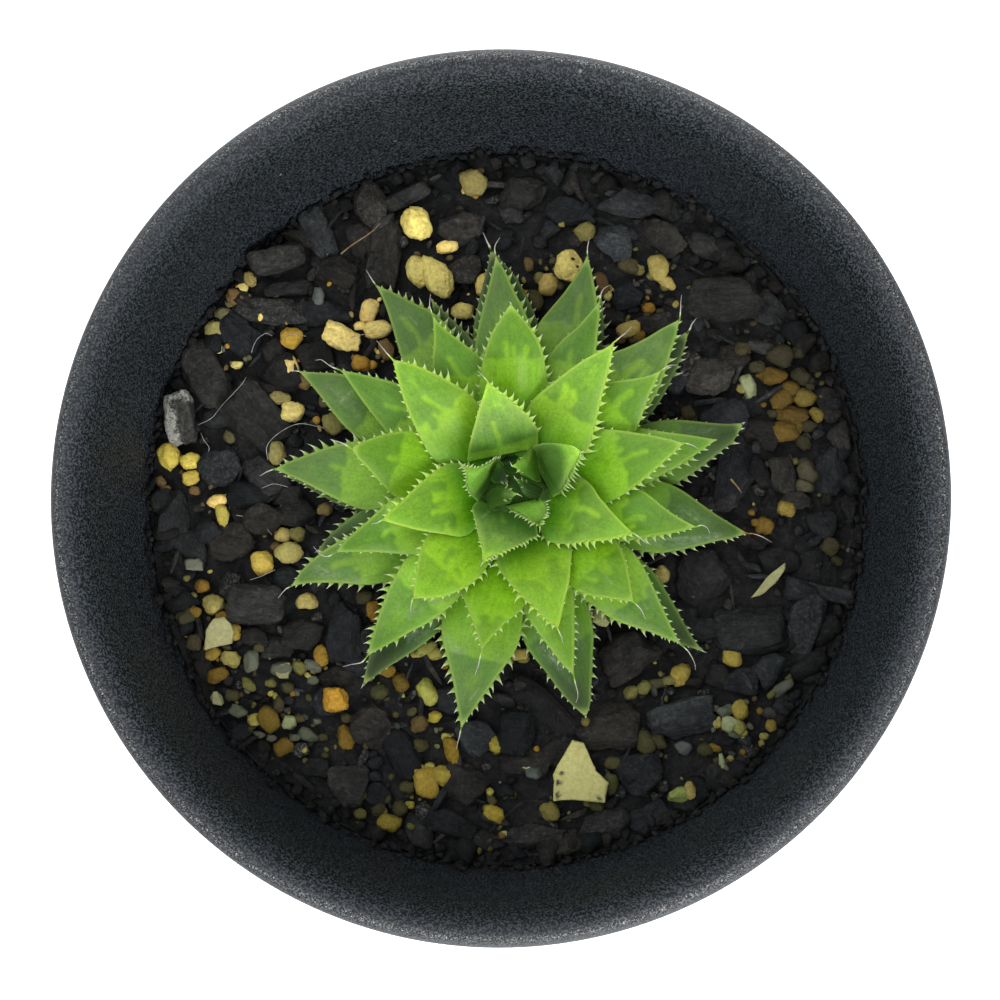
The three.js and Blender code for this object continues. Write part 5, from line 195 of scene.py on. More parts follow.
        st=[(4.17,5.13,59.95,6.65,1.9,58.55,0.54,0.2),(5.89,6.42,60,8.51,3.28,58.81,0.63,0.21),(7.59,7.69,59.99,10.35,4.65,59,1.12,0.21),(9.28,8.95,60.04,12.15,5.99,59.31,1.6,0.21),(10.75,10.39,60.09,13.78,7.45,59.7,1.9,0.21),(12.05,11.91,60.13,15.25,9.1,60,1.9,0.21),(13.36,13.32,60.33,16.54,10.87,60.26,1.88,0.2),(14.78,14.79,60.49,17.49,12.63,60.45,1.65,0.17),(16.36,16.13,60.62,18.3,14.36,60.59,1.29,0.13),(18,17.17,60.72,18.99,16.17,60.7,0.78,0.07),(19.46,17.96,60.8,19.46,17.96,60.8,0.18,0)]),
    'leaf_48': dict(lvl=0.2, y0=7.89, ws=0.6, teeth=(0.6,0.9), bristle=[(-23.18,2.85,60.86)],
        marks=[],
        st=[(-3.84,-1.02,58.31,-3.23,3.58,58.31,0.54,0.23),(-5.95,-0.89,58.54,-5.39,3.98,58.67,0.63,0.25),(-8.04,-0.86,58.74,-7.51,4.48,59,1.1,0.27),(-10.09,-0.86,59.07,-9.61,4.99,59.29,1.56,0.3),(-12.11,-0.83,59.33,-11.69,5.42,59.53,1.9,0.32),(-14.14,-0.96,59.59,-13.73,5.5,59.73,1.9,0.33),(-16.01,-0.53,59.83,-15.8,5.5,59.89,1.9,0.3),(-17.92,0.24,60.08,-17.73,5.18,60.11,1.9,0.25),(-19.73,1.25,60.3,-19.65,4.6,60.32,1.57,0.17),(-21.45,2.25,60.48,-21.46,3.97,60.49,0.91,0.09),(-22.99,2.92,60.64,-22.99,2.92,60.64,0.18,0)]),
    'leaf_49': dict(lvl=0.2, y0=8.62, ws=0.7, teeth=(0.6,0.7), bristle=[(-1.6,27.54,60.8),(-2.1,28.66,60.85)],
        marks=[],
        st=[(-1.22,5.46,58.31,3.4,5.75,58.31,0.54,0.23),(-1.56,7.8,58.51,3.43,8.11,58.46,0.68,0.25),(-2.02,10.1,58.8,3.6,10.43,58.8,1.2,0.28),(-2.5,12.35,59.17,3.81,12.72,59.17,1.7,0.32),(-2.93,14.61,59.33,3.95,14.97,59.52,1.9,0.35),(-3.2,16.91,59.67,3.96,17.08,59.83,1.9,0.36),(-3.04,19.17,59.97,3.6,19.14,60.08,1.9,0.33),(-2.61,21.11,60.2,2.66,21.41,60.27,1.9,0.27),(-2.16,22.91,60.37,1.48,23.66,60.42,1.66,0.19),(-1.62,25.01,60.51,0.09,25.37,60.53,0.92,0.09),(-1.29,26.82,60.63,-1.29,26.82,60.63,0.18,0)]),
}

# x, y, half length, half width, turn in degrees, kind, extra
PEBBLES = [
    (-3.25,34.66,1.51,1.26,-70,'khaki',0), (-9.29,30.15,1.76,1.51,-60,'cream',0), (-6.16,27.78,1.13,0.63,15,'cream',0), (-2.24,23.72,1.13,0.94,-70,'cream',0),
    (-4.44,20.81,1.13,0.94,0,'cream',0), (-27.41,24.54,0.88,0.63,-70,'khaki',0), (-28.28,23.62,0.75,0.57,0,'cream',0), (-28.93,22.5,1.01,0.82,-30,'rust',0),
    (-29.07,22.64,0.75,0.57,0,'rust',0), (-29.6,22.03,0.63,0.5,0,'brown',0), (-31.15,19.02,1.07,1.01,0,'khaki',0), (-30.31,20.77,0.88,0.69,0,'brown',0),
    (-30.92,17.01,0.75,0.5,-10,'cream',0), (-22.9,18.06,1.19,1.13,0,'orange',0), (-28.69,15.22,0.63,0.44,0,'cream',0), (-19.98,22.45,1.13,0.82,-80,'grey',0),
    (-17.53,18.09,2.2,1.19,-28,'cream',0), (-14.53,20.95,1.26,0.88,65,'cream',0), (-13.58,18.97,1.57,0.88,10,'cream',0), (-15.36,19.33,0.75,0.5,0,'cream',0),
    (-22.9,15.09,1.01,0.88,-70,'cream',0), (-21.51,13.38,1.01,0.75,-20,'rust',0), (-22.48,13.73,0.57,0.44,0,'rust',0), (-23.97,11.57,1.07,0.63,-10,'khaki',0),
    (-22.67,10.14,1.13,1.07,0,'cream',0), (-15.33,15.24,1.13,0.88,-20,'orange',0), (-12.69,16.82,1.13,0.75,-70,'rust',0), (-14.08,15.07,0.57,0.44,0,'orange',0),
    (-18.9,11.28,0.94,0.82,0,'brown',0), (-18.31,8.86,1.26,1.13,-40,'khaki',0), (-29.5,7.42,0.75,0.57,-60,'brown',0), (-24.29,5.8,1.26,0.88,-80,'khaki',0),
    (-35.94,5.39,1.38,1.19,-60,'yellow',0), (-33.5,4.9,1.07,0.88,0,'yellow',0), (-33.49,3.07,0.88,0.82,0,'yellow',0), (-33.12,1.76,0.63,0.5,0,'rust',0),
    (-30.69,0.6,1.01,0.75,20,'cream',0), (-30.12,-0.84,1.26,0.63,-75,'yellow',0), (-36.8,2.64,0.75,0.5,-50,'rust',0), (-36.29,1.9,0.63,0.38,0,'rust',0),
    (-19.1,-0.31,0.75,0.63,0,'khaki',0), (-23.61,-3.06,0.82,0.75,0,'cream',0), (-22.1,-3,0.88,0.75,0,'khaki',0), (-22.94,-4.96,1.45,1.19,20,'cream',0),
    (-25.69,-6.21,1.32,1.19,-60,'yellow',0), (-24.37,-4.31,0.63,0.5,0,'rust',0), (-25.98,-9.06,0.63,0.38,-10,'yellow',0), (-21.04,-10.08,1.13,0.88,0,'cream',0),
    (-14.78,-9.66,1.01,0.82,0,'brown',0), (-13.78,-11.16,1.13,0.82,-70,'orange',0), (-33.02,-6.3,1.01,0.82,0,'greyw',0), (-32.18,-8.5,0.82,0.75,0,'orange',0),
    (-31.01,-10.51,1.19,1.07,0,'cream',0), (-33.85,-11.75,1.13,0.75,30,'brown',0), (-32.86,-11.18,0.63,0.57,0,'orange',0), (-29.96,-11.81,0.75,0.63,0,'orange',0),
    (-28.69,-13.38,0.88,0.69,-70,'yellow',0), (-32.94,-14.5,0.88,0.82,0,'brown',0), (-31,-15.68,0.88,0.57,20,'yellow',0), (-29.16,-16.13,1.07,0.82,-20,'cream',0),
    (-30.52,-17.93,1.26,0.82,25,'orange',0), (-31.64,-15.06,0.5,0.44,0,'yellow',0), (-26.77,-16.44,1.38,0.82,-85,'greyw',0), (-26.05,-15.06,0.57,0.44,0,'brown',0),
    (-19.45,-16.01,1.13,0.69,-75,'orange',0), (-23.62,-17.44,1.26,0.94,-10,'greyw',0), (-21.77,-17.19,0.82,0.63,-30,'khaki',0), (-20.32,-17,1.13,0.69,-20,'greyw',0),
    (-20.2,-18.49,0.75,0.44,0,'greyw',0), (-30.59,-20.45,0.88,0.63,-65,'white',0), (-28.95,-20.05,0.75,0.57,0,'brown',0), (-28.3,-21.79,1.01,0.69,-30,'greyw',0),
    (-27.08,-18.99,0.88,0.57,-40,'khaki',0), (-26.3,-22.66,0.88,0.63,0,'cream',0), (-24.95,-22.66,1.32,1.07,-50,'orange',0), (-22.78,-22.97,0.88,0.82,0,'white',0),
    (-23.93,-21.1,0.88,0.57,-80,'brown',0), (-23.01,-19.24,0.69,0.57,0,'brown',0), (-24.77,-18.8,0.57,0.44,0,'khaki',0), (-21.74,-22.53,0.63,0.5,0,'brown',0),
    (-13.18,-19.68,0.94,0.82,0,'brown',0), (-11,-18.69,1.13,0.82,-70,'orange',0), (-12.51,-17.44,1.13,0.69,-10,'orange',0), (-8.13,-19.74,1.45,0.94,-55,'cream',0),
    (-14.27,-18.19,0.5,0.38,0,'khaki',0), (-16.74,-22.53,0.57,0.5,0,'brown',0), (-16.84,-24.58,1.26,0.88,-75,'orange',0), (-20.71,-24.27,1.26,0.75,-20,'greyw',0),
    (-19.23,-24.52,0.57,0.44,0,'brown',0), (-23.39,-25.51,1.07,0.82,40,'orange',0), (-22.23,-24.58,0.63,0.44,0,'greyw',0), (-19.87,-22.84,0.5,0.38,0,'greyw',0),
    (-24.74,-24.58,0.57,0.38,0,'greyw',0), (-25.99,-24.27,0.75,0.38,-20,'greyw',0), (-9.06,-23.15,1.01,0.75,30,'rust',0), (-9.76,-21.79,0.57,0.44,0,'brown',0),
    (-8.75,-25.38,0.75,0.69,0,'brown',0), (-7.39,-22.35,0.69,0.57,0,'yellow',0), (-8.33,-15.21,1.13,0.75,15,'cream',0), (-7.28,-15.83,0.75,0.57,0,'cream',0),
    (-9.28,-15.7,0.63,0.44,0,'cream',0), (-5.51,-25.81,1.51,0.75,-80,'orange',0), (-6.14,-24.51,0.57,0.44,0,'cream',0), (-0.85,-25.37,0.94,0.88,0,'yellow',0),
    (-8.16,-29.32,1.57,1.26,-80,'yellow',0), (-6.5,-28.46,1.19,0.88,-50,'yellow',0), (-9.23,-28.09,0.88,0.75,0,'yellow',0), (-7.88,-27.6,0.63,0.5,0,'cream',0),
    (-10.35,-29.82,0.82,0.69,0,'brown',0), (-15.13,-32.61,0.69,0.57,0,'khaki',0), (-13.27,-32.11,0.82,0.57,20,'brown',0), (-12.19,-33.45,1.26,1.07,-30,'yellow',0),
    (-10.97,-31.98,0.82,0.69,-80,'brown',0), (-9.98,-31.61,0.57,0.44,0,'yellow',0), (-1.35,-31.05,0.75,0.5,-70,'brown',0), (-1.1,-32.58,1.13,0.88,-30,'yellow',0),
    (-1.79,-31.97,0.5,0.44,0,'khaki',0), (-0.06,-34.61,0.5,0.38,0,'white',0), (3.05,-28.27,1.13,0.82,0,'bluegrey',0), (2.36,-27.72,0.5,0.38,0,'white',0),
    (4.78,-32.26,1.01,0.94,0,'khaki',0), (11.09,-29.43,1.13,0.82,-80,'brown',0), (11.34,-27.15,0.82,0.69,0,'brown',0), (9.66,-31.71,0.82,0.5,-10,'brown',0),
    (8.57,-22.9,0.5,0.5,0,'khaki',0), (13.29,-19.81,0.88,0.63,30,'khaki',0), (14.65,-19.32,0.82,0.69,0,'khaki',0), (16.39,-18.76,1.13,0.57,10,'brown',0),
    (18.55,-17.96,1.19,0.94,70,'yellow',0), (17.44,-18.51,0.75,0.5,0,'khaki',0), (15.77,-19.63,0.63,0.38,-80,'grey',0), (14.81,-24.99,1.26,0.94,-70,'brown',0),
    (16.36,-25.06,0.88,0.69,-60,'brown',0), (18.64,-25.61,1.01,0.69,-20,'bluegrey',0), (24.83,-21.6,1.01,0.82,-70,'yellow',0), (23.17,-21.79,1.01,0.63,20,'greyw',0),
    (23.58,-23.14,1.07,0.82,-30,'white',0), (24.63,-23.33,0.88,0.69,-60,'cream',0), (22.36,-22.96,0.63,0.5,-80,'cream',0), (24.2,-24.25,0.75,0.38,-10,'greyw',0),
    (22.19,-21.48,0.5,0.38,0,'greyw',0), (25.46,-20.8,0.38,0.31,0,'greyw',0), (28.09,-23.33,0.57,0.57,0,'yellow',0), (27.28,-24.38,0.57,0.38,0,'cream',0),
    (27.91,-21.91,0.88,0.57,-20,'grey',0), (29.29,-19.32,1.38,0.75,45,'greyw',0), (30.05,-18.33,0.63,0.38,40,'khaki',0), (28.18,-19.94,0.63,0.38,40,'khaki',0),
    (21.1,-25.79,0.82,0.69,0,'brown',0), (22.16,-25.61,0.69,0.44,-20,'orange',0), (22.83,-26.96,0.88,0.44,-75,'white',0), (23.13,-27.58,0.63,0.31,-50,'greyw',0),
    (23.87,-28.25,0.5,0.38,0,'greyw',0), (18.3,-30.52,1.13,0.94,0,'yelloww',0), (19.54,-30.04,1.01,0.57,-80,'cream',0), (23.94,-16.23,1.01,0.82,-20,'yellow',0),
    (27.45,-2.27,1.01,0.82,-30,'orange',0), (26.53,-1.95,0.5,0.44,0,'orange',0), (29.94,-0.41,0.88,0.82,0,'yellow',0), (29.22,-0.64,0.38,0.31,0,'cream',0),
    (16.57,-7.41,0.94,0.82,-60,'cream',0), (10.03,-11.88,1.19,0.82,-20,'bright',0), (9.1,-11.5,0.63,0.44,0,'bright',0), (34.41,-4.41,1.13,1.01,-30,'brown',0),
    (35.1,-5.83,0.75,0.5,-40,'brown',0), (32.02,3.51,1.32,0.94,-70,'crumb',0), (31.83,1.96,1.13,0.63,-10,'crumb',0), (32.96,3.02,0.57,0.5,0,'brown',0),
    (26.01,12.62,1.26,1.01,-70,'white',0), (25.21,12.34,0.63,0.5,0,'cream',0), (25.3,16.66,0.88,0.75,0,'brown',0), (27.29,16.77,1.51,0.82,-10,'grey',0),
    (29.33,15.86,1.38,1.19,-20,'brown',0), (28.51,13.68,1.38,0.94,10,'orange',0), (31.5,13.67,1.01,0.82,-30,'brown',0), (26.85,14.65,0.88,0.57,0,'brown',0),
    (31.22,16.2,0.75,0.57,0,'brown',0), (30.37,12.42,1.01,0.75,0,'orange',0), (29.55,11.16,1.38,0.94,20,'orange',0), (31.91,11.33,1.13,0.94,-20,'yellow',0),
    (30.34,9.46,1.89,0.94,-5,'orange',0), (33.08,9.59,0.88,0.69,-60,'yellow',0), (29.57,7.82,1.57,1.13,10,'orange',0), (31.62,6.58,0.88,0.75,-50,'brown',0),
    (32.33,8.41,0.75,0.57,0,'brown',0), (30.96,8.22,0.75,0.63,0,'orange',0), (28.49,9.68,0.63,0.5,0,'brown',0), (32.44,12.62,0.57,0.44,0,'brown',0),
    (8.71,29.36,1.13,1.01,0,'khaki',0), (4.62,23.66,1.13,1.07,0,'cream',0), (3.73,24.35,0.63,0.57,0,'khaki',0), (3.11,21.78,1.26,1.01,-60,'brown',0),
    (2.09,22.58,0.63,0.5,0,'orange',0), (5.74,23.52,0.57,0.44,0,'brown',0), (10.45,23.65,1.38,0.69,-70,'rust',0), (10.89,22.65,0.69,0.5,-60,'cream',0),
    (10.02,24.44,0.57,0.44,0,'rust',0), (13.28,25.66,1.13,0.75,-10,'brown',0), (14.41,25.15,0.75,0.63,0,'khaki',0), (16.41,25.29,1.38,1.13,-80,'cream',0),
    (17.29,23.86,1.01,0.69,-40,'cream',0), (17.17,25.78,0.57,0.5,0,'brown',0), (15.79,24.52,0.63,0.5,0,'khaki',0), (15.4,21.1,0.75,0.57,0,'orange',0),
    (14.03,23.66,0.44,0.31,0,'grey',0), (13.26,18.69,1.26,0.82,20,'cream',0), (14.32,18.07,0.75,0.57,0,'orange',0), (12.5,17.7,0.63,0.5,0,'rust',0),
    (13.88,17.58,0.57,0.38,0,'brown',0), (19.52,9.71,0.88,0.69,-80,'brown',0), (19.21,8.98,0.57,0.38,0,'khaki',0), (1.63,-15.72,0.88,0.63,0,'cream',0),
    (2.06,-16.33,0.57,0.38,0,'khaki',0), (2.88,-13.23,0.63,0.5,0,'cream',0), (2.6,25.88,0.75,0.5,-80,'rust',0), (5.24,26.26,0.5,0.38,0,'brown',0),
]

CHIPS = [
    (-32.33,14.47,3.52,1.95,-58,'log',0), (-27.01,9.35,3.46,2.52,-50,'bark',0), (-29.9,4.21,2.26,2.08,-20,'grey',0), (-28.59,18.27,2.64,1.64,-40,'bark',0),
    (-25.47,21.15,3.9,1.26,-8,'log',0), (-19.44,20.64,3.14,1.51,5,'bark',0), (-12.95,27.07,3.77,1.76,-95,'log',0), (-23.8,14.11,2.39,1.89,-40,'bark',0),
    (-22.15,-0.69,2.14,1.51,-10,'bark',0), (-25.58,-1.45,2.14,1.89,0,'bark',0), (-29.31,-3.84,2.77,2.26,-10,'bark',0), (-27.38,1.33,2.14,1.64,-20,'bark',0),
    (-21.43,-13.4,2.14,1.89,0,'bark',0), (-17.05,-13.22,3.4,1.89,-85,'bark',0), (-16.65,-29.57,2.39,2.08,0,'grey',0), (24.37,3.18,3.02,2.26,-100,'bark',0),
    (26.1,-13.28,3.65,2.33,5,'log',0), (31.67,-13.28,3.65,1.64,-100,'log',0), (34.95,-9.55,4.15,0.69,-12,'stick',0), (13.11,-16.05,3.52,2.39,25,'bark',0),
    (18.64,-22.22,3.02,2.14,10,'grey',0), (10.92,-23.14,3.52,2.52,0,'bark',0), (-4.95,29.69,2.26,1.7,0,'bark',0), (-4.19,25.5,2.01,1.45,-10,'grey',0),
    (11.72,28.27,2.14,1.95,0,'grey',0), (34.59,3.34,2.52,2.01,-90,'grey',0), (29.47,2.89,1.76,1.38,-80,'bark',0), (10.27,-33.72,2.89,1.51,12,'bark',0),
    (3.17,-34.97,3.14,1.13,8,'bark',0), (20.57,-7.4,3.14,2.77,-60,'bark',0), (21.96,13.42,2.52,1.89,-10,'grey',0), (17.92,13.29,2.01,1.38,-60,'grey',0),
    (-20.14,29.72,3.27,1.26,-65,'log',0), (-18.21,25.53,2.26,1.51,-30,'bark',0), (-14.43,32.51,2.26,1.64,-60,'log',0), (-10.67,33.2,2.77,0.88,25,'stick',0),
    (1.99,33.34,2.89,1.64,0,'dark',0), (7.02,31.38,2.77,1.64,-10,'dark',0), (13.31,32.29,3.02,1.64,-10,'dark',0), (17.06,28.77,2.52,1.51,-30,'dark',0),
    (-35.06,-0.66,2.77,1.64,-95,'dark',0), (-33.46,-4.42,2.14,1.38,-60,'grey',0), (-36.49,0.61,1.64,1.01,-80,'bark',0), (-14.19,-23.15,2.52,2.14,-20,'dark',0),
    (-10.46,-26.24,2.77,1.76,-60,'dark',0), (-4.24,-29.31,2.52,2.14,0,'dark',0), (-3.01,-24.38,2.26,1.76,-30,'bark',0), (1.34,-23.76,2.14,2.52,0,'dark',0),
    (1.94,-27.15,2.52,1.64,0,'dark',0), (-5.48,-33.62,2.77,1.64,-20,'dark',0), (-19.22,-20.67,1.76,1.38,0,'dark',0), (-19.82,-27.8,1.64,1.13,0,'dark',0),
    (13.68,-28.06,3.14,2.39,-20,'dark',0), (19.81,-30.17,2.14,1.51,30,'dark',0), (22.87,-28.31,1.64,1.13,0,'dark',0), (21.18,-13.26,1.76,1.38,0,'dark',0),
    (18.08,-12.03,2.39,1.89,-30,'dark',0), (22.51,0.43,2.01,1.13,0,'bark',0), (25.58,-2.71,2.26,1.51,-20,'dark',0), (28.65,-5.84,2.14,1.64,0,'dark',0),
    (33.64,-2.11,1.89,1.38,-60,'dark',0), (31.1,-8.94,1.64,1.26,-30,'bark',0), (27.21,7.89,2.14,1.64,-30,'dark',0), (23.8,9.15,2.52,1.89,0,'dark',0),
    (20.05,5.44,1.89,1.26,-20,'dark',0), (24.47,15.44,2.01,1.64,0,'dark',0), (27.62,21.08,2.77,1.76,-40,'dark',0), (30.87,18.9,1.76,1.38,-30,'dark',0),
    (34.46,11.05,1.89,1.38,-70,'dark',0), (35.58,7.18,1.64,1.26,-90,'dark',0), (13.27,22.47,1.89,1.38,0,'dark',0), (16.39,19.29,2.26,1.38,0,'dark',0),
    (11.38,19.97,1.38,1.13,0,'dark',0), (17.08,31.98,1.89,1.26,-60,'dark',0), (22.06,27.49,2.14,1.26,-30,'dark',0), (-0.54,28.93,1.64,1.26,0,'dark',0),
    (0.72,31.47,1.51,1.26,0,'dark',0), (-15.7,28.41,1.89,1.26,-80,'bark',0), (-22.03,29.1,1.89,1.01,-20,'dark',0), (-25.14,26.45,1.64,1.01,0,'dark',0),
    (-27.73,22.14,2.14,0.88,-30,'bark',0), (-23.62,23.4,2.52,0.82,10,'bark',0), (-24.49,16.37,1.64,1.26,-60,'dark',0), (-20.68,16.33,2.14,1.51,0,'dark',0),
    (-26.35,12.57,1.89,1.38,0,'dark',0), (-30.77,9.44,1.51,1.13,-30,'dark',0), (-33.62,8.83,1.38,1.01,-80,'dark',0), (-25,3.08,2.52,1.64,-30,'bark',0),
    (-23.13,1.2,1.64,1.26,0,'dark',0), (-27.84,-0.66,1.51,1.13,0,'dark',0), (-20,4.34,1.51,1.26,0,'dark',0), (-31.59,-2.55,1.64,1.38,0,'dark',0),
    (-23.07,-7.58,1.89,1.26,0,'dark',0), (-19.62,-7.27,1.64,1.26,0,'dark',0), (-26.8,-13.82,1.51,1.13,0,'dark',0), (-24.27,-15.07,1.76,1.26,0,'dark',0),
    (-14.24,-14.46,1.76,1.64,0,'dark',0), (-15.5,-16.95,1.64,1.26,0,'dark',0), (-18,-17.88,1.76,1.13,0,'dark',0), (-5.51,-20.67,1.89,1.38,0,'dark',0),
    (30.57,0.4,1.64,1.26,0,'dark',0), (27.19,3.53,1.51,1.26,-60,'dark',0), (36.59,-0.23,1.64,0.88,-80,'dark',0), (27.94,-17.6,1.89,1.38,40,'bark',0),
    (24.85,-18.83,1.89,1.38,0,'dark',0), (22.38,-18.21,1.51,1.26,0,'dark',0), (31.88,-17.34,1.89,1.26,-80,'dark',0), (29.6,-21.18,1.64,1.13,50,'dark',0),
    (6.87,-35.45,2.52,1.13,5,'dark',0), (-1.78,-35.47,2.14,1.01,-10,'dark',0), (14.99,-33.05,2.26,1.26,25,'dark',0), (-9.22,-34.25,1.89,1.13,-30,'dark',0),
    (-13.57,-30.56,1.64,1.26,-30,'dark',0), (5.66,-26.23,2.14,1.64,0,'dark',0),
]


# ---------------------------------------------------------------- noise in numpy
def lattice(i, seed):
    h = (i[..., 0] * 73856093) ^ (i[..., 1] * 19349663) ^ (i[..., 2] * 83492791) ^ (seed * 6971 + 1013)
    h = (h ^ (h >> 13)) & 0xFFFFFFFF
    h = (h * 1274126177) & 0xFFFFFFFF
    h = (h ^ (h >> 16)) & 0xFFFFFFFF
    return h.astype(float) / 2147483647.5 - 1.0


def vnoise(p, freq, seed=0):
    q = np.asarray(p, float) * freq
    i = np.floor(q).astype(np.int64)
    f = q - i
    f = f * f * f * (f * (f * 6 - 15) + 10)
    out = np.zeros(q.shape[:-1])
    for dx in (0, 1):
        wx = f[..., 0] if dx else 1 - f[..., 0]
        for dy in (0, 1):
            wy = f[..., 1] if dy else 1 - f[..., 1]
            for dz in (0, 1):
                wz = f[..., 2] if dz else 1 - f[..., 2]
                out += wx * wy * wz * lattice(i + np.array([dx, dy, dz]), seed)
    return out


def fbm(p, freq, octaves=3, seed=0, gain=0.5):
    out, amp, tot = 0.0, 1.0, 0.0
    for k in range(octaves):
        out = out + amp * vnoise(p, freq * 2.03 ** k, seed + 17 * k)
        tot += amp
        amp *= gain
    return out / tot


def smooth(e0, e1, x):
    t = np.clip((x - e0) / (e1 - e0), 0, 1)
    return t * t * (3 - 2 * t)


def catmull(P, u):
    P = np.asarray(P, float)
    K = len(P)
    i = np.clip(np.floor(u).astype(int), 0, K - 2)
    f = (u - i)[:, None]
    p1, p2 = P[i], P[i + 1]
    p0 = np.where((i > 0)[:, None], P[np.maximum(i - 1, 0)], 2 * P[i] - P[i + 1])
    p3 = np.where((i < K - 2)[:, None], P[np.minimum(i + 2, K - 1)], 2 * P[i + 1] - P[i])
    return 0.5 * (2 * p1 + (p2 - p0) * f + (2 * p0 - 5 * p1 + 4 * p2 - p3) * f ** 2 + (3 * p1 - 3 * p2 + p3 - p0) * f ** 3)


def polyline_distance(X, Y, pts):
    d = np.full(np.shape(X), 1e9)
    if len(pts) == 1:
        return np.hypot(X - pts[0][0], Y - pts[0][1])
    for (x0, y0), (x1, y1) in zip(pts[:-1], pts[1:]):
        vx, vy = x1 - x0, y1 - y0
        l2 = vx * vx + vy * vy + 1e-12
        t = np.clip(((X - x0) * vx + (Y - y0) * vy) / l2, 0, 1)
        d = np.minimum(d, np.hypot(X - x0 - t * vx, Y - y0 - t * vy))
    return d


def smin(a, b, k):
    h = np.clip(0.5 + 0.5 * (b - a) / k, 0, 1)
    return b * (1 - h) + a * h - k * h * (1 - h)


# ---------------------------------------------------------------- mesh building
class Soup:
    """Collects points, faces and per-point values of one mesh."""

    def __init__(self):
        self.v, self.f, self.a, self.n = [], [], {}, 0

    def add(self, V, faces, **attrs):
        V = np.asarray(V, float).reshape(-1, 3)
        for F in faces:
            F = np.asarray(F, int)
            if len(F):
                self.f.append(F + self.n)
        for k in set(self.a) | set(attrs):
            val = attrs.get(k, 0.0)
            if k not in self.a:
                wide = np.ndim(val) == 2 or (np.ndim(val) == 1 and np.size(val) == 3 and len(V) != 3)
                self.a[k] = [np.zeros((self.n, 3) if wide else self.n)]
            wide = self.a[k][0].ndim == 2
            arr = np.broadcast_to(np.asarray(val, float), (len(V), 3) if wide else (len(V),))
            self.a[k].append(arr)
        self.v.append(V)
        self.n += len(V)

    def mesh(self, name, material, flat=False):
        V = np.concatenate(self.v) * MM
        me = bpy.data.meshes.new(name)
        me.vertices.add(len(V))
        me.vertices.foreach_set("co", V.astype(np.float32).ravel())
        loops = np.concatenate([F.ravel() for F in self.f])
        sizes = np.concatenate([np.full(len(F), F.shape[1]) for F in self.f])
        starts = np.concatenate([[0], np.cumsum(sizes)[:-1]])
        me.loops.add(len(loops))
        me.loops.foreach_set("vertex_index", loops.astype(np.int32))
        me.polygons.add(len(sizes))
        me.polygons.foreach_set("loop_start", starts.astype(np.int32))
        me.polygons.foreach_set("use_smooth", np.full(len(sizes), not flat))
        me.update(calc_edges=True)
        me.validate()
        for k, parts in self.a.items():
            arr = np.concatenate(parts)
            if arr.ndim == 2:
                at = me.attributes.new(k, "FLOAT_VECTOR", "POINT")
                at.data.foreach_set("vector", arr.astype(np.float32).ravel())
            else:
                at = me.attributes.new(k, "FLOAT", "POINT")
                at.data.foreach_set("value", arr.astype(np.float32))
        me.materials.append(material)
        ob = bpy.data.objects.new(name, me)
        bpy.context.scene.collection.objects.link(ob)
        return ob


def grid_faces(rows, cols, wrap=False, base=0, flip=False):
    i = np.arange(rows - 1)[:, None]
    j = np.arange(cols if wrap else cols - 1)[None]
    a = i * cols + j
    b = i * cols + (j + 1) % cols
    c = b + cols
    d = a + cols
    q = np.stack([a, b, c, d], -1).reshape(-1, 4) + base
    return q[:, ::-1] if flip else q


def fan(center, ring, flip=False):
    r = np.asarray(ring)
    t = np.stack([np.full(len(r), center), r, np.roll(r, -1)], -1)
    return t[:, ::-1] if flip else t


def piece(ob, slot, *nodes):
    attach(ob, "root")
    if nodes:
        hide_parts(*nodes)
    return ob


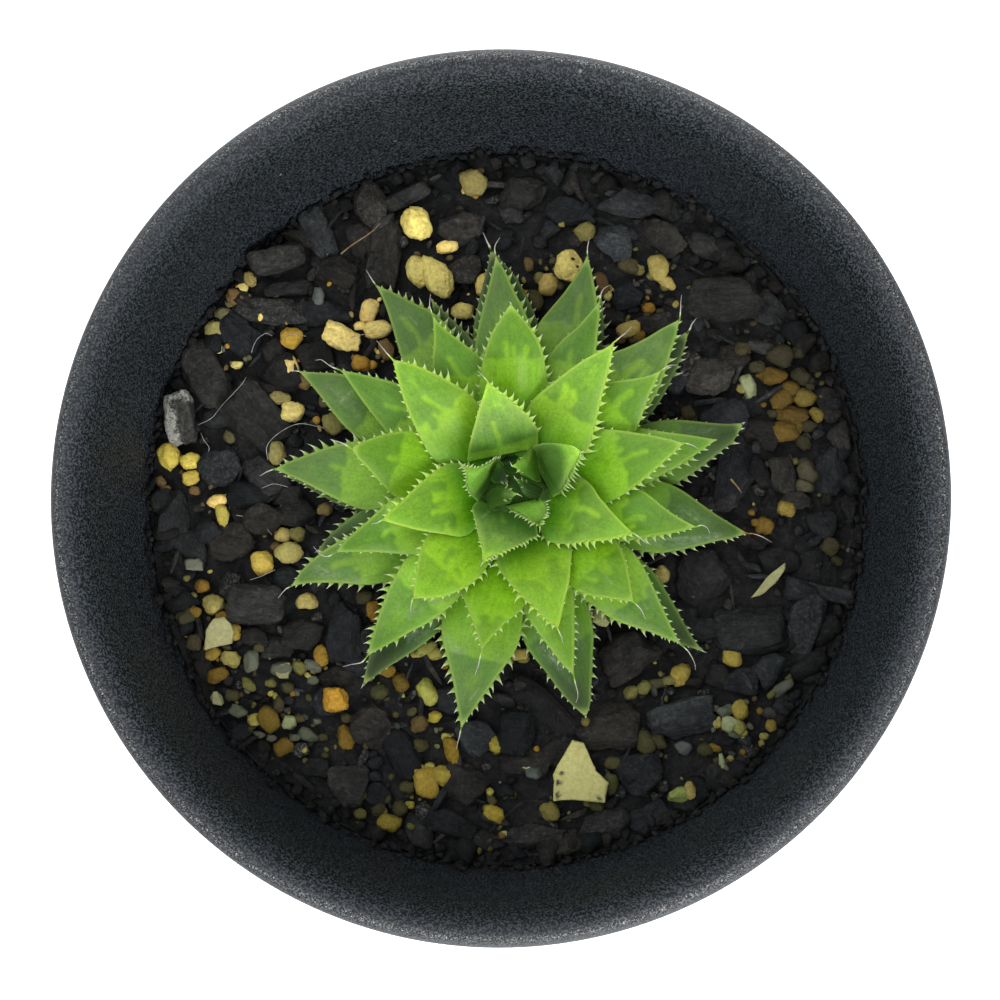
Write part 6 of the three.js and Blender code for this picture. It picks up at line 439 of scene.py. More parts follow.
# ---------------------------------------------------------------- node helpers
class Tree:
    def __init__(self, name):
        self.mat = bpy.data.materials.new(name)
        self.mat.use_nodes = True
        self.t = self.mat.node_tree
        self.t.nodes.clear()
        self.out = self.t.nodes.new("ShaderNodeOutputMaterial")
        self.bsdf = self.t.nodes.new("ShaderNodeBsdfPrincipled")
        self.t.links.new(self.bsdf.outputs[0], self.out.inputs[0])

    def put(self, sock, val):
        if hasattr(val, "links"):
            self.t.links.new(val, sock)
        elif val is not None:
            if hasattr(sock.default_value, "__len__") and not hasattr(val, "__len__"):
                val = (val,) * len(sock.default_value)
            if hasattr(sock.default_value, "__len__") and len(sock.default_value) == 4 and len(val) == 3:
                val = (*val, 1.0)
            sock.default_value = val

    def set(self, **kw):
        for k, v in kw.items():
            self.put(self.bsdf.inputs[k.replace("_", " ")], v)

    def attr(self, name, vector=False):
        n = self.t.nodes.new("ShaderNodeAttribute")
        n.attribute_name = name
        return n.outputs["Vector"] if vector else n.outputs["Fac"]

    def coord(self):
        return self.t.nodes.new("ShaderNodeTexCoord").outputs["Object"]

    def scale(self, v, s):
        n = self.t.nodes.new("ShaderNodeMapping")
        self.put(n.inputs["Vector"], v)
        n.inputs["Scale"].default_value = s
        return n.outputs[0]

    def noise(self, v, scale, detail=2.0, rough=0.55, distort=0.0, lac=2.0):
        n = self.t.nodes.new("ShaderNodeTexNoise")
        self.put(n.inputs["Vector"], v)
        n.inputs["Scale"].default_value = scale
        n.inputs["Detail"].default_value = detail
        n.inputs["Roughness"].default_value = rough
        n.inputs["Distortion"].default_value = distort
        n.inputs["Lacunarity"].default_value = lac
        return n.outputs["Fac"]

    def voronoi(self, v, scale, feature="F1", out="Distance", rand=1.0):
        n = self.t.nodes.new("ShaderNodeTexVoronoi")
        n.feature = feature
        self.put(n.inputs["Vector"], v)
        n.inputs["Scale"].default_value = scale
        n.inputs["Randomness"].default_value = rand
        return n.outputs[out]

    def math(self, op, a, b=None, c=None, clamp=False):
        n = self.t.nodes.new("ShaderNodeMath")
        n.operation = op
        n.use_clamp = clamp
        self.put(n.inputs[0], a)
        if b is not None:
            self.put(n.inputs[1], b)
        if c is not None:
            self.put(n.inputs[2], c)
        return n.outputs[0]

    def ramp(self, x, lo, hi, a=0.0, b=1.0, kind="SMOOTHSTEP"):
        n = self.t.nodes.new("ShaderNodeMapRange")
        n.interpolation_type = kind
        self.put(n.inputs["Value"], x)
        n.inputs["From Min"].default_value = lo
        n.inputs["From Max"].default_value = hi
        n.inputs["To Min"].default_value = a
        n.inputs["To Max"].default_value = b
        return n.outputs["Result"]

    def mix(self, fac, a, b, blend="MIX"):
        n = self.t.nodes.new("ShaderNodeMix")
        n.data_type = "RGBA"
        n.blend_type = blend
        n.clamp_factor = True
        self.put(n.inputs[0], fac)
        self.put(n.inputs[6], a)
        self.put(n.inputs[7], b)
        return n.outputs[2]

    def colours(self, x, stops):
        n = self.t.nodes.new("ShaderNodeValToRGB")
        self.put(n.inputs[0], x)
        r = n.color_ramp
        while len(r.elements) < len(stops):
            r.elements.new(0.5)
        for e, (p, c) in zip(r.elements, stops):
            e.position = p
            e.color = (*c, 1.0)
        return n.outputs[0]

    def bump(self, height, strength, dist, normal=None):
        n = self.t.nodes.new("ShaderNodeBump")
        n.inputs["Strength"].default_value = strength
        n.inputs["Distance"].default_value = dist
        self.put(n.inputs["Height"], height)
        if normal is not None:
            self.put(n.inputs["Normal"], normal)
        return n.outputs[0]


def lin(r, g, b):
    return tuple(((c / 255) / 12.92 if c / 255 <= 0.04045 else ((c / 255 + 0.055) / 1.055) ** 2.4) for c in (r, g, b))


# ---------------------------------------------------------------- materials
def leaf_material(name, rough, sss, spec=0.34):
    m = Tree(name)
    P = m.coord()
    tint = m.attr("tint", True)
    local = m.attr("local", True)
    win, edge, spine = m.attr("win"), m.attr("edge"), m.attr("spine")
    ws, frost, line = m.attr("ws"), m.attr("frost"), m.attr("line")
    lite, dark, tip = m.attr("lite"), m.attr("dark"), m.attr("tip")
    n_mid = m.noise(P, 1300, 3, 0.6)
    n_fine = m.noise(P, 3600, 3, 0.75)
    n_big = m.noise(P, 420, 2, 0.5)
    streak = m.noise(m.scale(local, (2.6, 0.36, 1.0)), 1.0, 3, 0.6, 0.5)
    # flesh: soft blotches, fine grain and faint lengthwise veins
    shade = m.math("ADD", m.math("MULTIPLY", m.math("SUBTRACT", n_mid, 0.5), 0.40), m.math("MULTIPLY", m.math("SUBTRACT", streak, 0.5), 0.52))
    shade = m.math("ADD", shade, m.math("MULTIPLY", m.math("SUBTRACT", n_fine, 0.5), 0.95))
    shade = m.math("ADD", shade, m.math("MULTIPLY", m.math("SUBTRACT", n_big, 0.5), 0.36))
    shade = m.math("ADD", shade, 1.0)
    flesh = m.mix(1.0, tint, m.mix(1.0, (1, 1, 1), shade, "MULTIPLY"), "MULTIPLY")
    # clear windows between the tongues of opaque flesh, deepest where they begin
    w = m.math("ADD", win, m.math("MULTIPLY", m.math("SUBTRACT", n_mid, 0.5), 0.7))
    w = m.math("ADD", w, m.math("MULTIPLY", m.math("SUBTRACT", streak, 0.5), 0.7))
    w = m.math("ADD", w, m.math("MULTIPLY", m.math("SUBTRACT", n_fine, 0.5), 0.6))
    mask = m.math("MULTIPLY", m.ramp(w, -0.30, 0.30), m.ramp(w, 0.5, 3.0, 1.0, 0.55))
    mask = m.ramp(m.math("MULTIPLY", mask, ws), 0.0, 0.92, 0.0, 1.0, "LINEAR")
    glass = m.mix(1.0, flesh, (0.555, 0.635, 1.04), "MULTIPLY")
    col = m.mix(mask, flesh, glass)
    lip = m.math("MULTIPLY", m.ramp(w, -0.55, -0.10), m.ramp(w, 0.22, -0.08))
    col = m.mix(m.math("MULTIPLY", m.math("MULTIPLY", lip, ws), 0.4), col, m.mix(1.0, col, (1.14, 1.10, 1.0), "MULTIPLY"))
    # shade and light strokes
    col = m.mix(m.math("MULTIPLY", dark, 0.85), col, m.mix(1.0, col, (0.22, 0.28, 0.40), "MULTIPLY"))
    col = m.mix(m.math("MULTIPLY", lite, 0.7), col, m.mix(0.45, m.mix(1.0, col, (1.8, 1.5, 1.6), "MULTIPLY"), (0.26, 0.42, 0.08)))
    # painted sheen: whitish broken haze standing in for glare on the leaf surface
    fr = m.math("MULTIPLY", frost, m.ramp(m.noise(m.scale(local, (2.2, 0.9, 1.0)), 1.6, 4, 0.7, 0.8), 0.36, 0.68))
    col = m.mix(m.math("MULTIPLY", fr, 0.62), col, m.mix(n_fine, (0.13, 0.175, 0.105), (0.25, 0.31, 0.22)))
    hair = m.math("MULTIPLY", line, m.ramp(n_mid, 0.36, 0.54))
    col = m.mix(m.math("MULTIPLY", hair, 0.5), col, (0.30, 0.38, 0.22))
    # scattered pale pores
    pores = m.ramp(m.voronoi(P, 1400), 0.16, 0.08)
    pores = m.math("MULTIPLY", pores, m.ramp(m.noise(P, 900, 1), 0.56, 0.66))
    col = m.mix(m.math("MULTIPLY", pores, 0.22), col, (0.26, 0.34, 0.16))
    # thin pale margin, tooth roots, tip and bristle
    pale = m.mix(0.45, m.mix(1.0, tint, (1.5, 1.35, 1.7), "MULTIPLY"), (0.26, 0.38, 0.11))
    mg = m.math("MULTIPLY", m.ramp(edge, 0.33, 0.03), m.ramp(n_mid, 0.20, 0.60, 0.45, 1.0))
    col = m.mix(m.math("MULTIPLY", mg, 0.60), col, pale)
    col = m.mix(m.ramp(edge, 1.3, 0.2, 0.0, 0.17), col, pale)
    col = m.mix(m.ramp(tip, 0.93, 1.0, 0.0, 0.6), col, (0.33, 0.42, 0.12))
    claw = m.mix(m.ramp(spine, 0.22, 0.85), pale, m.mix(m.noise(P, 1500, 2), (0.44, 0.60, 0.25), (0.70, 0.79, 0.50)))
    col = m.mix(m.ramp(spine, 0.02, 0.25), col, claw)
    col = m.mix(m.ramp(spine, 1.0, 1.15), col, m.mix(m.noise(P, 900, 2), (0.36, 0.35, 0.27), (0.60, 0.58, 0.50)))
    col = m.mix(m.attr("red"), col, (0.30, 0.10, 0.035))
    m.set(Base_Color=col, Roughness=m.ramp(n_mid, 0.3, 0.7, rough - 0.05, rough + 0.10), Subsurface_Weight=sss, Subsurface_Radius=(0.7, 1.0, 0.25),
          Subsurface_Scale=0.0009, IOR=1.42, Specular_IOR_Level=spec)
    h = m.math("ADD", m.math("MULTIPLY", n_fine, 0.55), m.math("MULTIPLY", streak, 0.5))
    m.set(Normal=m.bump(n_mid, 0.4, 0.00006, m.bump(h, 0.6, 0.000035)))
    return m.mat


def pot_material():
    m = Tree("pot_plastic")
    P = m.coord()
    dust = m.attr("dust")
    crown = m.attr("crown")
    outer = m.attr("outer")
    grain = m.noise(P, 4200, 2, 0.62)
    lumps = m.noise(P, 1500, 2, 0.5)
    fine = m.noise(P, 7600, 2, 0.6)
    cloud = m.noise(P, 60, 4, 0.6)
    spark_grain_and_glint = m.math("MULTIPLY", m.ramp(m.voronoi(P, 2900), 0.36, 0.14), m.ramp(m.math("ADD", m.noise(P, 2000, 2), m.math("MULTIPLY", crown, 0.12)), 0.52, 0.66))
    specks = m.ramp(m.voronoi(P, 330), 0.075, 0.045)
    specks = m.math("MULTIPLY", specks, m.ramp(m.noise(P, 170, 1), 0.56, 0.60))
    sand = m.noise(P, 4900, 3, 0.75)
    col = m.mix(m.ramp(grain, 0.44, 0.62), (0.0016, 0.0024, 0.0036), (0.0540, 0.0640, 0.0760))
    # painted highlight: pale specks over the crown of the lip stand in for glints of light
    crown_glint = m.mix(m.ramp(sand, 0.50, 0.60), (0.004, 0.0048, 0.006), (0.165, 0.168, 0.173))
    col = m.mix(crown, col, crown_glint)
    # spark specks: spark-eroded grain, brightened on the crown as painted glints
    col = m.mix(m.math("MULTIPLY", spark_grain_and_glint, m.ramp(crown, 0, 1, 0.45, 0.85)), col, m.mix(crown, (0.085, 0.095, 0.105), (0.42, 0.42, 0.42)))
    col = m.mix(m.ramp(cloud, 0.4, 0.75, 0, 0.25), col, (0.016, 0.021, 0.027))
    film = m.math("MULTIPLY", dust, m.ramp(m.noise(P, 420, 4, 0.7), 0.40, 0.75))
    col = m.mix(m.math("MULTIPLY", film, 0.45), col, (0.024, 0.026, 0.028))
    # painted shade: the outer lip edge is darkened to 62%, and the outside of the pot with it
    col = m.mix(outer, col, m.mix(1.0, col, (0.62, 0.62, 0.62), "MULTIPLY"))
    col = m.mix(m.math("MULTIPLY", specks, 0.75), col, (0.22, 0.23, 0.23))
    m.set(Base_Color=col, Roughness=m.ramp(grain, 0.3, 0.75, 0.46, 0.62), IOR=1.50, Specular_IOR_Level=0.33)
    h = m.math("ADD", m.math("MULTIPLY", grain, 0.9), m.math("MULTIPLY", spark_grain_and_glint, 0.5))
    h = m.math("ADD", h, m.math("MULTIPLY", lumps, 0.25))
    m.set(Normal=m.bump(h, 1.0, 0.00015, m.bump(fine, 0.5, 0.00003)))
    return m.mat


def bark_material(name, a, b, c, fibre):
    m = Tree(name)
    P = m.coord()
    own = m.attr("own", True)
    rnd, tone = m.attr("rnd"), m.attr("tone")
    grain = m.noise(m.scale(own, fibre), 1.0, 5, 0.68, 1.1)
    crumb = m.noise(P, 2100, 4, 0.75)
    fine = m.noise(P, 5200, 3, 0.7)
    patch = m.noise(P, 420, 4, 0.65)
    col = m.mix(m.ramp(grain, 0.34, 0.68), a, b)
    col = m.mix(m.ramp(crumb, 0.50, 0.70, 0, 0.9), col, c)
    col = m.mix(m.ramp(crumb, 0.46, 0.30, 0, 0.8), col, m.mix(1.0, col, (0.40, 0.40, 0.42), "MULTIPLY"))
    col = m.mix(m.ramp(patch, 0.36, 0.68, 0.0, 0.70), col, m.mix(1.0, col, (0.40, 0.41, 0.44), "MULTIPLY"))
    col = m.mix(1.0, col, m.mix(m.ramp(rnd, 0.15, 0.85), (1.17, 1.07, 0.92), (0.92, 1.01, 1.08)), "MULTIPLY")
    col = m.mix(1.0, col, m.mix(1.0, (1, 1, 1), m.ramp(tone, 0, 1, 0.38, 2.1, "LINEAR"), "MULTIPLY"), "MULTIPLY")
    glint = m.math("MULTIPLY", m.ramp(m.voronoi(P, 2300), 0.15, 0.05), m.ramp(m.noise(P, 700, 2), 0.52, 0.64))
    col = m.mix(m.math("MULTIPLY", glint, 0.40), col, m.mix(0.6, m.mix(1.0, col, (4.0, 4.0, 3.7), "MULTIPLY"), (0.060, 0.058, 0.050)))
    ash = m.attr("ash")
    ashy = m.math("MULTIPLY", m.ramp(ash, 0.05, 0.9), m.ramp(m.math("ADD", m.noise(P, 2600, 5, 0.8), m.math("MULTIPLY", ash, 0.18)), 0.54, 0.70))
    col = m.mix(m.math("MULTIPLY", ashy, 0.9), col, (0.42, 0.415, 0.37))
    m.set(Base_Color=col, Roughness=m.ramp(crumb, 0.3, 0.7, 0.70, 0.95), Specular_IOR_Level=0.18)
    h = m.math("ADD", m.math("MULTIPLY", grain, 0.6), m.math("MULTIPLY", crumb, 1.0))
    m.set(Normal=m.bump(h, 1.0, 0.00030, m.bump(fine, 0.7, 0.00008)))
    return m.mat


def pebble_material(name, rough=0.75, low=0.76, high=1.22, spots=0.30):
    m = Tree(name)
    P = m.coord()
    tint = m.attr("tint", True)
    crumb = m.noise(P, 2400, 4, 0.72)
    mid = m.noise(P, 620, 3, 0.6)
    fine = m.noise(P, 7000, 3, 0.7)
    col = m.mix(1.0, tint, m.mix(1.0, (1, 1, 1), m.ramp(crumb, 0.30, 0.70, low, high), "MULTIPLY"), "MULTIPLY")
    col = m.mix(m.ramp(mid, 0.50, 0.74, 0, 0.55), col, m.mix(1.0, col, (0.84, 0.74, 0.46), "MULTIPLY"))
    col = m.mix(m.ramp(mid, 0.46, 0.26, 0, 0.45), col, m.mix(1.0, col, (1.12, 1.10, 1.18), "MULTIPLY"))
    col = m.mix(m.ramp(fine, 0.60, 0.74, 0, spots), col, m.mix(1.0, col, (0.42, 0.38, 0.27), "MULTIPLY"))
    # soot plus painted shade, darkest on the lower part of each pebble
    soot = m.math("MULTIPLY", m.attr("soot"), m.ramp(m.noise(P, 900, 4, 0.7), 0.30, 0.62))
    col = m.mix(soot, col, (0.030, 0.027, 0.020))
    m.set(Base_Color=col, Roughness=rough, Subsurface_Weight=0.06, Subsurface_Radius=(1.0, 0.8, 0.4), Subsurface_Scale=0.0005, Specular_IOR_Level=0.25)
    h = m.math("ADD", m.math("MULTIPLY", crumb, 0.9), m.math("MULTIPLY", mid, 0.5))
    m.set(Normal=m.bump(h, 0.9, 0.00022, m.bump(fine, 0.5, 0.00005)))
    return m.mat


def stem_material():
    m = Tree("stem_tissue")
    P = m.coord()
    n = m.noise(m.scale(P, (1, 1, 2.4)), 900, 4, 0.65)
    rings = m.noise(m.scale(P, (0.3, 0.3, 4.0)), 700, 3, 0.6)
    col = m.mix(m.ramp(n, 0.35, 0.7), lin(78, 78, 38), lin(112, 106, 66))
    col = m.mix(m.ramp(rings, 0.5, 0.68, 0, 0.7), col, lin(70, 54, 34))
    # heart: young green tissue at the stem top, kept dark as painted shade so the centre reads as a deep recess
    heart = m.mix(m.ramp(n, 0.3, 0.7), (0.022, 0.058, 0.011), (0.046, 0.110, 0.020))
    col = m.mix(m.attr("heart"), col, heart)
    m.set(Base_Color=col, Roughness=m.ramp(n, 0.3, 0.7, 0.7, 0.9), Subsurface_Weight=0.1, Subsurface_Scale=0.0006, Specular_IOR_Level=0.08)
    m.set(Normal=m.bump(m.math("ADD", n, rings), 0.8, 0.0002))
    return m.mat


def fibre_material(name, a, b, rough):
    m = Tree(name)
    P = m.coord()
    n = m.noise(P, 1400, 3, 0.6)
    m.set(Base_Color=m.mix(m.ramp(n, 0.35, 0.65), a, b), Roughness=rough)
    m.set(Normal=m.bump(m.noise(P, 5200, 2), 0.5, 0.00004))
    return m.mat


def floor_material():
    m = Tree("pale_floor")
    P = m.coord()
    n = m.noise(P, 900, 3, 0.6)
    m.set(Base_Color=m.mix(m.ramp(n, 0.3, 0.7), (0.90, 0.90, 0.90), (0.93, 0.93, 0.93)), Roughness=0.85)
    m.bsdf.inputs["Emission Color"].default_value = (1, 1, 1, 1)
    m.bsdf.inputs["Emission Strength"].default_value = FLOOR_GLOW
    return m.mat


# ---------------------------------------------------------------- light levels
FLOOR_GLOW = 0.78
WORLD = 0.46

MAT = {
    "bud": leaf_material("leaf_bud", 0.42, 0.25, 0.20),
    "upper": leaf_material("leaf_upper", 0.38, 0.30, 0.28),
    "outer": leaf_material("leaf_outer", 0.38, 0.25, 0.22),
    "pot": pot_material(),
    "soil": bark_material("growing_mix", (0.0125, 0.0130, 0.0136), (0.0215, 0.0220, 0.0223), (0.040, 0.0395, 0.038), (1.2, 1.2, 1.2)),
    "bark": bark_material("bark_dark", (0.0146, 0.0150, 0.0154), (0.0300, 0.0304, 0.0302), (0.051, 0.0505, 0.048), (0.50, 2.1, 2.1)),
    "cream": pebble_material("pebble_cream"),
    "orange": pebble_material("pebble_orange"),
    "pale": pebble_material("shard_pale", 0.6, 0.86, 1.12, 0.18),
    "stem": stem_material(),
    "hair": fibre_material("hair_pale", (0.20, 0.195, 0.185), (0.40, 0.39, 0.37), 0.45),
    "straw": fibre_material("straw", (0.13, 0.085, 0.035), (0.26, 0.18, 0.08), 0.6),
}


# ---------------------------------------------------------------- leaves
# the very dark rows at levels 4.85 and 4.95 are painted shade of the deep centre of the rosette
TINTS = [  # level, base, middle, near the tip, tip
    (0.2, (76, 115, 30), (72, 116, 25), (23, 43, 5), (13, 29, 2)),
    (0.9, (127, 193, 35), (112, 157, 44), (101, 129, 46), (74, 112, 24)),
    (1.4, (105, 157, 29), (119, 164, 43), (110, 140, 50), (84, 126, 28)),
    (2.2, (134, 188, 43), (140, 188, 60), (105, 147, 33), (89, 137, 18)),
    (3.0, (65, 130, 5), (112, 162, 20), (118, 161, 29), (123, 169, 24)),
    (3.5, (66, 122, 7), (137, 181, 42), (147, 194, 43), (155, 204, 44)),
    (4.0, (109, 156, 43), (154, 188, 71), (161, 209, 56), (158, 204, 56)),
    (4.25, (90, 137, 40), (132, 169, 64), (141, 189, 49), (167, 212, 67)),
    (4.5, (66, 98, 30), (68, 104, 34), (82, 122, 34), (136, 184, 60)),
    (4.75, (84, 120, 40), (90, 130, 42), (98, 142, 44), (132, 176, 58)),
    (4.85, (38, 62, 18), (40, 66, 20), (46, 76, 24), (76, 108, 40)),
    (4.95, (30, 50, 14), (34, 56, 16), (36, 62, 18), (54, 82, 28)),
]
GAIN = 1.0


def leaf_tint(lvl, s):
    ls = [t[0] for t in TINTS]
    cols = np.array([[lin(*c) for c in t[1:]] for t in TINTS])
    c = np.array([[np.interp(lvl, ls, cols[:, k, ch]) for ch in range(3)] for k in range(4)])
    return np.stack([np.interp(s, [0.15, 0.5, 0.85, 1.0], c[:, ch]) for ch in range(3)], -1) * GAIN


# painted light and shade along each bud leaf: brightness factors at the base, middle, near the tip and tip
BUD_PAINTED_LIGHT = {  # base, middle, near the tip, tip
    'leaf_01': (3.0, 1.4, 0.7, 0.7), 'leaf_02': (0.85, 1.15, 1.25, 1.5), 'leaf_03': (0.62, 0.60, 0.45, 0.75), 'leaf_04': (0.24, 0.52, 0.72, 1.2),
    'leaf_05': (3.6, 2.5, 0.50, 0.24), 'leaf_06': (1.8, 2.7, 1.8, 1.3), 'leaf_07': (1.7, 1.9, 2.4, 4.2), 'leaf_08': (0.90, 1.15, 1.6, 1.75), 'leaf_09': (0.95, 1.05, 1.2, 1.15),
}
BULGE = {'leaf_01': 0.5, 'leaf_02': 0.7, 'leaf_03': 0.7, 'leaf_04': 0.6, 'leaf_05': 0.5, 'leaf_06': 0.35}


def build_leaf(name, L, index):
    st = np.array(L["st"], float)
    lvl = L["lvl"]
    K = len(st)
    rng = np.random.default_rng(9000 + index)
    small = lvl >= 4.7
    ns = 70 if small else (84 if lvl < 0.5 else 112)
    nt = 30 if small else (34 if lvl < 0.5 else 50)
    nb = 16 if lvl >= 0.5 else 14
    v = np.linspace(0, 1, ns + 1)
    u = (1 - (1 - v) ** 1.25) * (K - 1)
    A, B = catmull(st[:, 0:3], u), catmull(st[:, 3:6], u)
    dep = np.interp(u, np.arange(K), st[:, 6])
    cv = np.interp(u, np.arange(K), st[:, 7])
    M = (A + B) / 2
    W = B - A
    width = np.linalg.norm(W, axis=1)
    across = W / np.maximum(width, 1e-6)[:, None]
    across[-3:] = across[-4]
    hw = np.maximum(width / 2, 0.085 + 0.10 * (1 - u / (K - 1)))
    Y = np.concatenate([[0], np.cumsum(np.linalg.norm(np.diff(M, axis=0), axis=1))])
    LEN = Y[-1]
    s = Y / LEN
    # upper face, dense towards the margins
    q = np.linspace(-1, 1, nt + 1)
    t = 0.45 * q + 0.55 * np.sin(q * math.pi / 2)
    X = t[None] * hw[:, None]
    Yg = np.repeat(Y[:, None], nt + 1, 1)
    edge = np.maximum(hw[:, None] * (1 - np.abs(t[None])), 0)
    # windows as a signed field in millimetres
    wave = 0.5 * fbm(np.stack([X * 0.9, Yg * 0.25, np.full_like(X, index * 7.3)], -1), 1.0, 3, 5)
    win = Yg - L["y0"] + wave * 1.3 + 0.35 * np.abs(t[None]) * 0
    frost, line, lite, dark = (np.zeros_like(X) for _ in range(4))
    for kind, pts, r, k in L["marks"]:
        d = polyline_distance(X, Yg, pts)
        wob = 0.22 * fbm(np.stack([X, Yg, np.full_like(X, index * 3.1)], -1), 1.4, 2, 11)
        if kind == "pool":
            win = -smin(-win, d - r + wob, 0.25)
    band = (edge - 0.12) * 1.6 - 0.1
    win = smin(win, band, 0.3)
    win = smin(win, (LEN - Yg) * 0.8 - 0.5, 0.5)
    for kind, pts, r, k in L["marks"]:
        d = polyline_distance(X, Yg, pts)
        wob = 0.16 * fbm(np.stack([X, Yg, np.full_like(X, index * 3.1)], -1), 1.6, 2, 12)
        if kind == "finger":
            f = d - r + wob
            win = np.where(k > 0.5, smin(win, f, 0.18), smin(win, f + (1 - k), 0.2))
        elif kind == "frost":
            frost = np.maximum(frost, k * np.exp(-(d / max(r, 0.05)) ** 2 * 1.1))
        elif kind == "line":
            line = np.maximum(line, k * np.exp(-(d / max(r * 1.5, 0.10)) ** 2))
        elif kind == "lite":
            lite = np.maximum(lite, k * np.exp(-(d / max(r, 0.05)) ** 2))
        elif kind == "dark":
            dark = np.maximum(dark, k * smooth(1.25, 0.55, d / max(r, 0.05)))
    win = np.clip(win, -2, 5)
    # relief: crown, slightly swollen windows and faint lumps
    crown = cv[:, None] * (1 - t[None] ** 2) ** 0.9
    puff = 0.05 * smooth(-0.1, 0.6, win) * smooth(0, 1.0, edge)
    lump = 0.035 * fbm(np.stack([X, Yg, np.full_like(X, index * 1.7)], -1), 0.8, 3, 21) * smooth(0, 0.8, edge)
    top = M[:, None] + across[:, None] * X[..., None]
    z0 = A[:, 2][:, None] * (1 - t[None]) / 2 + B[:, 2][:, None] * (1 + t[None]) / 2
    top[..., 2] = z0 + EDGE_UP + crown + puff + lump
    qb = np.linspace(1, -1, nb + 1)
    tb = 0.6 * qb + 0.4 * np.sin(qb * math.pi / 2)
    phi = 1 - np.abs(tb)
    bulge = BULGE.get(name, 0.0) * np.minimum(1, dep / 0.4)
    wide = tb[None] * hw[:, None] + np.sign(tb)[None] * bulge[:, None] * np.sin(np.pi * np.clip(phi * 1.15, 0, 1))[None] * smooth(1.0, 0.75, s)[:, None]
    bot = M[:, None] + across[:, None] * wide[..., None]
    zb = A[:, 2][:, None] * (1 - tb[None]) / 2 + B[:, 2][:, None] * (1 + tb[None]) / 2
    keel = 1 - np.abs(tb[None]) ** 1.35
    keel = keel * 0.93 + 0.07 * np.exp(-(tb[None] / 0.10) ** 2)
    bot[..., 2] = zb - EDGE_DOWN - dep[:, None] * keel * np.clip(1.0, 0, 1)
    midR = (top[:, -1] + bot[:, 0]) / 2 + across * 0.05
    midL = (top[:, 0] + bot[:, -1]) / 2 - across * 0.05
    ring = np.concatenate([top, midR[:, None], bot, midL[:, None]], 1)
    ncol = ring.shape[1]
    V = ring.reshape(-1, 3)
    faces = [grid_faces(ns + 1, ncol, wrap=True)]
    c0, c1 = len(V), len(V) + 1
    tipc = ring[-1].mean(0) + (M[-1] - M[-4]) / np.linalg.norm(M[-1] - M[-4]) * 0.05
    V = np.concatenate([V, ring[0].mean(0)[None], tipc[None]])
    faces.append(fan(c0, np.arange(ncol), flip=True))
    faces.append(fan(c1, np.arange(ncol) + ns * ncol))

    def full(a_top, v_mid, v_bot):
        g = np.concatenate([a_top, np.broadcast_to(v_mid, (ns + 1, 1)), np.broadcast_to(v_bot, (ns + 1, nb + 1)), np.broadcast_to(v_mid, (ns + 1, 1))], 1)
        return np.concatenate([g.ravel(), [g[0].mean(), g[-1].mean()]])

    sg = np.repeat(s[:, None], ncol, 1)
    s_all = np.concatenate([sg.ravel(), [0.0, 1.0]])
    tint = leaf_tint(lvl, s_all)
    if name in BUD_PAINTED_LIGHT:
        tint = tint * np.interp(s_all, [0.15, 0.5, 0.85, 1.0], BUD_PAINTED_LIGHT[name])[:, None]
        if small:
            tint = tint * np.array([0.80, 1.06, 0.45])
    # painted shade: the underside is tinted 22% darker
    under = full(np.zeros_like(X), 0.3, 1.0)
    tint = tint * (1 - 0.22 * under)[:, None]
    edge_b = np.broadcast_to(np.maximum(hw[:, None] * (1 - np.abs(tb[None])), 0), (ns + 1, nb + 1))
    loc = np.zeros((ns + 1, ncol, 3))
    loc[:, : nt + 1, 0] = X
    loc[:, nt + 2 : nt + 3 + nb, 0] = tb[None] * hw[:, None] + 40
    loc[:, nt + 1, 0] = hw
    loc[:, -1, 0] = -hw
    loc[..., 1] = Y[:, None]
    loc[..., 2] = index * 5.7
    loc = np.concatenate([loc.reshape(-1, 3), loc[0, :1], loc[-1, :1]])
    red = 0.0 if name != "leaf_39" else full(smooth(0.965, 1.0, sg[:, : nt + 1]), smooth(0.965, 1.0, s)[:, None], smooth(0.965, 1.0, s)[:, None])
    soup = Soup()
    # the underside also takes the dark stroke as painted shade: 0.35 above level 4.2, 0.1 below
    soup.add(V, faces, tint=tint, local=loc, win=full(win, -0.5, -1.0), edge=full(edge * (2.2 if small else (1.4 if lvl > 4.2 else 1.0)) + (0.9 * (1 - smooth(0.55, 0.95, sg[:, : nt + 1])) if small else 0.0), 0.7 if small else 0.0, 0.7 if small else 0.4), spine=0.0,
             ws=L["ws"], frost=full(frost, 0, 0), line=full(line, 0, 0), lite=full(lite, 0, 0), dark=full(dark, 0, 0.35 if lvl > 4.2 else 0.1),
             tip=np.concatenate([sg.ravel(), [0, 1.0]]), red=red)
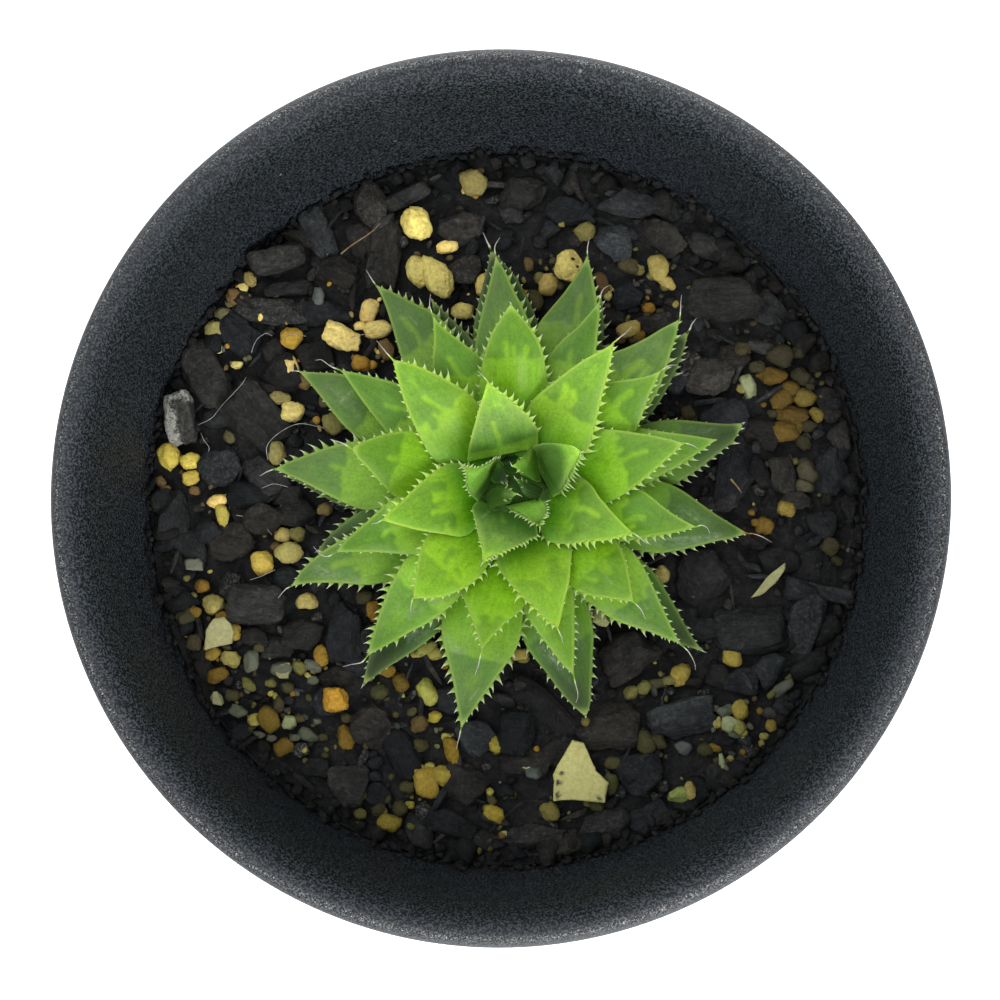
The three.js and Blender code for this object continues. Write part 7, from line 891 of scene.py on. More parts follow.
    # teeth along both margins
    up = np.cross(across, np.gradient(M, axis=0))
    up /= np.linalg.norm(up, axis=1)[:, None]
    up *= np.sign(up[:, 2])[:, None]
    for side, size in ((-1, L["teeth"][0]), (1, L["teeth"][1])):
        if size <= 0:
            continue
        line_pts = M + across * (side * hw)[:, None]
        line_pts[:, 2] = (top[:, 0, 2] + bot[:, -1, 2]) / 2 if side < 0 else (top[:, -1, 2] + bot[:, 0, 2]) / 2
        ml = np.concatenate([[0], np.cumsum(np.linalg.norm(np.diff(line_pts, axis=0), axis=1))])
        pos = (0.62 if small else (0.10 if lvl < 4 else 0.2)) * ml[-1] + 0.3 * rng.random()
        step = (1.06 if lvl < 1.5 else 0.93) if lvl < 4.2 else 0.60
        while pos < ml[-1] - 0.25:
            f = pos / ml[-1]
            k = np.searchsorted(ml, pos)
            k = min(max(k, 1), ns)
            w1 = (pos - ml[k - 1]) / max(ml[k] - ml[k - 1], 1e-6)
            p = line_pts[k - 1] * (1 - w1) + line_pts[k] * w1
            tan = line_pts[min(k + 2, ns)] - line_pts[max(k - 3, 0)]
            tan = tan / max(np.linalg.norm(tan), 1e-6)
            nrm = up[k]
            out = np.cross(tan, nrm) * side
            out /= max(np.linalg.norm(out), 1e-6)
            if np.dot(out, across[k] * side) < 0:
                out = -out
            grow = np.interp(f, [0, 0.18, 0.45, 0.8, 0.94, 1.0], [0.45, 0.8, 1.0, 0.95, 0.62, 0.4])
            length = (0.90 if lvl < 4.2 else 0.76) * size * grow * rng.uniform(0.50, 1.35)
            if small:
                length *= 0.8
            if length > 0.07:
                nr, nsd = 8, 8
                uu = np.linspace(0, 1, nr) ** 0.9
                hook = rng.uniform(0.10, 0.50)
                liftz = rng.uniform(0.0, 0.30)
                path = p + np.outer(uu * length * (1 - 0.12 * uu), out) + np.outer((0.16 * uu + hook * uu ** 2.2) * length, tan) + np.outer(liftz * uu ** 1.5 * length, nrm)
                path -= out * 0.10
                base = min(0.40, 0.19 + 0.26 * length) * (0.8 if lvl >= 4.2 else 1)
                ra = base * (1 - uu) ** 2.3 + 0.060 * (1 - uu) ** 0.8 + 0.006
                rb = 0.085 * (1 - uu) ** 1.1 + 0.030 * (1 - uu) + 0.006
                d = np.gradient(path, axis=0)
                d /= np.linalg.norm(d, axis=1)[:, None]
                side_v = np.cross(nrm, d)
                side_v /= np.linalg.norm(side_v, axis=1)[:, None]
                nn = np.cross(d, side_v)
                ang = np.linspace(0, 2 * math.pi, nsd, endpoint=False)
                R = path[:, None] + side_v[:, None] * (ra[:, None] * np.cos(ang))[..., None] + nn[:, None] * (rb[:, None] * np.sin(ang))[..., None]
                VV = np.concatenate([R.reshape(-1, 3), (path[0] - out * 0.02)[None], (path[-1] + d[-1] * 0.01)[None]])
                FF = [grid_faces(nr, nsd, wrap=True), fan(nr * nsd, np.arange(nsd), flip=True), fan(nr * nsd + 1, np.arange(nsd) + (nr - 1) * nsd)]
                sp = np.concatenate([np.repeat(uu, nsd), [0, 1]]) * (0.5 if lvl > 4.7 else 1.0)
                ti = np.broadcast_to(leaf_tint(lvl, np.array([min(s[k] + 0.25, 0.95)])), (len(VV), 3))
                soup.add(VV, FF, tint=ti, local=np.tile([side * 9.0, pos, index * 5.7], (len(VV), 1)), win=-1.0, edge=0.08, spine=sp, ws=0.0, frost=0.0, line=0.0, lite=0.0, dark=0.0, tip=0.0, red=0.0)
            pos += step * rng.uniform(0.72, 1.22) * (0.8 if f > 0.85 else 1.0)
    # bristle at the tip
    pts = [M[-4], M[-2], M[-1] + (M[-1] - M[-5]) / np.linalg.norm(M[-1] - M[-5]) * 0.10] + [np.array(p, float) for p in L["bristle"]]
    P0 = np.array(pts)
    uu = np.linspace(0, len(P0) - 1, 6 * len(P0))
    path = catmull(P0, uu)
    dist = np.concatenate([[0], np.cumsum(np.linalg.norm(np.diff(path, axis=0), axis=1))])
    f = dist / dist[-1]
    wav = 0.035 * np.stack([fbm(np.stack([dist, dist * 0 + index, dist * 0 + c], -1), 1.7, 2, 31) for c in range(3)], -1) * smooth(0.2, 0.6, f)[:, None]
    path = path + wav * 1.6
    r0 = min(0.20, max(0.085, hw[-6] * 0.6))
    ra = r0 * (1 - f) ** 1.1 * 0.85 + 0.018
    d = np.gradient(path, axis=0)
    d /= np.linalg.norm(d, axis=1)[:, None] + 1e-9
    nrm = up[-5]
    sv = np.cross(nrm, d)
    sv /= np.linalg.norm(sv, axis=1)[:, None] + 1e-9
    nn = np.cross(d, sv)
    nsd = 8
    ang = np.linspace(0, 2 * math.pi, nsd, endpoint=False)
    R = path[:, None] + sv[:, None] * (ra[:, None] * np.cos(ang))[..., None] + nn[:, None] * (ra[:, None] * 0.8 * np.sin(ang))[..., None]
    nr = len(path)
    VV = np.concatenate([R.reshape(-1, 3), (path[0] - d[0] * 0.02)[None], (path[-1] + d[-1] * 0.02)[None]])
    FF = [grid_faces(nr, nsd, wrap=True), fan(nr * nsd, np.arange(nsd), flip=True), fan(nr * nsd + 1, np.arange(nsd) + (nr - 1) * nsd)]
    sp = np.concatenate([np.repeat(smooth(0.12, 0.42, f) * 1.2, nsd), [0, 1.2]])
    ti = np.broadcast_to(leaf_tint(lvl, np.array([1.0])), (len(VV), 3))
    rd = np.concatenate([np.repeat(np.exp(-((f - 0.28) / 0.12) ** 2), nsd), [0, 0]]) * (1.0 if name == "leaf_39" else 0.0)
    soup.add(VV, FF, tint=ti, local=np.tile([0, LEN, index * 5.7], (len(VV), 1)), win=-1.0, edge=0.3, spine=sp, ws=0.0, frost=0.0, line=0.0, lite=0.0, dark=0.0, tip=0.9, red=rd)
    kind = "bud" if index <= 9 else ("upper" if index <= 22 else "outer")
    return piece(soup.mesh("fine_" + name, MAT[kind]), "leaf_" + kind, name)


for index, name in enumerate(sorted(LEAVES), 1):
    build_leaf(name, LEAVES[name], index)


# ---------------------------------------------------------------- pot
def wall(z):
    return 28.5 + 12.5 * (z - 4.0) / 67.9


def arc_profile(pts, radii, n=5):
    """Rounds the corners of an open profile of [r, z] points."""
    out = [np.array(pts[0], float)]
    for i in range(1, len(pts) - 1):
        p0, p, p1 = (np.array(pts[k], float) for k in (i - 1, i, i + 1))
        r = radii[i]
        a, b = p0 - p, p1 - p
        la, lb = np.linalg.norm(a), np.linalg.norm(b)
        c = min(r, la * 0.45, lb * 0.45)
        if c < 1e-4:
            out.append(p)
            continue
        s0, s1 = p + a / la * c, p + b / lb * c
        for k in range(n + 1):
            f = k / n
            out.append((1 - f) ** 2 * s0 + 2 * f * (1 - f) * p + f * f * s1)
    out.append(np.array(pts[-1], float))
    return np.array(out)


def refine(prof, step):
    out = [prof[0]]
    for a, b in zip(prof[:-1], prof[1:]):
        n = max(1, int(np.linalg.norm(b - a) / step))
        for k in range(1, n + 1):
            out.append(a + (b - a) * k / n)
    return np.array(out)


def build_pot():
    prof = [(0, 2.4, 0), (26.4, 2.4, .3), (26.4, 0.0, .35), (wall(0) + 1.2, 0.0, .5), (wall(69.4) + 1.2, 69.4, 0), (42.2, 72.1, .4), (43.3, 73.4, .25), (43.85, 73.1, .3),
            (43.9, 69.4, .25), (44.9, 69.4, .3), (45.0, 74.0, .35), (44.72, 74.5, .4), (44.1, 74.88, .6), (43.4, 75.0, .6), (42.7, 74.7, .6), (42.1, 74.1, .6), (41.6, 73.3, .7),
            (41.2, 72.1, .8), (wall(70.6), 70.6, .8), (29.3, 5.2, .9), (27.9, 4.0, .5), (0, 4.0, 0)]
    P = arc_profile([p[:2] for p in prof], [p[2] for p in prof], 5)
    P = refine(P, 1.6)
    seg = 240
    ang = np.linspace(0, 2 * math.pi, seg, endpoint=False)
    inner = P[1:-1]
    V = np.stack([inner[:, 0][:, None] * np.cos(ang), inner[:, 0][:, None] * np.sin(ang), np.repeat(inner[:, 1][:, None], seg, 1)], -1)
    # moulded plastic isn't perfectly round
    wob = 0.045 * fbm(np.stack([np.cos(ang), np.sin(ang), ang * 0], -1), 2.2, 2, 77)
    V[..., :2] *= (1 + wob / 45.0)[None, :, None]
    n = len(inner)
    VV = np.concatenate([V.reshape(-1, 3), [[0, 0, P[0, 1]]], [[0, 0, P[-1, 1]]]])
    F = [grid_faces(n, seg, wrap=True), fan(n * seg, np.arange(seg), flip=True), fan(n * seg + 1, np.arange(seg) + (n - 1) * seg)]
    r = np.hypot(VV[:, 0], VV[:, 1])
    inside = (r < wall(np.clip(VV[:, 2], 4, 72)) + 0.3) & (VV[:, 2] > 4.5)
    dust = np.where(inside, 0.10 + 0.90 * smooth(61.0, 56.8, VV[:, 2]), 0.12)
    s = Soup()
    # crown: the top band of the lip, where the shader paints the highlight specks
    crown = smooth(73.2, 74.5, VV[:, 2]) * smooth(43.3, 44.3, r) * (1 - 0.9 * smooth(44.2, 44.6, r))
    # outer: the outer lip edge and the outside of the pot, darkened in the shader as painted shade
    outer = np.where(VV[:, 2] > 69.2, smooth(43.6, 44.7, r), smooth(0.5, 1.0, r - wall(VV[:, 2]))) * smooth(74.7, 74.1, VV[:, 2])
    s.add(VV, F, dust=dust, crown=crown, outer=outer)
    ob = s.mesh("fine_pot", MAT["pot"])
    # drainage holes
    for k in range(6):
        a = k * math.pi / 3
        h = Soup()
        m = 48
        aa = np.linspace(0, 2 * math.pi, m, endpoint=False)
        rr = np.array([3.95, 3.75, 3.6, 3.6, 3.75, 3.95])
        zz = np.array([2.0, 2.35, 2.62, 3.74, 4.03, 4.4])
        C = np.stack([18.5 * math.cos(a) + rr[:, None] * np.cos(aa), 18.5 * math.sin(a) + rr[:, None] * np.sin(aa), np.repeat(zz[:, None], m, 1)], -1)
        cv = np.concatenate([C.reshape(-1, 3), [[18.5 * math.cos(a), 18.5 * math.sin(a), 2.0]], [[18.5 * math.cos(a), 18.5 * math.sin(a), 4.4]]])
        h.add(cv, [grid_faces(6, m, wrap=True), fan(6 * m, np.arange(m), flip=True), fan(6 * m + 1, np.arange(m) + 5 * m)])
        cutter = h.mesh("cutter", MAT["pot"])
        mod = ob.modifiers.new("hole", "BOOLEAN")
        mod.operation = "DIFFERENCE"
        mod.solver = "EXACT"
        mod.object = cutter
        dg = bpy.context.evaluated_depsgraph_get()
        me = bpy.data.meshes.new_from_object(ob.evaluated_get(dg))
        ob.modifiers.clear()
        old = ob.data
        ob.data = me
        bpy.data.meshes.remove(old)
        bpy.data.objects.remove(cutter)
    ob.data.name = "fine_pot"
    piece(ob, "pot_plastic", "pot")


build_pot()


# ---------------------------------------------------------------- stem
def build_stem():
    prof = np.array([(0, 45), (2.2, 45.3), (3.6, 48), (4.5, 52), (4.7, 56.85), (4.6, 60), (4.6, 62.5), (4.1, 64.9), (3.1, 66.6), (2.0, 67.6), (1.0, 68.1), (0, 68.25)], float)
    u = np.linspace(0, len(prof) - 1, 90)
    P = catmull(prof, u)[1:-1]
    seg = 72
    ang = np.linspace(0, 2 * math.pi, seg, endpoint=False)
    D = np.stack([np.cos(ang)[None] * np.maximum(P[:, 0], 0.05)[:, None], np.sin(ang)[None] * np.maximum(P[:, 0], 0.05)[:, None], np.repeat(P[:, 1][:, None], seg, 1)], -1)
    scar = 0.16 * np.cos(D[..., 2] * 4.6 + 3 * np.arctan2(D[..., 1], D[..., 0]))
    n = fbm(D, 0.9, 3, 41) * 0.22 + scar * 0.5
    k = np.minimum(P[:, 0] / 4.0, 1)[:, None] * n - 0.12
    D[..., 0] += np.cos(ang)[None] * k + STEM_X
    D[..., 1] += np.sin(ang)[None] * k + STEM_Y
    VV = np.concatenate([D.reshape(-1, 3), [[STEM_X, STEM_Y, 45]], [[STEM_X, STEM_Y, 68.2]]])
    m = len(P)
    s = Soup()
    # heart: the stem top, which the shader darkens as painted shade of the centre
    s.add(VV, [grid_faces(m, seg, wrap=True), fan(m * seg, np.arange(seg), flip=True), fan(m * seg + 1, np.arange(seg) + (m - 1) * seg)], heart=smooth(59.5, 62.0, VV[:, 2]))
    piece(s.mesh("fine_stem", MAT["stem"]), "stem_tissue", "stem")


build_stem()

# ---------------------------------------------------------------- growing mix
_ico = {}


def ico(level):
    if level not in _ico:
        import bmesh
        bm = bmesh.new()
        bmesh.ops.create_icosphere(bm, subdivisions=level, radius=1.0)
        bm.verts.ensure_lookup_table()
        V = np.array([v.co[:] for v in bm.verts])
        F = np.array([[v.index for v in f.verts] for f in bm.faces])
        bm.free()
        _ico[level] = (V / np.linalg.norm(V, axis=1)[:, None], F)
    return _ico[level]


def lump(level, size, rng, boxy=0.0, rough=0.16, cuts=4, cut=0.78, ridge=0.0, grit=0.0, seed=0):
    """A broken stone or bark shape: a squared ball, roughened and knocked flat by a few planes."""
    V, F = ico(level)
    p = 2.0 + 5.0 * boxy
    D = V / ((np.abs(V) ** p).sum(1) ** (1 / p))[:, None]
    D *= 1 - 0.16 * boxy
    off = rng.uniform(-50, 50, 3)
    D = D * (1 + rough * fbm(V * 1.0 + off, 1.2, 3, 3 + seed, 0.5) + 0.4 * rough * fbm(V * 1.0 + off, 4.1, 2, 4 + seed, 0.5))[:, None]
    for _ in range(cuts):
        n = rng.normal(size=3) * np.array([1, 1, 0.8])
        n /= np.linalg.norm(n)
        h = D @ n
        lim = cut * rng.uniform(0.84, 1.14) * (1 + 0.25 * boxy)
        over = np.maximum(h - lim - 0.03 * vnoise(V * 1.0 + off, 5.0, 8), 0)
        D = D - np.outer(over * 0.96, n)
    own = D * np.array(size)
    if ridge > 0:
        k = ridge * fbm((own + off) * np.array([0.22, 1.3, 1.3]), 1.0, 3, 9 + seed)
        own = own * (1 + k)[:, None]
    if grit > 0:
        own = own + V * (grit * (fbm(own + off, 0.95, 3, 13, 0.6) + 0.5 * np.abs(vnoise(own + off, 0.5, 14))))[:, None]
    return own, F, off


def turn(own, deg, tilt, roll):
    a, b, c = (math.radians(x) for x in (deg, tilt, roll))
    Rz = np.array([[math.cos(a), -math.sin(a), 0], [math.sin(a), math.cos(a), 0], [0, 0, 1]])
    Ry = np.array([[math.cos(b), 0, math.sin(b)], [0, 1, 0], [-math.sin(b), 0, math.cos(b)]])
    Rx = np.array([[1, 0, 0], [0, math.cos(c), -math.sin(c)], [0, math.sin(c), math.cos(c)]])
    return own @ (Rz @ Ry @ Rx).T


KINDS = {  # colour
    "cream": (194, 172, 98), "khaki": (130, 118, 66), "yellow": (190, 160, 70), "orange": (148, 112, 38), "rust": (98, 76, 42), "brown": (82, 74, 46),
    "white": (186, 186, 140), "grey": (72, 72, 68), "greyw": (110, 112, 96), "bluegrey": (94, 101, 98), "bright": (214, 206, 140), "yelloww": (184, 182, 104), "crumb": (104, 96, 70),
}


def painted_light_falloff(x, y):
    """Painted light and shade on pebbles and flakes: lighter towards the back left, darker towards the front right, and
    darker along the wall.
    """
    r = np.hypot(x, y)
    d = np.exp(np.clip(-0.12 - 0.34 * x / 31.6 + 0.36 * y / 31.6, -0.8, 0.45))
    d = d * np.exp(-0.45 * np.clip(x * y / 400.0, -0.5, 1))
    return d * (1 - 0.16 * smooth(30, 37, r))


def cast(x, y, tint):
    """Coloured pebbles shift in hue and brightness with their direction from the centre, so the front right ones look
    olive; grey ones keep their colour.
    """
    t = np.asarray(tint, float)
    strong = min(0.85, 1.3 * (1 - t.min() / max(t.max(), 1e-6)))
    a = math.atan2(y, x)
    c, s, c2, s2 = math.cos(a), math.sin(a), math.cos(2 * a), math.sin(2 * a)
    low = 0.16 * max(0.0, -s) ** 6
    return np.exp(strong * np.array([-0.15 - 0.09 * c + 0.05 * s - 0.06 * c2 + 0.04 * s2 + low,
                                     -0.03 - 0.07 * c - 0.02 * s - 0.06 * c2 + 0.03 * s2 + low,
                                     -0.10 - 0.07 * c + 0.10 * s + 0.03 * c2 - 0.05 * s2]))


def place_lump(soup, x, y, z, size, deg, rng, level, tint=None, **kw):
    shape = {k: kw.pop(k) for k in ("boxy", "rough", "cuts", "cut", "ridge", "grit") if k in kw}
    own, F, off = lump(level, size, rng, **shape)
    tilt, roll = kw.pop("tilt", rng.normal(0, 9)), kw.pop("roll", rng.normal(0, 14))
    V = turn(own, deg, tilt, roll) + np.array([x, y, z])
    r = np.hypot(V[:, 0], V[:, 1])
    lim = wall(np.clip(V[:, 2], 50, 70)) - 0.12
    k = np.minimum(1, lim / np.maximum(r, 1e-6))
    V[:, :2] *= k[:, None]
    attrs = dict(kw)
    if tint is not None:
        # pebble tints carry the painted light and shade across the mix
        attrs["tint"] = np.broadcast_to(np.asarray(tint) * (painted_light_falloff(x, y) * cast(x, y, tint) if math.hypot(x, y) > 3 else 1.0), (len(V), 3))
        # darker towards each pebble's underside as painted shade, over an even film of soot
        attrs["soot"] = kw.get("soot", 0.35) * smooth(0.2, -0.9, (V[:, 2] - z) / max(size[2], 0.1)) + kw.get("soot", 0.35) * 0.25
    else:
        attrs["own"] = own + off
        # painted light: chips are made lighter towards the right and the back
        if math.hypot(x, y) > 3:
            attrs["tone"] = np.clip(attrs["tone"] * (0.9 + 0.12 * x / 31.6 + 0.10 * y / 31.6), 0.02, 1.0)
    soup.add(V, [F], **attrs)


def soil_height(x, y):
    p = np.stack([x, y, np.zeros_like(x)], -1)
    r = np.hypot(x, y)
    h = 56.75 + 0.45 * fbm(p, 0.16, 3, 51) + 0.35 * fbm(p, 0.7, 3, 52)
    return h - 0.5 * smooth(33, 38, r)


def build_soil():
    nr, seg = 150, 260
    rr = 38.0 * (np.linspace(0, 1, nr + 1)[1:]) ** 0.75
    ang = np.linspace(0, 2 * math.pi, seg, endpoint=False)
    X, Yg = rr[:, None] * np.cos(ang), rr[:, None] * np.sin(ang)
    Z = soil_height(X, Yg) - 0.75 + 0.30 * fbm(np.stack([X, Yg, X * 0], -1), 1.6, 4, 55)
    Z = np.minimum(Z, 57.0)
    top = np.stack([X, Yg, Z], -1)
    side_z = np.array([55.6, 50, 40, 30, 20, 10, 4.9, 4.35])
    sides = []
    for z in side_z:
        r = wall(z) - 0.42 if z > 5 else wall(5) - 1.7
        wv = 0.12 * fbm(np.stack([np.cos(ang) * r, np.sin(ang) * r, ang * 0 + z], -1), 0.8, 2, 61)
        sides.append(np.stack([np.cos(ang) * (r + wv), np.sin(ang) * (r + wv), ang * 0 + z], -1))
    for r in (22.0, 16.0, 9.0):
        wv = 0.16 * fbm(np.stack([np.cos(ang) * r, np.sin(ang) * r, ang * 0], -1), 0.9, 3, 62)
        sides.append(np.stack([np.cos(ang) * r, np.sin(ang) * r, 4.36 + np.abs(wv)], -1))
    top[-1, :, :2] *= ((wall(55.9) - 0.06) / 38.0)
    top[-1, :, 2] = np.clip(top[-1, :, 2], 55.9, 56.1)
    G = np.concatenate([top, np.array(sides)])
    V = np.concatenate([G.reshape(-1, 3), [[0, 0, 56.8]], [[0, 0, 4.4]]])
    n = len(G)
    F = [grid_faces(n, seg, wrap=True, flip=True), fan(n * seg, np.arange(seg)), fan(n * seg + 1, np.arange(seg) + (n - 1) * seg, flip=True)]
    s = Soup()
    s.add(V, F, own=V, rnd=0.5, tone=0.35, ash=0.0)
    piece(s.mesh("soil_bed", MAT["soil"]), "growing_mix", "soil")


build_soil()

rng = np.random.default_rng(4471)
taken = []


def free(x, y, r, share=0.8):
    for (tx, ty, tr) in taken:
        if (x - tx) ** 2 + (y - ty) ** 2 < ((r + tr) * share) ** 2:
            return False
    return True


NAMED = {
    "pebble_cream_double": (-7.95, 24.3, 3.2, 2.3, 1.5, -35), "pebble_cream_hole": (6.91, 25.43, 1.7, 1.9, 1.35, 0), "pebble_orange_lower": (-17.8, -20.59, 1.45, 1.35, 1.15, 0),
    "chip_dark_oval": (23.22, 21.75, 4.4, 2.6, 1.1, 0), "chip_log_upper": (-24.15, 26.38, 3.5, 1.8, 1.5, 17), "chip_grey_left": (-34.5, 9.4, 3.5, 1.85, 1.6, 102),
    "chunk_dark_left": (-26.2, -10.48, 3.5, 2.25, 1.3, -5),
}
for v in NAMED.values():
    taken.append((v[0], v[1], max(v[2] * 0.85, v[3])))
taken.append((8.2, -28.1, 3.4))

# larger bark and charcoal pieces where they show
bark = [Soup(), Soup()]
TONE = {"log": 0.55, "bark": 0.50, "grey": 0.66, "dark": 0.34, "stick": 0.62}
for q_, (x, y, a, b, deg, kind, ex) in enumerate(CHIPS):
    z0 = float(soil_height(np.array([x]), np.array([y]))[0])
    h = float(np.clip(b * rng.uniform(0.55, 0.8), 0.7, 1.7)) if kind != "stick" else b * 0.8
    shape = {"log": dict(boxy=0.55, rough=0.20, cuts=6, cut=0.80, ridge=0.05, grit=0.22), "bark": dict(boxy=0.40, rough=0.34, cuts=9, cut=0.68, ridge=0.07, grit=0.28),
             "grey": dict(boxy=0.30, rough=0.30, cuts=9, cut=0.66, ridge=0.04, grit=0.24), "dark": dict(boxy=0.30, rough=0.34, cuts=10, cut=0.66, ridge=0.06, grit=0.28),
             "stick": dict(boxy=0.4, rough=0.14, cuts=3, cut=0.88, ridge=0.06, grit=0.14)}[kind]
    tone = float(np.clip(TONE[kind] + rng.normal(0, 0.16), 0.05, 0.95))
    zc = z0 + h * (rng.uniform(-0.25, 0.45) if kind != "stick" else 0.9)
    place_lump(bark[q_ % 2], x, y, zc, (a * 1.14, b * 1.14, h), deg, rng, 4 if max(a, b) > 2.2 else 3, tilt=rng.normal(0, 11), roll=rng.normal(0, 15),
               rnd=rng.random(), tone=tone, ash=(0.30 if kind in ("grey", "log") else 0.08) * rng.uniform(0.0, 1.0), **shape)
    taken.append((x, y, (a + b) / 2))
for q_, s_ in enumerate(bark):
    piece(s_.mesh("bark_large_%d" % (q_ + 1), MAT["bark"]), "growing_mix")

# pebbles where they show
PEB = {"cream": Soup(), "orange": Soup(), "pale": Soup()}
GROUP = {"cream": "cream", "khaki": "cream", "yellow": "cream", "yelloww": "cream", "bright": "cream", "crumb": "cream", "orange": "orange", "rust": "orange", "brown": "orange",
         "white": "pale", "grey": "pale", "greyw": "pale", "bluegrey": "pale"}


def pebble(x, y, a, b, deg, kind, dz=0.0):
    g = GROUP[kind]
    c = np.array(lin(*KINDS[kind]))
    c = c * (1 + rng.normal(0, 0.10)) * (1 + rng.normal(0, 0.035, 3))
    z0 = float(soil_height(np.array([x]), np.array([y]))[0])
    h = min(a, b) * rng.uniform(0.72, 0.9)
    sharp = kind in ("white", "greyw", "grey", "bluegrey", "bright", "yelloww")
    place_lump(PEB[g], x, y, z0 + h * 0.55 + dz, (a, b, h), deg, rng, 4 if a > 1.7 else (3 if a > 0.5 else 2), tint=np.clip(c, 0.01, 0.95),
               soot={"khaki": 0.5, "rust": 0.5, "brown": 0.6, "grey": 0.5}.get(kind, 0.3), boxy=0.40 if sharp else 0.10, rough=0.34 if not sharp else 0.20,
               cuts=7 if sharp else 3, cut=0.68 if sharp else 0.88, grit=0.16 if min(a, b) > 0.5 else 0.05, tilt=rng.normal(0, 6), roll=rng.normal(0, 8))


for (x, y, a, b, deg, kind, ex) in PEBBLES:
    over = not free(x, y, min(a, b), 0.55)
    pebble(x, y, a, b, deg, kind, 0.55 if over else 0.12)
    taken.append((x, y, (a + b) / 2))

# fill: small chips everywhere, grit near the pebbles
fills = [Soup(), Soup()]
count = 0
for trial in range(9000):
    if count >= 620:
        break
    r = 37.4 * math.sqrt(rng.random())
    a = rng.random() * 2 * math.pi
    x, y = r * math.cos(a), r * math.sin(a)
    size = rng.choice([0.55, 0.8, 1.1, 1.5, 2.0], p=[0.30, 0.27, 0.2, 0.14, 0.09])
    if r < 11 and size > 1.2:
        continue
    if not free(x, y, size, 0.62 if size > 1 else 0.5):
        continue
    z0 = float(soil_height(np.array([x]), np.array([y]))[0])
    asp = rng.uniform(0.5, 0.9)
    kindr = rng.random()
    tone = float(np.clip(rng.normal(0.34, 0.13), 0.05, 0.9))
    place_lump(fills[count % 2], x, y, z0 - 0.45 + size * asp * 0.30 + rng.uniform(-0.2, 0.35), (size, size * asp, size * asp * rng.uniform(0.55, 0.9)), rng.uniform(0, 180), rng, 3 if size > 1.2 else 2,
               tilt=rng.normal(0, 20), roll=rng.normal(0, 26), rnd=rng.random(), tone=tone, ash=0.35 * (kindr > 0.8), boxy=0.42, rough=0.40, cuts=11, cut=0.60, ridge=0.09, grit=0.20)
    taken.append((x, y, size * (1 + asp) / 2))
    count += 1
# lumps along the foot of the wall, given a dark tone as painted shade where the mix meets the wall
for k in range(190):
    a = 2 * math.pi * (k + rng.uniform(-0.9, 0.9)) / 190
    size = rng.choice([0.4, 0.7, 1.1, 1.7, 2.3], p=[0.28, 0.3, 0.22, 0.13, 0.07]) * rng.uniform(0.8, 1.15)
    up = abs(rng.normal(0, 0.55))
    r = 38.0 + 0.18 * up - size * 0.55 - rng.uniform(0, 1.2)
    asp = rng.uniform(0.55, 0.9)
    place_lump(fills[k % 2], r * math.cos(a), r * math.sin(a), 56.2 + 0.5 * up + rng.uniform(-0.3, 0.5), (size, size * asp, size * asp * 0.8), rng.uniform(0, 180), rng, 2,
               tilt=rng.normal(0, 25), roll=rng.normal(0, 25), rnd=rng.random(), tone=float(np.clip(rng.normal(0.16, 0.10), 0.03, 0.6)), ash=0.0, boxy=0.35, rough=0.38, cuts=9, cut=0.66, ridge=0.04, grit=0.1)
# crumbs climbing the wall, also dark-toned as painted shade
for k in range(300):
    a = 2 * math.pi * (k + rng.uniform(-1.4, 1.4)) / 300
    size = rng.uniform(0.28, 0.80)
    z = 56.75 + abs(rng.normal(0, 0.75))
    r = wall(z) - size * 0.42
    place_lump(fills[k % 2], r * math.cos(a), r * math.sin(a), z, (size, size * rng.uniform(0.5, 0.9), size * 0.5), rng.uniform(0, 180), rng, 1,
               tilt=rng.normal(0, 25), roll=rng.normal(0, 25), rnd=rng.random(), tone=float(np.clip(rng.normal(0.15, 0.10), 0.03, 0.5)), ash=0.0, boxy=0.35, rough=0.38, cuts=5, cut=0.70, ridge=0.04, grit=0.1)
for k in range(210):
    r, a = 37.0 * math.sqrt(rng.random()), rng.random() * 2 * math.pi
    x, y = r * math.cos(a), r * math.sin(a)
    if r < 9 or not free(x, y, 0.45, 0.35 if k % 3 else 0.75):
        continue
    long = rng.uniform(0.7, 2.3)
    thin = rng.uniform(0.10, 0.26)
    z0 = float(soil_height(np.array([x]), np.array([y]))[0])
    place_lump(fills[k % 2], x, y, z0 + 0.15 + rng.uniform(0.0, 0.7), (long, thin * rng.uniform(1.0, 2.2), thin), rng.uniform(0, 180), rng, 3,
               tilt=rng.normal(0, 10), roll=rng.normal(0, 30), rnd=rng.random(), tone=float(np.clip(rng.normal(0.52, 0.22), 0.1, 1.0)), ash=0.0, boxy=0.2, rough=0.34, cuts=5, cut=0.72, ridge=0.12, grit=0.05)
for k, s in enumerate(fills):
    piece(s.mesh("bark_fill_%d" % (k + 1), MAT["bark"]), "growing_mix")

centres = [(p[0], p[1]) for p in PEBBLES]
for k in range(420):
    cx, cy = centres[int(rng.integers(len(centres)))]
    x, y = cx + rng.normal(0, 1.7), cy + rng.normal(0, 1.7)
    if math.hypot(x, y) > 37.0:
        continue
    size = rng.uniform(0.16, 0.48)
    kind = rng.choice(["brown", "khaki", "cream", "orange", "greyw", "rust", "grey"], p=[0.27, 0.22, 0.13, 0.12, 0.1, 0.08, 0.08])
    pebble(x, y, size, size * rng.uniform(0.6, 0.95), rng.uniform(0, 180), kind, 0.15)


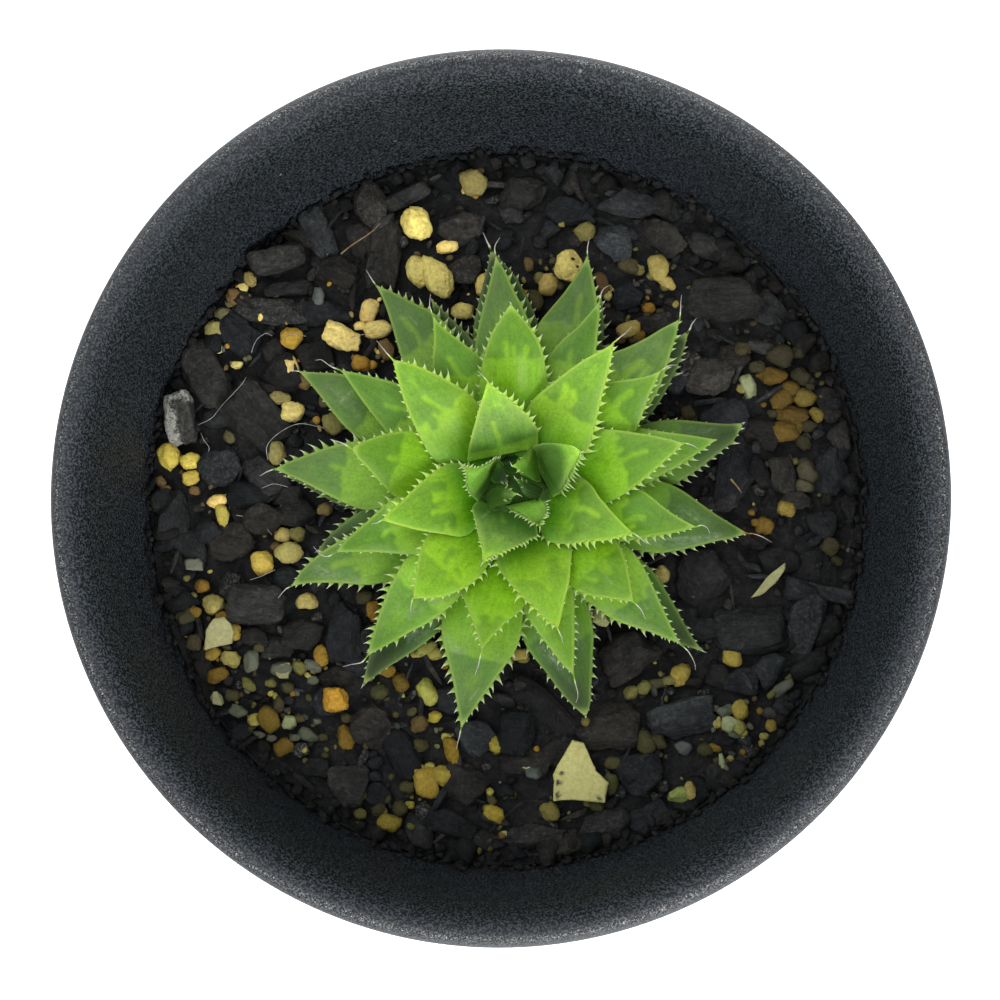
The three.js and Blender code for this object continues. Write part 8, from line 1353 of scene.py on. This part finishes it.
def plate(out, z, thick, colour, slope=(0.0, 0.0)):
    """A thin flat flake with a broken outline."""
    out = np.array(out)
    if ((out[:, 0] * np.roll(out[:, 1], -1) - np.roll(out[:, 0], -1) * out[:, 1]).sum()) < 0:
        out = out[::-1]
    per = np.concatenate([out[i] + (out[(i + 1) % len(out)] - out[i]) * np.linspace(0, 1, 9)[:-1, None] for i in range(len(out))])
    per = (np.roll(per, 1, 0) + per * 2 + np.roll(per, -1, 0)) / 4
    c = per.mean(0)
    d = (per - c) / np.linalg.norm(per - c, axis=1)[:, None]
    per = per + d * (0.07 * fbm(np.concatenate([per, per[:, :1] * 0], 1), 1.6, 3, 81))[:, None]
    rows = []
    for f, h in ((0.94, 0.0), (1.0, 0.2), (1.0, 0.75), (0.975, 0.95), (0.92, 1.0), (0.75, 1.0), (0.5, 1.0), (0.25, 1.0)):
        q = c + (per - c) * f
        rows.append(np.concatenate([q, np.full((len(q), 1), z + thick * h)], 1))
    G = np.array(rows)
    G[4:, :, 2] += 0.09 * fbm(G[4:].reshape(-1, 3), 1.1, 3, 83).reshape(G[4:].shape[:2])
    n, k = len(rows), len(per)
    V = np.concatenate([G.reshape(-1, 3), [[*c, z]], [[*c, z + thick]]])
    V[:, 2] += (V[:, 0] - c[0]) * slope[0] + (V[:, 1] - c[1]) * slope[1]
    F = [grid_faces(n, k, wrap=True), fan(n * k, np.arange(k), flip=True), fan(n * k + 1, np.arange(k) + (n - 1) * k)]
    # the flake tint carries the painted light and shade across the mix
    tint = np.array(lin(*colour)) * (1 + 0.10 * fbm(V, 0.7, 3, 85))[:, None] * painted_light_falloff(*c)
    PEB["pale"].add(V, F, tint=tint, soot=0.10)


plate([(-30.84, -12.03), (-29.6, -11.76), (-28.87, -12.58), (-28.55, -13.39), (-28.69, -13.84), (-28.8, -14.63), (-29.81, -14.85), (-31.74, -15.34), (-31.68, -14.26), (-31.62, -13.32)],
      57.7, 0.75, (204, 200, 142), (0.05, 0.08))
plate([(-30.84, -19.69), (-30.36, -19.66), (-29.93, -20.58), (-29.81, -21.22), (-30.88, -21.0)], 57.5, 0.6, (190, 190, 140))
plate([(-24.67, -17.11), (-23.51, -16.79), (-22.61, -16.58), (-22.81, -18.37), (-23.82, -18.27)], 57.3, 0.7, (170, 168, 116), (0.1, 0.0))
plate([(25.91, -9.94), (26.55, -9.16), (27.71, -7.64), (29.6, -6.17), (29.49, -7.01), (28.43, -8.48), (27.06, -9.63)], 58.0, 0.7, (178, 176, 124), (0.0, 0.12))

piece(PEB["cream"].mesh("pebbles_cream", MAT["cream"]), "growing_mix")
piece(PEB["orange"].mesh("pebbles_orange", MAT["orange"]), "growing_mix")
piece(PEB["pale"].mesh("pebbles_pale", MAT["pale"]), "growing_mix")


# ---------------------------------------------------------------- the seven larger stones
def named_stone(node, build):
    s = Soup()
    build(s)
    lo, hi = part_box(node)
    lo, hi = np.array(lo) / MM, np.array(hi) / MM
    V = np.concatenate(s.v)
    mid, want = (V.min(0) + V.max(0)) / 2, (lo + hi) / 2
    k = (hi - lo) / (V.max(0) - V.min(0))
    s.v = [(v - mid) * k + want for v in s.v]
    for v in s.v:
        r = np.hypot(v[:, 0], v[:, 1])
        v[:, :2] *= np.minimum(1, (wall(v[:, 2]) - 0.10) / np.maximum(r, 1e-6))[:, None]
    return s


def one_lump(size, deg, level, tint=None, seed=1, **kw):
    def f(s):
        r = np.random.default_rng(seed)
        place_lump(s, 0, 0, 0, size, deg, r, level, tint=tint, tilt=0, roll=0, **kw)
    return f


def double_pebble(s):
    r = np.random.default_rng(5)
    c = np.array(lin(198, 184, 104))
    place_lump(s, -1.45, 0.35, -0.1, (1.35, 1.75, 1.25), 8, r, 5, tint=c, soot=0.14, rough=0.16, cuts=3, cut=0.92, grit=0.20, tilt=0, roll=0)
    place_lump(s, 0.75, -0.30, 0.1, (2.55, 1.50, 1.45), -58, r, 5, tint=c * 1.03, soot=0.10, rough=0.20, cuts=5, cut=0.84, grit=0.22, tilt=0, roll=0)


def hole_pebble(s):
    r = np.random.default_rng(8)
    c = np.array(lin(202, 186, 104))
    place_lump(s, 0, 0, 0, (1.6, 1.8, 1.35), 0, r, 5, tint=c, soot=0.10, rough=0.16, cuts=4, cut=0.88, grit=0.18, tilt=0, roll=0)
    V = s.v[0]
    # the holes are darkened as painted shade in their recesses
    for (hx, hy, rad, dep) in ((0.42, 0.62, 0.30, 0.55), (0.95, -0.15, 0.24, 0.45)):
        d = np.hypot(V[:, 0] - hx, (V[:, 1] - hy) * 1.4)
        k = smooth(rad, rad * 0.35, d) * (V[:, 2] > 0.2)
        V[:, 2] -= dep * k
        s.a["soot"][-1] = np.maximum(s.a["soot"][-1], k * 1.6)
        s.a["tint"][-1] = s.a["tint"][-1] * (1 - 0.86 * np.clip(k * 1.3, 0, 1))[:, None]


def shard(s):
    out = np.array([(7.13, -24.77), (8.38, -25.08), (9.62, -28.0), (10.99, -29.24), (10.56, -31.33), (7.11, -31.02), (5.12, -31.12), (5.13, -28.32), (6.17, -26.34)])
    c = out.mean(0)
    n = 160
    per = []
    m = len(out)
    for i in range(m):
        a, b = out[i], out[(i + 1) % m]
        for k in range(n // m + 1):
            per.append(a + (b - a) * k / (n // m + 1))
    per = np.array(per)
    per = (np.roll(per, 1, 0) + per * 2 + np.roll(per, -1, 0)) / 4
    wv = 0.10 * fbm(np.concatenate([per, per[:, :1] * 0], 1), 1.3, 3, 71)
    d = (per - c) / np.linalg.norm(per - c, axis=1)[:, None]
    per = per + d * wv[:, None]
    rows = []
    for f, z in ((0.97, 0.0), (1.0, 0.15), (1.0, 1.35), (0.985, 1.58), (0.95, 1.68), (0.85, 1.7), (0.7, 1.7), (0.5, 1.7), (0.3, 1.7), (0.12, 1.7)):
        q = c + (per - c) * f
        rows.append(np.concatenate([q, np.full((len(q), 1), z)], 1))
    G = np.array(rows)
    N = fbm(G.reshape(-1, 3), 0.55, 3, 73).reshape(G.shape[:2])
    N2 = fbm(G.reshape(-1, 3), 2.6, 3, 74).reshape(G.shape[:2])
    G[4:, :, 2] += (0.16 * N[4:] + 0.05 * N2[4:])
    k = len(per)
    V = np.concatenate([G.reshape(-1, 3), [[*c, 0.0]], [[*c, 1.7]]])
    F = [grid_faces(len(rows), k, wrap=True), fan(len(rows) * k, np.arange(k), flip=True), fan(len(rows) * k + 1, np.arange(k) + (len(rows) - 1) * k)]
    tint = np.broadcast_to(np.array(lin(184, 180, 116)), (len(V), 3)) * (0.96 + 0.12 * fbm(V, 0.6, 3, 75))[:, None]
    soot = np.zeros(len(V))
    for (px, py, rad) in ((5.7, -29.2, 0.34), (5.95, -28.2, 0.22), (9.95, -30.8, 0.3), (5.55, -30.6, 0.35)):
        soot = np.maximum(soot, 1.3 * smooth(rad, rad * 0.4, np.hypot(V[:, 0] - px, (V[:, 1] - py) * 0.6)))
    area = ((per[:, 0] * np.roll(per[:, 1], -1) - np.roll(per[:, 0], -1) * per[:, 1]).sum()) / 2
    if area < 0:
        F = [f[:, ::-1] for f in F]
    s.add(V, F, tint=tint, soot=soot)


def bark_one(size, deg, level, seed, tone, ash, **kw):
    return one_lump(size, deg, level, None, seed, rnd=0.4, tone=tone, ash=ash, **kw)


def crusted(s):
    bark_one((4.6, 2.65, 1.75), 102, 5, 23, 0.92, 0.0, boxy=0.75, rough=0.14, cuts=5, cut=0.88, ridge=0.07, grit=0.26)(s)
    V = s.v[0]
    side = -V[:, 0] * math.cos(math.radians(12)) - V[:, 1] * math.sin(math.radians(12))
    n = fbm(V, 0.9, 3, 88)
    s.a["ash"][-1] = np.clip(smooth(-0.2, 1.4, side + 0.9 * n) + 0.9 * smooth(2.0, 3.6, V[:, 1] + 0.8 * n) + 0.24, 0, 1)


ALL_NAMED = [
    ("pebble_cream_double", "pebble_cream", "cream", double_pebble), ("pebble_cream_hole", "pebble_cream", "cream", hole_pebble),
    ("pebble_orange_lower", "pebble_orange", "orange", one_lump((1.45, 1.35, 1.15), 0, 5, np.array(lin(180, 136, 42)), 12, soot=0.30, boxy=0.45, rough=0.16, cuts=5, cut=0.84, grit=0.16)),
    ("chip_dark_oval", "bark_dark", "bark", bark_one((4.4, 2.6, 1.1), 0, 5, 21, 0.34, 0.05, boxy=0.3, rough=0.20, cuts=7, cut=0.78, ridge=0.06, grit=0.30)),
    ("chip_log_upper", "bark_dark", "bark", bark_one((3.75, 2.0, 1.55), 17, 5, 22, 0.80, 0.10, boxy=0.75, rough=0.12, cuts=4, cut=0.9, ridge=0.05, grit=0.20)),
    ("chip_grey_left", "bark_dark", "bark", crusted),
    ("chunk_dark_left", "bark_dark", "bark", bark_one((3.5, 2.25, 1.3), -5, 5, 24, 0.55, 0.05, boxy=0.55, rough=0.16, cuts=5, cut=0.84, ridge=0.05, grit=0.26)),
    ("shard_pale", "shard_pale", "pale", shard),
]
for node, slot, mat, build in ALL_NAMED:
    piece(named_stone(node, build).mesh("fine_" + node, MAT[mat]), slot, node)


# ---------------------------------------------------------------- threads on the mix
def thread(name, pts, r0, r1, mat):
    P0 = np.array(pts, float)
    u = np.linspace(0, len(P0) - 1, 14 * len(P0))
    path = catmull(P0, u)
    f = np.linspace(0, 1, len(path))
    rad = r0 + (r1 - r0) * f
    d = np.gradient(path, axis=0)
    d /= np.linalg.norm(d, axis=1)[:, None]
    sv = np.cross(np.array([0, 0, 1.0]), d)
    sv /= np.linalg.norm(sv, axis=1)[:, None]
    nn = np.cross(d, sv)
    k = 7
    ang = np.linspace(0, 2 * math.pi, k, endpoint=False)
    R = path[:, None] + sv[:, None] * (rad[:, None] * np.cos(ang))[..., None] + nn[:, None] * (rad[:, None] * np.sin(ang))[..., None]
    n = len(path)
    V = np.concatenate([R.reshape(-1, 3), path[:1], path[-1:]])
    s = Soup()
    s.add(V, [grid_faces(n, k, wrap=True), fan(n * k, np.arange(k), flip=True), fan(n * k + 1, np.arange(k) + (n - 1) * k)])
    return s.mesh(name, mat)


def ground(x, y, up):
    return (x, y, float(soil_height(np.array([x]), np.array([y]))[0]) + up)


THREADS = [
    ('hair_arc', [(-25.14,4.87,1.2), (-25.23,6.23,1.4), (-24.34,7.37,1.7), (-22.72,8.31,1.9), (-21.45,8.62,1.9), (-20.08,8.42,1.7), (-19.16,8.24,1.4)], 0.045, 0.04, 'hair'),
    ('hair_left', [(-23.55,17.64,1.8), (-23.2,18.04,2), (-22.55,18.23,2.1), (-21.71,18.13,2), (-21.09,18.05,1.8)], 0.035, 0.03, 'hair'),
    ('hair_left2', [(-27.01,16.42,1.4), (-26.76,17.13,1.7), (-26.21,17.85,1.9), (-25.37,18.4,1.8), (-24.76,18.12,1.5)], 0.035, 0.03, 'hair'),
    ('hair_left3', [(-32.33,7.78,1.2), (-31.97,7.01,1.4), (-31.43,6.15,1.4), (-31.77,5.43,1.2)], 0.03, 0.03, 'hair'),
    ('hair_left4', [(-32.59,8.6,1.6), (-31.06,9.31,1.9), (-29.96,10.66,2.2), (-28.05,12.68,2.2), (-27.46,13.68,1.9)], 0.03, 0.03, 'hair'),
    ('hair_mid', [(-16.1,17.8,2.6), (-15.13,17.99,2.7), (-13.97,18.22,2.6)], 0.035, 0.03, 'hair'),
    ('hair_low', [(-26.91,-7.92,1.6), (-25.61,-7.51,1.8), (-24.24,-6.87,1.7)], 0.03, 0.03, 'hair'),
    ('hair_low2', [(-28.48,-1.01,1.4), (-26.96,-1.34,1.6), (-25.67,-1.99,1.6), (-24.63,-3.14,1.4)], 0.03, 0.03, 'hair'),
    ('hair_deep', [(-25.75,1.88,1.2), (-24.45,2.28,1.4), (-22.98,1.98,1.2)], 0.03, 0.03, 'hair'),
    ('straw', [(-17.38,26.83,1.9), (-16.37,27.6,2.4), (-15.18,28.31,2.6), (-14.01,29.16,2.6), (-13.19,30.07,2.3)], 0.1, 0.06, 'straw'),
    ('twig', [(1.53,-18.17,0.5), (3.02,-18.8,0.8), (4.6,-19.96,0.9), (6.07,-21.43,0.8), (7.43,-22.9,0.5)], 0.42, 0.25, 'bark'),
    ('straw_right', [(23.93,2.61,1.7), (24.55,1.86,1.8), (25.07,1.13,1.7)], 0.13, 0.06, 'straw'),
]
for name, pts, r0, r1, mat in THREADS:
    ob = thread(name, [ground(*p) for p in pts], r0, r1, MAT[mat])
    piece(ob, "growing_mix")


# ---------------------------------------------------------------- stage, light, camera
def build_floor():
    s = Soup()
    n, seg = 40, 96
    rr = 15000.0 * (np.linspace(0, 1, n + 1)[1:]) ** 3
    ang = np.linspace(0, 2 * math.pi, seg, endpoint=False)
    G = np.stack([rr[:, None] * np.cos(ang), rr[:, None] * np.sin(ang), np.full((n, seg), -0.02)], -1)
    V = np.concatenate([G.reshape(-1, 3), [[0, 0, -0.02]]])
    s.add(V, [grid_faces(n, seg, wrap=True, flip=True), fan(n * seg, np.arange(seg))])
    ob = s.mesh("floor", floor_material())


build_floor()


def area(name, loc, target, size, power, colour=(1, 1, 1)):
    l = bpy.data.lights.new(name, "AREA")
    l.shape = "RECTANGLE"
    l.size, l.size_y = size
    l.energy = power
    l.color = colour
    o = bpy.data.objects.new(name, l)
    bpy.context.scene.collection.objects.link(o)
    o.location = loc
    d = Vector(target) - Vector(loc)
    o.rotation_euler = d.to_track_quat("-Z", "Y").to_euler()
    return o


area("overhead", (-0.26, 0.12, 0.78), (0, 0, 0.06), (0.8, 0.8), 4.4)
area("key", (0.26, -0.50, 0.56), (0, 0, 0.06), (0.55, 0.35), 4.6)
area("front_low", (0.08, -0.60, 0.045), (0, 0, 0.06), (0.7, 0.05), 4.5)
area("rear_low", (0.0, 0.60, 0.045), (0, 0, 0.06), (0.7, 0.05), 4)

world = bpy.data.worlds.new("studio")
bpy.context.scene.world = world
world.use_nodes = True
world.node_tree.nodes["Background"].inputs[0].default_value = (0.95, 0.98, 1.0, 1.0)
world.node_tree.nodes["Background"].inputs[1].default_value = WORLD

vs = bpy.context.scene.view_settings
vs.view_transform = "Standard"
vs.look = "None"
vs.exposure = 0.0
vs.gamma = 1.0

SX, SY = 0.0410, 0.0807
SZ = math.sqrt(1 - SX * SX - SY * SY)
d = Vector((SX, -SY, SZ))
right = Vector((0, 1, 0)).cross(d).normalized()
upv = d.cross(right)
cam = bpy.data.cameras.new("camera")
cam.sensor_width = 36.0
cam.lens = 94.19
cam.clip_start, cam.clip_end = 0.01, 20.0
cam_ob = bpy.data.objects.new("camera", cam)
bpy.context.scene.collection.objects.link(cam_ob)
M4 = Matrix.Identity(4)
for r_ in range(3):
    M4[r_][0], M4[r_][1], M4[r_][2] = right[r_], upv[r_], d[r_]
loc = Vector((0.01092, -0.02184, 0.33385))
M4[0][3], M4[1][3], M4[2][3] = loc
cam_ob.matrix_world = M4
bpy.context.scene.camera = cam_ob
